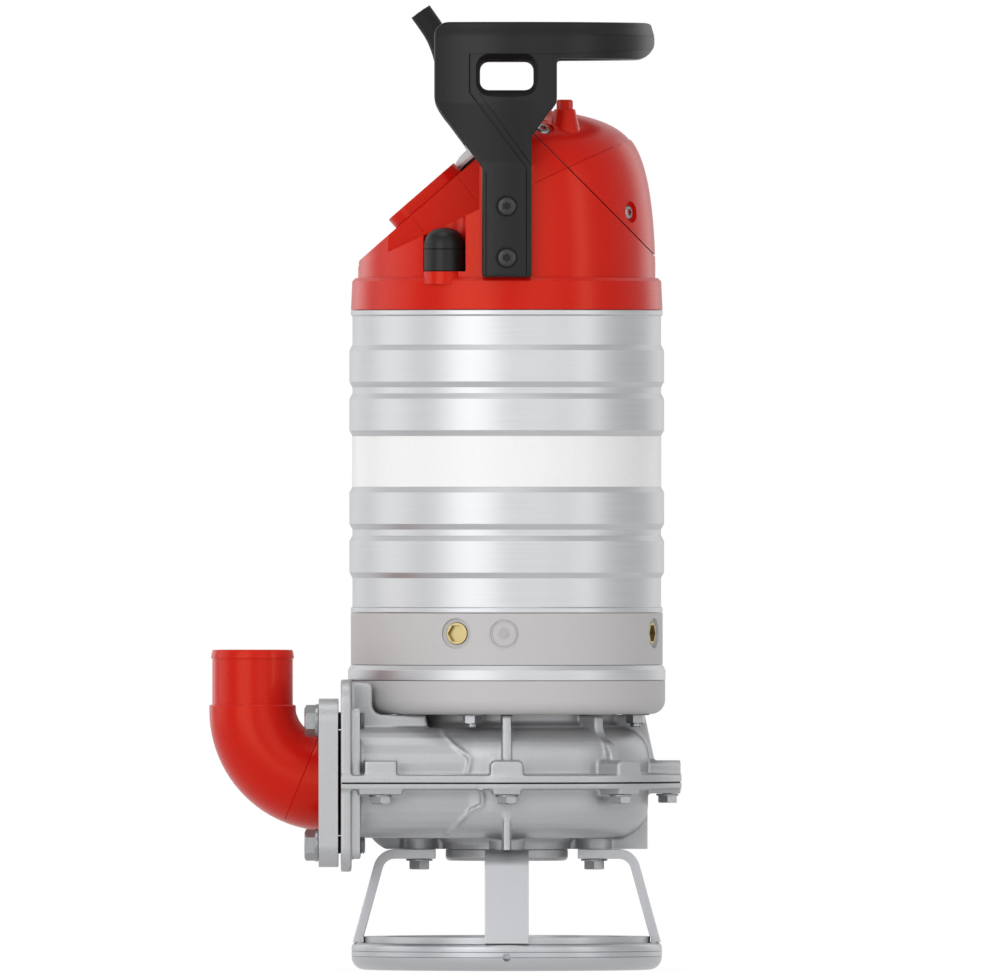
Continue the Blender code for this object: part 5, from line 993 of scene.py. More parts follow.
class PUMP_OT_foot(bpy.types.Operator):
    """Make the base ring and the four legs bent from flat bar"""
    bl_idname = "pump.foot"
    bl_label = "Foot and legs"

    def execute(self, context):
        edge = context.scene.slurry_pump.sizes.edge
        outline = (
            [(BASE_BORE_RADIUS, BASE_COLLAR_TOP), (COLLAR_RADIUS, BASE_COLLAR_TOP),
             (COLLAR_RADIUS, BASE_HEIGHT)]
            + arc((BASE_RADIUS - BASE_TOP_ROUND, BASE_HEIGHT - BASE_TOP_ROUND), BASE_TOP_ROUND,
                  90, 0)
            + [(BASE_RADIUS - inset, BASE_FOOT_ROUND + rise) for rise, inset in BASE_GROOVES]
            + arc((BASE_RADIUS - BASE_FOOT_ROUND, BASE_FOOT_ROUND), BASE_FOOT_ROUND, 0, -90)
            + [(BASE_BORE_RADIUS, 0)]
        )
        ring = turned(outline, 128)
        tang = COLLAR_RADIUS + 2 * SEAT_GAP
        half = Vector((LEG_TANG_THICKNESS / 2 + SEAT_GAP, LEG_WIDTH / 2 + SEAT_GAP,
                       LEG_TANG_DEPTH + SEAT_GAP))
        slots = [
            moved(block(-half, (half.x, half.y, OVERRUN)), turn(angle),
                  shift(x=tang + LEG_TANG_THICKNESS / 2, z=LEG_FOOT))
            for angle in LEG_DEGREES
        ]
        hole = moved(cylinder(BASE_HOLE_RADIUS, -BASE_HOLE_DEPTH, OVERRUN, 32),
                     outward(-90, BASE_RADIUS, BASE_HOLE_HEIGHT))
        ring = cut(ring, together(slots), hole)
        set_piece("base_ring_blasted", ring, blasted_steel(), ["base_ring"])
        lean = math.tan(math.radians(LEG_SLOPE_DEGREES))
        outer_bend = LEG_BEND_RADIUS + LEG_THICKNESS
        setback = outer_bend * math.tan(math.radians(90 - LEG_SLOPE_DEGREES) / 2)
        corner = LEG_FOOT_REACH - (LEG_TOP - LEG_FOOT) * lean
        centre = (corner - setback, LEG_TOP - outer_bend)
        inner_foot = LEG_FOOT_REACH - LEG_THICKNESS / math.cos(math.atan(lean))
        notch = BASE_COLLAR_TOP + SEAT_GAP
        outline = (
            [(LEG_INNER_REACH, LEG_TOP)]
            + arc(centre, outer_bend, 90, LEG_SLOPE_DEGREES)
            + [(LEG_FOOT_REACH, LEG_FOOT), (tang + LEG_TANG_THICKNESS, LEG_FOOT),
               (tang + LEG_TANG_THICKNESS, LEG_FOOT - LEG_TANG_DEPTH),
               (tang, LEG_FOOT - LEG_TANG_DEPTH), (tang, notch),
               (inner_foot - (notch - LEG_FOOT) * lean, notch)]
            + arc(centre, LEG_BEND_RADIUS, LEG_SLOPE_DEGREES, 90)
            + [(LEG_INNER_REACH, LEG_TOP - LEG_THICKNESS)]
        )
        leg = moved(plate([outline], LEG_WIDTH, edge), across())
        for side, angle in zip(LEG_SIDES, LEG_DEGREES):
            piece = moved(copy_of(leg), turn(angle))
            set_piece(f"bent_leg_{side}", piece, blasted_steel(), [f"leg_{side}"])
        bpy.data.objects.remove(leg)
        return {"FINISHED"}


# Volute

def volute_radius(degrees):
    """Outer wall radius of the volute, growing clockwise from the tongue."""
    swept = (VOLUTE_TONGUE_DEGREES - degrees) % 360
    growth = VOLUTE_END_RADIUS - VOLUTE_START_RADIUS
    if swept <= VOLUTE_SWEEP_DEGREES:
        return VOLUTE_START_RADIUS + growth * swept / VOLUTE_SWEEP_DEGREES
    return VOLUTE_START_RADIUS + growth * (360 - swept) / (360 - VOLUTE_SWEEP_DEGREES)


def spiralled(shape):
    """Draw a turned shape in to the volute's spiral."""
    for vertex in shape.data.vertices:
        angle = math.degrees(math.atan2(vertex.co.y, vertex.co.x))
        scale = volute_radius(angle) / VOLUTE_END_RADIUS
        vertex.co.x *= scale
        vertex.co.y *= scale
    return shape


def casing_bolt_places():
    """Bolt positions in plan: round the flange, then beside the neck."""
    places = [(CASING_BOLT_CIRCLE_RADIUS * math.cos(math.radians(angle)),
               CASING_BOLT_CIRCLE_RADIUS * math.sin(math.radians(angle)))
              for angle in CASING_BOLT_DEGREES]
    beside = -(NECK_OFFSET + NECK_HALF_WIDTH + PARTING_FLANGE_RADIUS - NECK_STRIP_INSET) / 2
    return places + [(-NECK_BOLT_X, beside)]


def discharge_plate(outlines, start, end, edge=0.0):
    """A plate drawn in (y, z) about the discharge axis, between two reaches."""
    return moved(plate(outlines, end - start, edge),
                 shift(x=-(start + end) / 2, y=-NECK_OFFSET, z=DISCHARGE_HEIGHT), facing())


def discharge_bolt_offsets():
    """Places of the four discharge bolts, as (y, z) about the discharge axis."""
    side = DISCHARGE_BOLT_SIDE
    return [(y, z) for y in (-side, side) for z in (-side, side)]


def discharge_body():
    """The neck, the pump flange and the strips behind it."""
    neck = rounded_box(-NECK_HALF_WIDTH, NECK_HALF_WIDTH, -NECK_HALF_HEIGHT, NECK_HALF_HEIGHT,
                       NECK_CORNER_RADIUS)
    flange = rounded_box(-FLANGE_HALF_WIDTH, FLANGE_HALF_WIDTH, -PUMP_FLANGE_BELOW,
                         PUMP_FLANGE_ABOVE, FLANGE_CORNER_RADIUS)
    half = BACKING_PAD_WIDTH / 2
    side = DISCHARGE_BOLT_SIDE
    pads = [
        discharge_plate([rounded_box(y - half, y + half, -side - half, side + half, half / 2, 3)],
                        BACKING_PAD_START, PUMP_FLANGE_BACK + OVERRUN)
        for y in (-side, side)
    ]
    return joined(discharge_plate([neck], 0, PUMP_FLANGE_BACK + OVERRUN),
                  discharge_plate([flange], PUMP_FLANGE_BACK, PUMP_FLANGE_REACH), together(pads))


def parting_plate(low, high, inset=0.0):
    """The parting flange: a disc, and the strip in front of the neck."""
    radius = PARTING_FLANGE_RADIUS - inset
    disc = cylinder(radius, low, high, 128)
    strip = plate([[
        (-PUMP_FLANGE_REACH + inset, -radius + NECK_STRIP_INSET), (0, -radius + NECK_STRIP_INSET),
        (0, -NECK_OFFSET), (-PUMP_FLANGE_REACH + inset, -NECK_OFFSET),
    ]], high - low)
    disc = joined(disc, moved(strip, shift(z=(low + high) / 2)))
    far = -PARTING_FLANGE_RADIUS - OVERRUN
    clear = block((far, far, low - OVERRUN),
                  (-PUMP_FLANGE_REACH + inset, SEAT_GAP, high + OVERRUN))
    return cut(disc, clear)


def chamber(low_side):
    """The space the impeller turns in, on one side of the parting plane."""
    reach = VOLUTE_END_RADIUS - VOLUTE_WALL
    if low_side:
        floor = VOLUTE_FLOOR + VOLUTE_WALL
        radius = VOLUTE_LOWER_ROUND - VOLUTE_WALL
        outline = ([(0, LOWER_CASING_TOP + OVERRUN), (reach, LOWER_CASING_TOP + OVERRUN)]
                   + arc((reach - radius, floor + radius), radius, 0, -90) + [(0, floor)])
    else:
        roof = VOLUTE_ROOF - VOLUTE_WALL
        radius = VOLUTE_UPPER_ROUND - VOLUTE_WALL
        outline = ([(0, roof)] + arc((reach - radius, roof - radius), radius, 90, 0)
                   + [(reach, UPPER_CASING_FOOT - OVERRUN), (0, UPPER_CASING_FOOT - OVERRUN)])
    return spiralled(turned(outline, 64))


def discharge_bore():
    """The bore through the neck, as a cutter."""
    return discharge_plate([circle(0, 0, DISCHARGE_BORE_RADIUS)], 0, PUMP_FLANGE_REACH + OVERRUN)


def discharge_hole_outlines():
    """Outlines of the four clearance holes for the discharge bolts."""
    return [circle(y, z, DISCHARGE_BOLT_HOLE_RADIUS, 24) for y, z in discharge_bolt_offsets()]


def discharge_bolt_holes():
    """The holes through the pump flange and its strips, as a cutter."""
    return discharge_plate(discharge_hole_outlines(), BACKING_PAD_START - OVERRUN,
                           PUMP_FLANGE_REACH + OVERRUN)


def casing_bolt_holes(low, high):
    """Clearance holes for the casing bolts between two heights."""
    return [cylinder(CASING_BOLT_HOLE_RADIUS, low, high, 24, x, y)
            for x, y in casing_bolt_places()]


def past_flange():
    """Everything beyond the pump flange's face, as a cutter."""
    return block((-FAR, -FAR, 0), (-PUMP_FLANGE_REACH, FAR, FAR))


def lug(width, low, high, chamfer_top, degrees):
    """A bolt lug running out from the volute wall to the flange edge."""
    half, chamfer = width / 2, LUG_CHAMFER
    inner = volute_radius(degrees) - LUG_ROOT
    outer = PARTING_FLANGE_RADIUS - 0.001
    outline = [(-half, low), (half, low), (half, high), (-half, high)]
    if chamfer_top:
        outline = [(-half, low), (half, low), (half, high - chamfer), (half - chamfer, high),
                   (-half + chamfer, high), (-half, high - chamfer)]
    return moved(plate([outline], outer - inner), turn(degrees), shift(x=(inner + outer) / 2),
                 facing())


def neck_lug(low, high, half):
    """The lug beside the neck, for the bolt on the flange strip."""
    edge = -PARTING_FLANGE_RADIUS + NECK_STRIP_INSET + 0.001
    return block((-NECK_BOLT_X - half, edge, low), (-NECK_BOLT_X + half, -NECK_OFFSET, high))


def lower_casting():
    """Lower half of the volute as cast, before machining."""
    top, foot = LOWER_CASING_TOP + OVERRUN, CASING_FOOT - OVERRUN
    outline = ([(0, top), (VOLUTE_END_RADIUS, top)]
               + arc((VOLUTE_END_RADIUS - VOLUTE_LOWER_ROUND, VOLUTE_FLOOR + VOLUTE_LOWER_ROUND),
                     VOLUTE_LOWER_ROUND, 0, -90)
               + [(0, VOLUTE_FLOOR)])
    hub = turned([
        (0, VOLUTE_FLOOR + OVERRUN), (HUB_RADIUS + HUB_FLARE, VOLUTE_FLOOR + OVERRUN),
        (HUB_RADIUS + HUB_FLARE, VOLUTE_FLOOR), (HUB_RADIUS, VOLUTE_FLOOR - HUB_FLARE),
        (HUB_RADIUS, foot), (0, foot)], 64)
    bosses = [moved(cylinder(LEG_BOSS_RADIUS, foot, VOLUTE_FLOOR + OVERRUN), turn(angle),
                    shift(x=LEG_BOLT_CIRCLE_RADIUS)) for angle in LEG_DEGREES]
    webs = []
    for angle in LEG_DEGREES:
        reach = volute_radius(angle) - 0.0005
        root = LEG_INNER_REACH - LEG_BOSS_RADIUS
        web_top = VOLUTE_FLOOR + VOLUTE_LOWER_ROUND
        rim = [(reach, foot)]
        if angle == 180:
            rim = bend((0.1242, VOLUTE_FLOOR), (0.1130, foot), (0.0912, foot))
        web = [(root, web_top), (reach, web_top)] + rim + [(root, foot)]
        webs.append(moved(plate([web], WEB_THICKNESS), across(angle)))
    lug_low = LOWER_CASING_TOP - LOWER_LUG_HEIGHT
    lugs = [lug(LOWER_LUG_WIDTH, lug_low, top, False, angle) for angle in CASING_BOLT_DEGREES]
    lugs.append(neck_lug(lug_low, top, LOWER_NECK_LUG_HALF_WIDTH))
    return joined(spiralled(turned(outline, 96)), hub, together(bosses), together(webs),
                  discharge_body(), parting_plate(LOWER_CASING_TOP - LOWER_FLANGE_THICKNESS, top),
                  together(lugs))


def upper_casting():
    """Upper half of the volute as cast, before machining."""
    foot, top = UPPER_CASING_FOOT - OVERRUN, UPPER_CASING_TOP
    outline = ([(0, VOLUTE_ROOF)]
               + arc((VOLUTE_END_RADIUS - VOLUTE_UPPER_ROUND, VOLUTE_ROOF - VOLUTE_UPPER_ROUND),
                     VOLUTE_UPPER_ROUND, 90, 0)
               + [(VOLUTE_END_RADIUS, foot), (0, foot)])
    flare = CASING_NECK_RADIUS + CASING_NECK_FLARE
    straight = top - CASING_NECK_STRAIGHT
    neck = turned(
        [(0, top + OVERRUN), (CASING_NECK_RADIUS, top + OVERRUN)]
        + bend((CASING_NECK_RADIUS, straight), (CASING_NECK_RADIUS, straight - CASING_NECK_FLARE),
               (flare, straight - CASING_NECK_FLARE))
        + [(flare, VOLUTE_ROOF - VOLUTE_WALL), (0, VOLUTE_ROOF - VOLUTE_WALL)], 96)
    lug_top = UPPER_CASING_FOOT + UPPER_LUG_HEIGHT
    lugs = [lug(UPPER_LUG_WIDTH, foot, lug_top, True, angle) for angle in CASING_BOLT_DEGREES]
    lugs.append(neck_lug(foot, lug_top, UPPER_LUG_WIDTH / 2))
    gussets = [gusset(angle) for angle in (-90, -45, 0, 45, 90, 135, 180)]
    return joined(spiralled(turned(outline, 96)), neck, together(gussets), discharge_body(),
                  neck_gusset(), parting_plate(foot, UPPER_CASING_FOOT + UPPER_FLANGE_THICKNESS),
                  together(lugs))


def gusset(degrees):
    """A rib from the casing neck down to a lug: straight in front, elsewhere over the volute."""
    top = UPPER_CASING_TOP - 0.0004
    foot = UPPER_CASING_FOOT + UPPER_FLANGE_THICKNESS / 2
    lug_top = UPPER_CASING_FOOT + UPPER_LUG_HEIGHT - 0.001
    inner = CASING_NECK_RADIUS - CASING_NECK_FLARE * 2
    wall = volute_radius(degrees)
    thickness = GUSSET_THICKNESS
    if degrees % 90 == 0:
        outer = [(wall - 0.003, top), (wall + 0.006, lug_top), (wall + 0.006, foot)]
    else:
        thickness *= 1.35
        head = CASING_NECK_RADIUS + 0.022
        hip = VOLUTE_ROOF - 0.012
        rim = wall + 0.009
        outer = ([(head - 0.002, top), (head, top - 0.002)]
                 + bend((head, top - 0.008), (head, hip + 0.004), (wall + 0.001, hip))
                 + bend((wall + 0.001, hip), (rim, hip - 0.006), (rim, lug_top))[1:]
                 + [(rim, foot)])
    return moved(plate([[(inner, foot), (inner, top)] + outer], thickness), across(degrees))


def neck_gusset():
    """The web that stiffens the upper part of the pump flange, standing on the neck."""
    top = DISCHARGE_HEIGHT + PUMP_FLANGE_ABOVE
    reach = PUMP_FLANGE_REACH - PUMP_FLANGE_THICKNESS / 2
    shelf = UPPER_CASING_TOP
    step = PUMP_FLANGE_REACH - 3 * PUMP_FLANGE_THICKNESS
    foot = VOLUTE_ROOF - VOLUTE_WALL
    outline = (
        [(-reach, foot), (-reach, top - LUG_CHAMFER / 2), (-step - LUG_CHAMFER, top - LUG_CHAMFER),
         (-step, top - 2 * LUG_CHAMFER)]
        + bend((-step, shelf + LUG_ROOT / 2), (-step, shelf), (-step + LUG_ROOT / 2, shelf))
        + [(-VOLUTE_START_RADIUS * 0.62, shelf), (-VOLUTE_START_RADIUS * 0.58, foot)]
    )
    return moved(plate([outline], NECK_GUSSET_THICKNESS), shift(y=-NECK_GUSSET_OFFSET), across())


class PUMP_OT_volute(bpy.types.Operator):
    """Cast and machine the two halves of the volute, with their gasket and the suction cover"""
    bl_idname = "pump.volute"
    bl_label = "Volute"

    def execute(self, context):
        sizes = context.scene.slurry_pump.sizes
        lower, upper = lower_casting(), upper_casting()
        lower_seam = line_on(lower, raised(LOWER_NECK_SEAM, DISCHARGE_HEIGHT), SEAM_RADIUS)
        upper_seam = line_on(upper, raised(UPPER_NECK_SEAM, DISCHARGE_HEIGHT), SEAM_RADIUS)
        lower = cast(together([lower, lower_seam]), CAST_GRAIN, 5)
        upper = cast(together([upper, upper_seam]), CAST_GRAIN, 5)
        lug_low = LOWER_CASING_TOP - LOWER_LUG_HEIGHT
        holes = casing_bolt_holes(lug_low - 2 * OVERRUN, LOWER_CASING_TOP + 2 * OVERRUN)
        holes += [moved(cylinder(LEG_BOLT_HOLE_RADIUS, CASING_FOOT - 2 * OVERRUN,
                                 CASING_FOOT + LEG_BOLT_HOLE_DEPTH, 24),
                        turn(angle), shift(x=LEG_BOLT_CIRCLE_RADIUS)) for angle in LEG_DEGREES]
        inlet = cylinder(CASING_INLET_RADIUS, 0, VOLUTE_FLOOR + VOLUTE_WALL + OVERRUN, 64)
        # The pump flange and its strips reach below the casing's foot, and stay whole
        lower = cut(lower, slab(LOWER_CASING_TOP, FAR),
                    block((-BACKING_PAD_START, -FAR, -FAR), (FAR, FAR, CASING_FOOT)),
                    past_flange(), chamber(True), discharge_bore(), inlet, together(holes),
                    discharge_bolt_holes())
        set_piece("volute_lower_half", lower, coated_iron(), ["lower_casing"])
        holes = casing_bolt_holes(UPPER_CASING_FOOT - 2 * OVERRUN,
                                  lug_low + CASING_BOLT_LENGTH + SEAT_GAP)
        opening = cylinder(SHAFT_OPENING_RADIUS, VOLUTE_ROOF - VOLUTE_WALL - OVERRUN, FAR, 64)
        relief = cylinder(SEAL_HOUSING_RADIUS + RUNNING_GAP, UPPER_CASING_TOP + SEAT_GAP / 2, FAR,
                          96)
        upper = cut(upper, slab(-FAR, UPPER_CASING_FOOT), past_flange(), chamber(False),
                    discharge_bore(), opening, relief, together(holes), discharge_bolt_holes())
        set_piece("volute_upper_half", upper, coated_iron(), ["upper_casing"])
        low, high = LOWER_CASING_TOP + SEAT_GAP, UPPER_CASING_FOOT - SEAT_GAP
        holes = casing_bolt_holes(low - OVERRUN, high + OVERRUN)
        gasket = cut(parting_plate(low, high, 0.001), moved(chamber(True), shift(z=OVERRUN / 4)),
                     discharge_bore(), together(holes))
        set_piece("parting_gasket", gasket, black_rubber(), ["casing_gasket"])
        top = CASING_FOOT - SEAT_GAP
        foot = foot_of("suction_cover")
        outline = ([(SUCTION_BORE_RADIUS, top), (SUCTION_COVER_RADIUS, top)]
                   + arc((SUCTION_COVER_RADIUS - SUCTION_COVER_ROUND, foot + SUCTION_COVER_ROUND),
                         SUCTION_COVER_ROUND, 0, -90)
                   + [(SUCTION_BORE_RADIUS, foot)])
        set_piece("suction_ring", turned(outline, 96, sizes.edge), coated_iron(),
                  ["suction_cover"])
        return {"FINISHED"}


# Screws

def hex_bolt(flats, head, washer_radius, washer, radius, reach, pitch):
    """Bolt and washer, bearing face at zero, head below it, threaded shank up."""
    corner = flats / math.sqrt(3)
    low = -washer - head
    prism = moved(plate([hexagon(flats, 30)], head), shift(z=low + head / 2))
    rise = (corner - flats / 2) * 0.75
    turned_blank = turned([(0, low), (flats * 0.47, low), (corner, low + rise),
                           (corner, OVERRUN), (0, OVERRUN)], 48)
    body = common(prism, turned_blank)
    bevel = 0.0004
    inner = washer_radius - bevel
    plain = turned([(0, -washer), (inner, -washer), (washer_radius, bevel - washer),
                    (washer_radius, -bevel), (inner, 0), (0, 0)], 48)
    outline = [(0, 0)]
    threads = max(2, int(reach / pitch))
    for number in range(threads):
        z = reach * number / threads
        outline += [(radius - pitch * 0.45, z), (radius, z + reach / threads / 2)]
    outline += [(radius - pitch * 0.6, reach), (0, reach)]
    return together([body, plain, turned(outline, 24)])


class PUMP_OT_bolts(bpy.types.Operator):
    """Fit the leg bolts, the casing bolts and the discharge bolts with their washers"""
    bl_idname = "pump.bolts"
    bl_label = "Bolts"

    def execute(self, context):
        zinc = zinc_plate()
        leg_bolt = hex_bolt(flats=0.018, head=0.0078, washer_radius=0.0122, washer=0.0018,
                            radius=0.006, reach=0.022, pitch=0.00175)
        for side, angle in zip(LEG_SIDES, LEG_DEGREES):
            place = turn(angle) @ shift(x=LEG_BOLT_CIRCLE_RADIUS,
                                        z=LEG_TOP - LEG_THICKNESS - SEAT_GAP)
            set_piece(f"leg_screw_{side}", moved(copy_of(leg_bolt), place), zinc,
                      [f"leg_bolt_{side}"])
        casing_bolt = hex_bolt(flats=0.017, head=0.0064, washer_radius=0.0103, washer=0.0019,
                               radius=0.005, reach=CASING_BOLT_LENGTH, pitch=0.0015)
        under = LOWER_CASING_TOP - LOWER_LUG_HEIGHT - SEAT_GAP
        for number, (x, y) in enumerate(casing_bolt_places()):
            bolt = moved(copy_of(casing_bolt), shift(x, y, under))
            set_piece(f"casing_screw_{number + 1}", bolt, zinc,
                      [f"casing_bolt_{number + 1}"])
        reach = LOOSE_FLANGE_END + SEAT_GAP - BACKING_PAD_START + DISCHARGE_BOLT_STANDOUT
        for number, (y, z) in enumerate(discharge_bolt_offsets()):
            shank = reach - (DISCHARGE_BOLT_RELIEF if number == 3 else 0)
            bolt = hex_bolt(flats=0.0246, head=0.0097, washer_radius=0.015, washer=0.003,
                            radius=0.008, reach=shank, pitch=0.002)
            place = shift(-LOOSE_FLANGE_END - SEAT_GAP, -NECK_OFFSET + y, DISCHARGE_HEIGHT + z)
            set_piece(f"discharge_screw_{number + 1}", moved(bolt, place, turn(90, "Y"), turn(30)),
                      zinc, [f"discharge_bolt_{number + 1}"])
        for blank in (leg_bolt, casing_bolt):
            bpy.data.objects.remove(blank)
        return {"FINISHED"}


# Discharge

def elbow_stations(start_radius, end_radius, pieces):
    """Ring stations round the elbow's bend: place, heading and pipe radius."""
    centre_x = -ELBOW_START - ELBOW_STUB
    centre_z = DISCHARGE_HEIGHT + ELBOW_BEND_RISE
    stations = []
    for step in range(pieces + 1):
        part = step / pieces
        angle = math.radians(-90 - 90 * part)
        reach = ELBOW_BEND_RISE + (ELBOW_BEND_REACH - ELBOW_BEND_RISE) * part
        place = (centre_x + reach * math.cos(angle), centre_z + reach * math.sin(angle))
        stations.append((place, math.pi - math.pi / 2 * part,
                         start_radius + (end_radius - start_radius) * part))
    return stations


def scored_stations(stations, number, half_width=0.0006):
    """Put a fine groove round a pipe at one of its ring stations."""
    (x, z), heading, radius = stations[number]
    groove = [
        ((x + along * math.cos(heading), z + along * math.sin(heading)), heading, radius - depth)
        for along, depth in ((-half_width, 0), (0, half_width), (half_width, 0))
    ]
    return stations[:number] + groove + stations[number + 1:]


def ringed(stations, sides=64):
    """A closed skin through rings given by (x, z) place, heading and radius."""
    solid = bmesh.new()
    rings = []
    for (x, z), heading, radius in stations:
        across_ring = Vector((-math.sin(heading), 0, math.cos(heading)))
        ring = []
        for side in range(sides):
            angle = 2 * math.pi * side / sides
            offset = across_ring * math.cos(angle) + Vector((0, math.sin(angle), 0))
            ring.append(solid.verts.new(Vector((x, -NECK_OFFSET, z)) + radius * offset))
        rings.append(ring)
    for ring, following in zip(rings, rings[1:] + rings[:1]):
        for side in range(sides):
            after = (side + 1) % sides
            solid.faces.new((ring[side], ring[after], following[after], following[side]))
    bmesh.ops.recalc_face_normals(solid, faces=solid.faces)
    return shape_from(solid)


class PUMP_OT_discharge(bpy.types.Operator):
    """Make the discharge gasket, the loose flange and the elbow with its hose tail"""
    bl_idname = "pump.discharge"
    bl_label = "Discharge"

    def execute(self, context):
        sizes = context.scene.slurry_pump.sizes
        gasket = discharge_plate(
            [circle(0, 0, GASKET_RADIUS), circle(0, 0, DISCHARGE_BORE_RADIUS + SEAT_GAP)],
            GASKET_START, ELBOW_START - SEAT_GAP)
        set_piece("flange_gasket", gasket, black_rubber(), ["discharge_gasket"])
        half = FLANGE_HALF_WIDTH
        outlines = [rounded_box(-half, half, -half, half, FLANGE_CORNER_RADIUS),
                    circle(0, 0, ELBOW_PIPE_RADIUS + SEAT_GAP, 64)]
        flange = discharge_plate(outlines + discharge_hole_outlines(), ELBOW_START,
                                 LOOSE_FLANGE_END)
        recess = discharge_plate([circle(0, 0, ELBOW_COLLAR_RADIUS + SEAT_GAP, 64)],
                                 ELBOW_START - OVERRUN,
                                 ELBOW_START + ELBOW_COLLAR_THICKNESS + SEAT_GAP)
        flange = rounded_edges(cut(flange, recess), sizes.cast_edge / 2)
        set_piece("loose_flange", flange, coated_iron(), ["discharge_flange"])
        level, upright = math.pi, math.pi / 2
        stub_end = -ELBOW_START - ELBOW_COLLAR_THICKNESS
        tail_foot = DISCHARGE_HEIGHT + ELBOW_BEND_RISE
        tail_top = tail_foot + HOSE_TAIL_LENGTH
        tail_x = -HOSE_TAIL_AXIS
        step_z = tail_foot + HOSE_TAIL_STEP
        bead_z = tail_top - HOSE_TAIL_BEAD
        outside = [
            ((-ELBOW_START, DISCHARGE_HEIGHT), level, ELBOW_COLLAR_RADIUS),
            ((stub_end, DISCHARGE_HEIGHT), level, ELBOW_COLLAR_RADIUS),
            ((stub_end, DISCHARGE_HEIGHT), level, ELBOW_PIPE_RADIUS),
        ] + scored_stations(elbow_stations(ELBOW_PIPE_RADIUS, ELBOW_END_RADIUS, 24), 6)
        for z, radius in (
            (step_z - 0.0008, ELBOW_END_RADIUS), (step_z, ELBOW_END_RADIUS - 0.0008),
            (step_z + 0.0002, HOSE_TAIL_RADIUS), (bead_z, HOSE_TAIL_RADIUS),
            (bead_z + 0.0006, HOSE_TAIL_BEAD_RADIUS), (bead_z + 0.0024, HOSE_TAIL_BEAD_RADIUS),
            (tail_top - 0.0008, HOSE_TAIL_RADIUS), (tail_top, HOSE_TAIL_RADIUS - 0.0008),
        ):
            outside.append(((tail_x, z), upright, radius))
        inside = [((-ELBOW_START, DISCHARGE_HEIGHT), level, ELBOW_PIPE_RADIUS - ELBOW_WALL)]
        inside += elbow_stations(ELBOW_PIPE_RADIUS - ELBOW_WALL, HOSE_TAIL_RADIUS - ELBOW_WALL, 16)
        inside += [((tail_x, tail_top), upright, HOSE_TAIL_RADIUS - ELBOW_WALL)]
        set_piece("hose_elbow", ringed(outside + inside[::-1]), red_enamel(),
                  ["discharge_elbow"])
        return {"FINISHED"}


# Housings

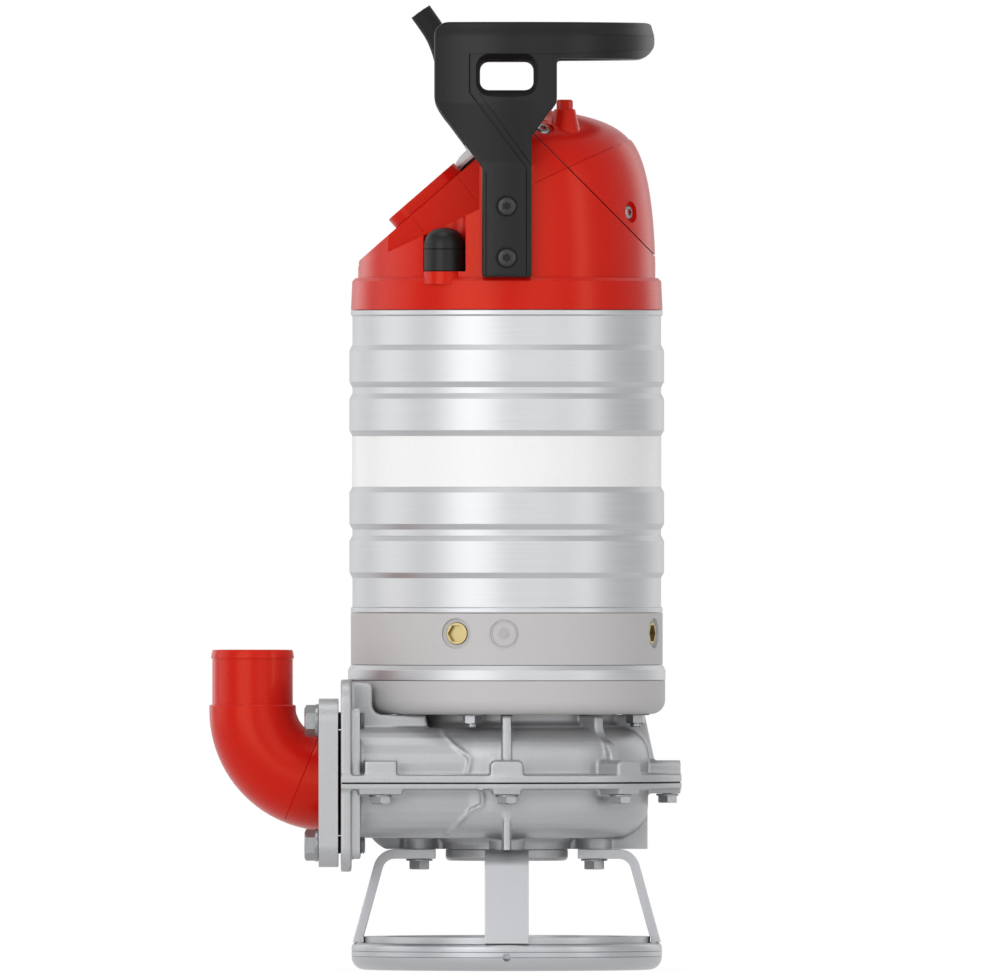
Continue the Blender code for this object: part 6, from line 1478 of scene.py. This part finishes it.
class PUMP_OT_housings(bpy.types.Operator):
    """Make the seal housing with its nuts, the clamp ring and the oil housing with its plugs"""
    bl_idname = "pump.housings"
    bl_label = "Seal and oil housings"

    def execute(self, context):
        sizes = context.scene.slurry_pump.sizes
        foot, top = SEAL_HOUSING_FOOT, CLAMP_RING_FOOT - SEAT_GAP
        radius = SEAL_HOUSING_ROUND
        floor = foot + SEAL_HOUSING_FLOOR
        spigot, spigot_foot = SHAFT_OPENING_RADIUS - SEAT_GAP, foot - SEAL_SPIGOT_DEPTH
        outline = (
            [(HOUSING_CAVITY_RADIUS, top), (SEAL_HOUSING_RADIUS, top)]
            + arc((SEAL_HOUSING_RADIUS - radius, foot + radius), radius, 0, -90)
            + [(spigot, foot), (spigot, spigot_foot), (SEAL_BORE_RADIUS, spigot_foot),
               (SEAL_BORE_RADIUS, floor), (HOUSING_CAVITY_RADIUS, floor)]
        )
        set_piece("seal_carrier", turned(outline, 128, sizes.edge), blasted_aluminium(),
                  ["seal_housing"])
        foot, top = CLAMP_RING_FOOT, OIL_HOUSING_FOOT - SEAT_GAP
        outline = [(HOUSING_CAVITY_RADIUS, top), (OIL_HOUSING_RADIUS, top),
                   (CLAMP_RING_RADIUS, top - CLAMP_RING_BEVEL), (CLAMP_RING_RADIUS, foot),
                   (HOUSING_CAVITY_RADIUS, foot)]
        set_piece("clamp_band", turned(outline, 128, sizes.edge / 2), brushed_stainless(),
                  ["clamp_ring"])
        foot, top = OIL_HOUSING_FOOT, OIL_HOUSING_TOP
        middle = foot + (top - foot) * 0.61
        shape = turned([(HOUSING_CAVITY_RADIUS, top), (OIL_HOUSING_RADIUS, top),
                        (OIL_HOUSING_RADIUS, foot), (HOUSING_CAVITY_RADIUS, foot)],
                       128, sizes.edge)
        floor = OIL_HOUSING_RADIUS - PLUG_RECESS_DEPTH
        for angle in PLUG_DEGREES:
            place = outward(angle, floor, middle)
            recess = cylinder(PLUG_RECESS_RADIUS, 0, PLUG_RECESS_DEPTH + OVERRUN)
            hole = cylinder(PLUG_RADIUS + SEAT_GAP, -0.013, OVERRUN / 2)
            shape = cut(shape, moved(recess, place), moved(hole, place))
        set_piece("oil_chamber", shape, blasted_aluminium(), ["oil_housing"])
        for side, angle in zip(("front", "side"), PLUG_DEGREES):
            plug = turned([(0, -PLUG_LENGTH), (PLUG_RADIUS, -PLUG_LENGTH), (PLUG_RADIUS, 0),
                           (0, 0)], 48, 0.0005)
            socket = moved(plate([hexagon(PLUG_SOCKET_FLATS, 90)], PLUG_LENGTH), shift(z=0.0010))
            set_piece(f"brass_plug_{side}", moved(cut(plug, socket),
                                                  outward(angle, floor + PLUG_STANDOUT, middle)),
                      turned_brass(), [f"inspection_plug_{side}"])
        mark = together([
            turned([(outer - 0.0010, -0.0006), (outer, -0.0006), (outer - 0.0002, 0.0010),
                    (outer - 0.0008, 0.0010)], 96)
            for outer in MARK_RING_RADII
        ])
        # The rings lie on a round wall, so they bend with it
        for vertex in mark.data.vertices:
            bent = math.sqrt(OIL_HOUSING_RADIUS ** 2 - vertex.co.y ** 2)
            vertex.co.z += bent - OIL_HOUSING_RADIUS
        set_piece("cast_mark", moved(mark, outward(MARK_DEGREES, OIL_HOUSING_RADIUS, middle)),
                  blasted_aluminium())
        nut = hex_bolt(flats=0.0155, head=0.0074, washer_radius=0.0128, washer=0.0010,
                       radius=0.005, reach=0.0030, pitch=0.0015)
        stud = turned([(0, -0.0117), (0.0042, -0.0117), (0.0049, -0.0110), (0.0049, -0.006),
                       (0, -0.006)], 32)
        nut = together([nut, stud])
        for number, angle in enumerate(SEAL_NUT_DEGREES):
            place = turn(angle) @ shift(x=SEAL_NUT_CIRCLE_RADIUS, z=SEAL_HOUSING_FOOT)
            set_piece(f"seal_nut_{number + 1}", moved(copy_of(nut), place), zinc_plate())
        bpy.data.objects.remove(nut)
        return {"FINISHED"}


class PUMP_OT_casing(bpy.types.Operator):
    """Roll the ribbed outer casing of the motor and paint its white band"""
    bl_idname = "pump.casing"
    bl_label = "Outer casing"

    def execute(self, context):
        sizes = context.scene.slurry_pump.sizes
        levels = [
            (CASING_LIP_RADIUS, CASING_LIP_HEIGHT, CASING_LIP_BEVEL),
            (CASING_WALL_RADIUS, CASING_END_RECESS, CASING_BEVEL),
            (CASING_RIB_RADIUS, CASING_RIB_HEIGHT, CASING_BEVEL),
            (CASING_WALL_RADIUS, CASING_GROOVE_HEIGHT, CASING_BEVEL),
            (CASING_RIB_RADIUS, CASING_RIB_HEIGHT, CASING_BEVEL),
            (CASING_WALL_RADIUS, CASING_BAND_HEIGHT, 0),
        ]
        outside, height = [], OUTER_CASING_FOOT
        for radius, run, bevel in levels:
            outside += [(radius, height), (radius, height + run)]
            height += run + bevel
        middle = (OUTER_CASING_FOOT + OUTER_CASING_TOP) / 2
        lower = outside[:-1]
        upper = [(radius, 2 * middle - height) for radius, height in reversed(lower)]
        outline = ([(CASING_BORE_RADIUS, OUTER_CASING_FOOT)] + lower + upper
                   + [(CASING_BORE_RADIUS, OUTER_CASING_TOP)])
        set_piece("ribbed_casing", turned(outline, 160, sizes.edge), brushed_stainless(),
                  ["outer_casing"])
        half = sizes.band_height / 2
        root, skin = CASING_WALL_RADIUS - 0.0002, CASING_WALL_RADIUS + sizes.band_film
        band = turned([(root, middle - half), (skin, middle - half),
                       (skin, middle + half), (root, middle + half)], 160)
        set_piece("painted_band", band, white_paint())
        return {"FINISHED"}


# Top housing

def hood_body(step, foot):
    """Turned wall and crown of the hood, drawn in by a step."""
    wall = bend((HOOD_RADIUS - step, RING_TOP + 0.0123), (0.134 - step, RING_TOP + 0.1023),
                (HOOD_CROWN_RADIUS - step, RING_TOP + HOOD_WALL_HEIGHT), 16)
    crown = bend((HOOD_CROWN_RADIUS - step, RING_TOP + HOOD_WALL_HEIGHT),
                 (0.090 - step, RING_TOP + 0.1563 - step),
                 (0, RING_TOP + HOOD_CROWN_HEIGHT - step), 16)
    return turned([(0, foot), (HOOD_RADIUS - step, foot)] + wall[:-1] + crown, 128)


def front_prism(outlines, half_width=2 * HOOD_RADIUS):
    """Outlines seen from the front, thickened to both sides of the pump axis."""
    return moved(plate(outlines, 2 * half_width), across())


def above_slope(left, right, height, degrees, lift=0):
    """Everything above a slope, as a cutter."""
    sky = RING_TOP + 2 * HOOD_CROWN_HEIGHT
    return front_prism([[(left, slope_height(left, height, degrees) + lift), (left, sky),
                         (right, sky), (right, slope_height(right, height, degrees) + lift)]])


def beyond_split(side, gap):
    """Everything on one side of the service cover's joint, and half the gap in it."""
    far = 3 * HOOD_RADIUS
    slope = math.radians(COVER_SLOPE_DEGREES)
    normal = Vector((math.sin(slope), 0, math.cos(slope)))
    middle = Vector((0, 0, RING_TOP + COVER_SPLIT_HEIGHT)) + normal * side * (far - gap / 2)
    return moved(block((-far, -far, -far), (far, far, far)), shift(*middle),
                 turn(COVER_SLOPE_DEGREES, "Y"))


def hood():
    """The whole hood before the service cover is parted from it."""
    foot = RING_TOP - HOUSING_RING_CHAMFER
    wide = 2 * HOOD_RADIUS
    skin = cut(hood_body(0, foot), above_slope(-wide, wide, CREASE_HEIGHT, CREASE_SLOPE_DEGREES))
    core = cut(hood_body(HOOD_CREASE_STEP, foot + OVERRUN / 2),
               above_slope(-wide, 0, CREASE_HEIGHT, CREASE_SLOPE_DEGREES, -HOOD_CREASE_STEP))
    low_end, high_end = -HOOD_RADIUS + HOOD_CREASE_STEP / 2, HOOD_CROWN_RADIUS / 3
    rise = 2 * INCLINE_HEIGHT
    pad = common(
        front_prism([[(low_end, RING_TOP), (low_end, RING_TOP + rise),
                      (high_end, slope_height(high_end, rise, INCLINE_SLOPE_DEGREES)),
                      (high_end, RING_TOP)]], ENTRY_PAD_HALF_WIDTH),
        hood_body(HOOD_CREASE_STEP / 2, foot - OVERRUN))
    return cut(joined(skin, core, pad),
               above_slope(-wide, HOOD_RADIUS, INCLINE_HEIGHT, INCLINE_SLOPE_DEGREES))


def handle_pads():
    """Raised pads on the hood's wall, front and rear, that the handle's legs lie on."""
    pads = []
    for side in (-1, 1):
        post = cylinder(HANDLE_PAD_RADIUS, RING_TOP - HOUSING_RING_CHAMFER / 2,
                        RING_TOP + HANDLE_PAD_HEIGHT, 128)
        near, far = sorted((side * HOOD_CROWN_RADIUS, side * 2 * HOOD_RADIUS))
        strip = block((-HANDLE_PAD_HALF_WIDTH, near, HOUSING_FOOT),
                      (HANDLE_PAD_HALF_WIDTH, far, RING_TOP + HOOD_CROWN_HEIGHT))
        pads.append(common(post, strip))
    return pads


class PUMP_OT_top_housing(bpy.types.Operator):
    """Make the red top housing, its service cover, the test plug and the domed cap"""
    bl_idname = "pump.top_housing"
    bl_label = "Top housing"

    def execute(self, context):
        sizes = context.scene.slurry_pump.sizes
        whole = hood()
        creases = [line_on(whole, raised(points, RING_TOP), CREASE_RADIUS)
                   for points in HOOD_CREASES]
        whole = cut(whole, together(creases))
        cover = cut(copy_of(whole), beyond_split(-1, COVER_JOINT))
        boss_top = RING_TOP + TEST_BOSS_RISE
        boss = turned([(0, boss_top - 0.03), (TEST_BOSS_RADIUS + 0.004, boss_top - 0.03),
                       (TEST_BOSS_RADIUS - 0.003, boss_top - 0.0006),
                       (TEST_BOSS_RADIUS - 0.0036, boss_top), (0, boss_top)], 48)
        cover = joined(cover, moved(boss, shift(TEST_PLUG_X, -TEST_PLUG_Y)))
        for name, place, way in COVER_POCKETS:
            stand = shift(*place) @ Vector(way).to_track_quat("Z", "Y").to_matrix().to_4x4()
            pocket = cylinder(COVER_POCKET_RADIUS, -COVER_POCKET_DEPTH, 0.03, 48)
            cover = cut(cover, moved(pocket, stand))
            set_piece(f"cover_screw_{name}",
                      moved(button_screw(0.0072, 0.0018, 0.0036), stand, shift(z=-0.0044)),
                      zinc_plate())
        set_piece("cover_shell", cover, red_enamel(), ["service_cover"])
        plug = common(
            moved(plate([hexagon(TEST_PLUG_FLATS, 0)], 0.0088), shift(z=0.0044)),
            turned([(0, 0), (0.0075, 0), (0.0075, 0.0074), (0.0060, 0.0088), (0, 0.0088)], 48))
        set_piece("test_plug_head", moved(plug, shift(TEST_PLUG_X, -TEST_PLUG_Y, boss_top + WELD)),
                  red_enamel(), ["test_plug"])
        # The seal fills the joint and stops just short of the hood's outside
        slack = SEAT_GAP / 3 - COVER_JOINT
        seal = cut(hood_body(HOOD_CREASE_STEP + 0.0002, RING_TOP), beyond_split(1, slack),
                   beyond_split(-1, slack))
        set_piece("cover_seal", seal, black_rubber())
        body = cut(whole, beyond_split(1, COVER_JOINT))
        chamfer = HOUSING_RING_CHAMFER
        spigot, spigot_foot = CASING_BORE_RADIUS - SEAT_GAP, HOUSING_FOOT - 0.013
        ring = turned([
            (0, RING_TOP), (HOUSING_RING_TOP_RADIUS - chamfer, RING_TOP),
            (HOUSING_RING_TOP_RADIUS, RING_TOP - chamfer), (HOUSING_RING_RADIUS, HOUSING_FOOT),
            (spigot, HOUSING_FOOT), (spigot, spigot_foot), (0, spigot_foot),
        ], 160, sizes.edge)
        cap_seat = RING_TOP + CAP_BOSS_RISE
        boss = cylinder(CAP_RADIUS + 0.0002, RING_TOP - 0.006, cap_seat, 64, -CAP_X, -CAP_Y)
        reach = CAP_RADIUS + 0.0006
        pocket = joined(
            cylinder(reach, cap_seat - SEAT_GAP, cap_seat + 0.05, 64, -CAP_X, -CAP_Y),
            block((-CAP_X - reach + WELD, -0.2, cap_seat - SEAT_GAP),
                  (-CAP_X + reach - WELD, -CAP_Y, cap_seat + 0.05)))
        wiring_space = block((0.030, -0.055, RING_TOP + 0.028),
                             (0.100, 0.055, RING_TOP + HOOD_CROWN_HEIGHT))
        bearing_pocket = cylinder(0.0363, HOUSING_FOOT - 0.02, HOUSING_FOOT - 0.0092, 64)
        body = cut(joined(body, ring, together(handle_pads()), boss), wiring_space, pocket,
                   bearing_pocket)
        set_piece("housing_shell", body, red_enamel(), ["top_housing"])
        seam = cap_seat + CAP_SEAM_HEIGHT
        top = cap_seat + CAP_HEIGHT
        groove, bevel = 0.0005, 0.0006
        wall = [(CAP_RADIUS - bevel, cap_seat), (CAP_RADIUS, cap_seat + bevel),
                (CAP_RADIUS, seam - groove), (CAP_RADIUS - groove, seam)]
        dome = bend((CAP_RADIUS, seam + groove), (CAP_RADIUS, top), (0, top), 16)
        cap = moved(turned([(0, cap_seat)] + wall + dome, 64), shift(-CAP_X, -CAP_Y))
        set_piece("black_cap", cap, moulded_plastic(), ["dome_cap"])
        return {"FINISHED"}


# Handle

def handle_outline():
    """The handle seen from the front, clockwise from its foot."""
    foot = HANDLE_FOOT
    top = foot + HANDLE_HEIGHT
    band = top - HANDLE_BAND_HEIGHT
    leg = HANDLE_LEG_HALF_WIDTH
    left, right = -HANDLE_LEFT_REACH, HANDLE_RIGHT_REACH
    left_arm = bend((left * 0.79, foot + (HANDLE_LEFT_WAIST + HANDLE_LEFT_SHOULDER) * 0.53),
                    (left, foot + HANDLE_LEFT_SHOULDER * 0.95),
                    (left, foot + HANDLE_LEFT_SHOULDER))
    return (
        [(leg, foot), (-leg, foot), (-leg, foot + HANDLE_LEFT_WAIST)]
        + left_arm
        + arc((left + 0.0128, top - 0.0128), 0.0128, 180, 90)
        + arc((right - 0.009, top - 0.009), 0.009, 90, 0)
        + arc((right - 0.019, band + 0.019), 0.019, 0, -90)
        + [(HANDLE_POST_REACH, band), (HANDLE_POST_REACH, foot + HANDLE_RIGHT_SHOULDER),
           (leg, foot + HANDLE_RIGHT_WAIST + LUG_ROOT), (leg, foot + HANDLE_RIGHT_WAIST)]
    )


def window_box(foot, top, spread=0):
    """Outline of the handle's window, let out all round by a spread."""
    half = WINDOW_WIDTH / 2 + spread
    return rounded_box(-half, half, foot - spread, top + spread, WINDOW_CORNER_RADIUS + spread)


def handle_skin(outside, depth):
    """The outside of the handle's shell, down to a depth, as a cutter."""
    return turned([(radius + 0.02, height) for radius, height in outside]
                  + [(radius - depth, height) for radius, height in outside[::-1]], 128)


def lofted(low_outline, high_outline, low, high):
    """A closed solid between two outlines with as many points, at two heights."""
    solid = bmesh.new()
    rings = [[solid.verts.new((x, y, height)) for x, y in outline]
             for outline, height in ((low_outline, low), (high_outline, high))]
    count = len(low_outline)
    for step in range(count):
        after = (step + 1) % count
        solid.faces.new((rings[0][step], rings[0][after], rings[1][after], rings[1][step]))
    solid.faces.new(rings[0])
    solid.faces.new(rings[1])
    bmesh.ops.recalc_face_normals(solid, faces=solid.faces)
    return shape_from(solid)


def stroke(points, width):
    """Outline of a narrow straight band between two points."""
    start, end = Vector(points[0]), Vector(points[1])
    side = (end - start).orthogonal().normalized() * width / 2
    return [tuple(start + side), tuple(end + side), tuple(end - side), tuple(start - side)]


def star(radius, depth, points=6):
    """Outline of a six-lobed drive socket."""
    outline = []
    for step in range(points * 8):
        angle = 2 * math.pi * step / (points * 8)
        reach = radius - depth * (0.5 - 0.5 * math.cos(points * angle))
        outline.append((reach * math.cos(angle), reach * math.sin(angle)))
    return outline


def button_screw(radius, head, socket):
    """A domed screw head, seated at zero, with a six-lobed socket."""
    curve = bend((radius, -head), (radius, head * 0.6), (radius * 0.6, head))
    dome = turned([(0, -head)] + curve + [(0, head)], 48)
    drive = moved(plate([star(socket, socket * 0.28)], 3 * head), shift(z=head * 0.9))
    return cut(dome, drive)


class PUMP_OT_handle(bpy.types.Operator):
    """Mould the hoop handle with its two legs, windows and screws"""
    bl_idname = "pump.handle"
    bl_label = "Handle"

    def execute(self, context):
        foot, top = HANDLE_FOOT, HANDLE_FOOT + HANDLE_HEIGHT
        lean_start, lean_end = foot + HANDLE_LEAN_START, foot + HANDLE_LEAN_END
        inner_leg = HANDLE_PAD_RADIUS + SEAT_GAP
        outer_leg = inner_leg + HANDLE_LEG_THICKNESS
        outer_band = HANDLE_BAND_RADIUS
        inner_band = outer_band - HANDLE_BAND_WIDTH
        band = top - HANDLE_BAND_HEIGHT
        low, high = foot - OVERRUN, top + OVERRUN
        shoulder = top - HANDLE_SHOULDER_DROP
        outside = [(outer_band - HANDLE_DRAFT, high),
                   (outer_band - HANDLE_DRAFT * 0.7, top - 0.004),
                   (outer_band, shoulder), (outer_band, lean_end),
                   (outer_leg, lean_start), (outer_leg, low)]
        inside = [(inner_leg, low), (inner_leg, lean_start), (inner_band, lean_end)]
        shell = turned([(inner_band, high)] + outside + inside, 128)
        window_top = band - WINDOW_DROP
        window_foot = window_top - WINDOW_HEIGHT
        window = window_box(window_foot, window_top)
        handle = common(shell, front_prism([handle_outline(), window]))
        handle = cast(handle, CAST_GRAIN, 7)
        # The face right of the windows and under the grip lies a step lower
        low_face = [(-0.0345, band + 0.0045), (-0.0345, window_foot - 0.002),
                    (0.0190, foot + HANDLE_RIGHT_WAIST - 0.010), (0.0200, foot + 0.004),
                    (0.0600, foot + 0.004), (0.2000, foot + 0.15), (0.2000, band + 0.0135),
                    (0.0490, band + 0.0045)]
        skin = handle_skin(outside, HANDLE_STEP)
        handle = cut(handle, common(skin, front_prism([low_face])))
        strokes = [stroke(raised(points, foot), 0.0008) for points in HANDLE_SCORES]
        score = handle_skin(outside, HANDLE_STEP + HANDLE_SCORE_DEPTH)
        rim = turned([(outer_band + 0.02, shoulder + 0.0004),
                      (outer_band - 0.0009, shoulder + 0.0002),
                      (outer_band - 0.0009, shoulder - 0.0002),
                      (outer_band + 0.02, shoulder - 0.0004)], 128)
        handle = cut(handle, common(score, front_prism(strokes)), rim)
        face = outer_band - HANDLE_STEP
        for angle in (-90, 90):
            chamfer = lofted(window, window_box(window_foot, window_top, WINDOW_CHAMFER),
                             face - 0.0075, face + 0.0005)
            handle = cut(handle, moved(chamfer, turn(angle), turn(90, "Z"), turn(90, "X")))
        seats = [moved(cylinder(0.0103, outer_leg - 0.0022, outer_leg + 0.02), turn(angle),
                       shift(z=RING_TOP + height), turn(90, "Y"))
                 for angle in (-90, 90) for height in sorted(HANDLE_SCREW_HEIGHTS.values())]
        handle = cut(handle, together(seats))
        set_piece("hoop_handle", handle, moulded_plastic(), ["handle"],
                  degrees=28)
        for side, angle in (("front", -90), ("rear", 90)):
            for level, height in HANDLE_SCREW_HEIGHTS.items():
                screw = button_screw(0.0095, 0.0019, 0.0040)
                place = outward(angle, outer_leg - 0.0020, RING_TOP + height)
                set_piece(f"handle_screw_{side}_{level}", moved(screw, place), blackened_steel())
        return {"FINISHED"}


class PUMP_OT_cable_entry(bpy.types.Operator):
    """Make the cable entry lid, the gland and the gasket under it"""
    bl_idname = "pump.cable_entry"
    bl_label = "Cable entry"

    def execute(self, context):
        sizes = context.scene.slurry_pump.sizes
        outline = rounded_box(LID_START, LID_START + LID_LENGTH, -LID_HALF_WIDTH, LID_HALF_WIDTH,
                              0.018)
        lid = moved(plate([outline], LID_THICKNESS, 0.0012), shift(z=LID_THICKNESS / 2))
        lid = cut(lid, cylinder(GLAND_GASKET_RADIUS + 0.001, -OVERRUN, LID_THICKNESS + OVERRUN, 64,
                                GLAND_START))
        set_piece("entry_lid", moved(lid, on_incline(0)), red_enamel(),
                  ["cable_entry_lid"])
        gasket = turned([(0, 0), (GLAND_GASKET_RADIUS, 0),
                         (GLAND_GASKET_RADIUS, GLAND_GASKET_THICKNESS),
                         (0, GLAND_GASKET_THICKNESS)], 64, sizes.edge / 2)
        set_piece("entry_gasket", moved(gasket, on_incline(GLAND_START)), black_rubber(),
                  ["gland_gasket"])
        collar_top = GLAND_HEIGHT + GLAND_COLLAR_HEIGHT
        gland = turned(
            [(0, 0), (GLAND_RADIUS, 0)]
            + bend((GLAND_RADIUS, GLAND_HEIGHT * 0.3), (GLAND_RADIUS * 0.85, GLAND_HEIGHT),
                   (GLAND_COLLAR_RADIUS, GLAND_HEIGHT))
            + [(GLAND_COLLAR_RADIUS, collar_top), (0, collar_top)], 64, sizes.edge / 2)
        lift = GLAND_GASKET_THICKNESS + SEAT_GAP
        set_piece("gland_body", moved(gland, on_incline(GLAND_START, lift)), blasted_aluminium(),
                  ["cable_gland"])
        return {"FINISHED"}


class PUMP_OT_inner_finishes(bpy.types.Operator):
    """Give the pieces inside the pump their finishes"""
    bl_idname = "pump.inner_finishes"
    bl_label = "Inner finishes"

    def execute(self, context):
        finishes = (
            (bearing_steel, ("shaft", "impeller_screw", "lower_bearing_inner_ring",
                             "lower_bearing_outer_ring", "lower_bearing_balls",
                             "upper_bearing_inner_ring", "upper_bearing_outer_ring",
                             "upper_bearing_balls")),
            (coated_iron, ("impeller", "bearing_bracket")),
            (laminated_steel, ("stator_core", "rotor_core")),
            (wound_copper, ("lower_winding", "upper_winding")),
            (sintered_carbide, ("shaft_seal_ring", "shaft_seal_seat")),
            (moulded_plastic, ("terminal_block",)),
        )
        for make_finish, nodes in finishes:
            for node in nodes:
                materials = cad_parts[node].data.materials
                materials.clear()
                materials.append(make_finish())
        return {"FINISHED"}


# Studio

def soft_box(name, energy, width, height, place, target):
    """A rectangular area lamp that faces a target."""
    light = bpy.data.lights.new(name, "AREA")
    light.shape = "RECTANGLE"
    light.size = width
    light.size_y = height
    light.energy = energy
    lamp = on_bench(name, light)
    lamp.location = place
    lamp.rotation_euler = (Vector(target) - Vector(place)).to_track_quat("-Z", "Y").to_euler()


def worked_out(tree, operation, first, second):
    """A sum on two values, each one a socket or a number."""
    values = {0: first, 1: second}
    numbers = {place: value for place, value in values.items() if isinstance(value, float)}
    sockets = {place: value for place, value in values.items() if place not in numbers}
    node = add_node(tree, "ShaderNodeMath", {"operation": operation, **numbers}, sockets)
    return node.outputs[0]


class PUMP_OT_stage(bpy.types.Operator):
    """Set the pale floor, the white surroundings and the soft boxes"""
    bl_idname = "pump.stage"
    bl_label = "Stage"

    def execute(self, context):
        studio = context.scene.slurry_pump.studio
        white = (1, 1, 1, 1)
        solid = bmesh.new()
        bmesh.ops.create_grid(solid, x_segments=8, y_segments=8, size=FLOOR_HALF_SIZE)
        floor = shape_from(solid)
        floor.name = "floor"
        material = finish("matt_paper", studio.floor, 0.01, 0.02, 0.00002, 0.9)
        tree = material.node_tree
        # The camera and reflections see the floor almost white, and it keeps its shadow
        rays = add_node(tree, "ShaderNodeLightPath").outputs
        looks = worked_out(tree, "MAXIMUM", rays["Is Camera Ray"], rays["Is Glossy Ray"])
        whiteness = worked_out(tree, "MULTIPLY", looks, FLOOR_WHITENESS)
        glow = add_node(tree, "ShaderNodeEmission", {"Color": white, "Strength": FLOOR_STRENGTH})
        paper = tree.nodes["Principled BSDF"]
        seen = add_node(tree, "ShaderNodeMixShader", links={
            "Fac": whiteness, 1: paper.outputs[0], 2: glow.outputs[0]})
        tree.links.new(seen.outputs[0], tree.nodes["Material Output"].inputs["Surface"])
        floor.data.materials.append(material)
        world = bpy.data.worlds.new("studio")
        world.use_nodes = True
        context.scene.world = world
        tree = world.node_tree
        tree.nodes.clear()
        # The surroundings look white, and light the pump at the ambient strength only
        rays = add_node(tree, "ShaderNodeLightPath").outputs
        mirrored = worked_out(tree, "MULTIPLY", rays["Is Glossy Ray"], studio.reflected)
        either = worked_out(tree, "MAXIMUM", rays["Is Camera Ray"], mirrored)
        seen = worked_out(tree, "MAXIMUM", either, rays["Is Transmission Ray"])
        strength = add_node(tree, "ShaderNodeMapRange", {"To Min": studio.ambient, "To Max": 1.0},
                            {"Value": seen})
        sky = add_node(tree, "ShaderNodeBackground", {"Color": white},
                       {"Strength": strength.outputs["Result"]})
        add_node(tree, "ShaderNodeOutputWorld", links={"Surface": sky.outputs["Background"]})
        for name, setting_name, width, height, degrees, rise in SOFT_BOXES:
            bearing = math.radians(degrees)
            way = Vector((math.sin(bearing), -math.cos(bearing), rise)).normalized()
            place = Vector(STUDIO_CENTRE) + way * SOFT_BOX_DISTANCE
            soft_box(name, getattr(studio, setting_name), width, height, place, STUDIO_CENTRE)
        return {"FINISHED"}


OPERATORS = (
    PUMP_OT_camera, PUMP_OT_cable, PUMP_OT_foot, PUMP_OT_volute, PUMP_OT_bolts, PUMP_OT_discharge,
    PUMP_OT_housings, PUMP_OT_casing, PUMP_OT_top_housing, PUMP_OT_handle, PUMP_OT_cable_entry,
    PUMP_OT_inner_finishes, PUMP_OT_stage,
)


class PUMP_PT_panel(bpy.types.Panel):
    """Lists the pump's settings and pieces"""
    bl_idname = "PUMP_PT_panel"
    bl_label = "Slurry pump"
    bl_space_type = "VIEW_3D"
    bl_region_type = "UI"
    bl_category = "Slurry pump"

    def draw(self, context):
        settings = context.scene.slurry_pump
        for group in (settings.sizes, settings.finishes, settings.studio):
            box = self.layout.box()
            for name in group.__annotations__:
                box.prop(group, name)
        for operator in OPERATORS:
            self.layout.operator(operator.bl_idname)


CLASSES = (PumpFinishes, PumpSizes, PumpStudio, PumpSettings, *OPERATORS, PUMP_PT_panel)


def register():
    """Make the settings, operators and panel known to Blender."""
    for cls in CLASSES:
        bpy.utils.register_class(cls)
    bpy.types.Scene.slurry_pump = bpy.props.PointerProperty(
        type=PumpSettings, name="Slurry pump", description="Settings of the slurry pump")


def unregister():
    """Take them out again."""
    del bpy.types.Scene.slurry_pump
    for cls in reversed(CLASSES):
        bpy.utils.unregister_class(cls)


def main():
    """Register, then build every piece in order."""
    register()
    for operator in OPERATORS:
        group, name = operator.bl_idname.split(".")
        getattr(getattr(bpy.ops, group), name)()


if __name__ == "__main__":
    main()
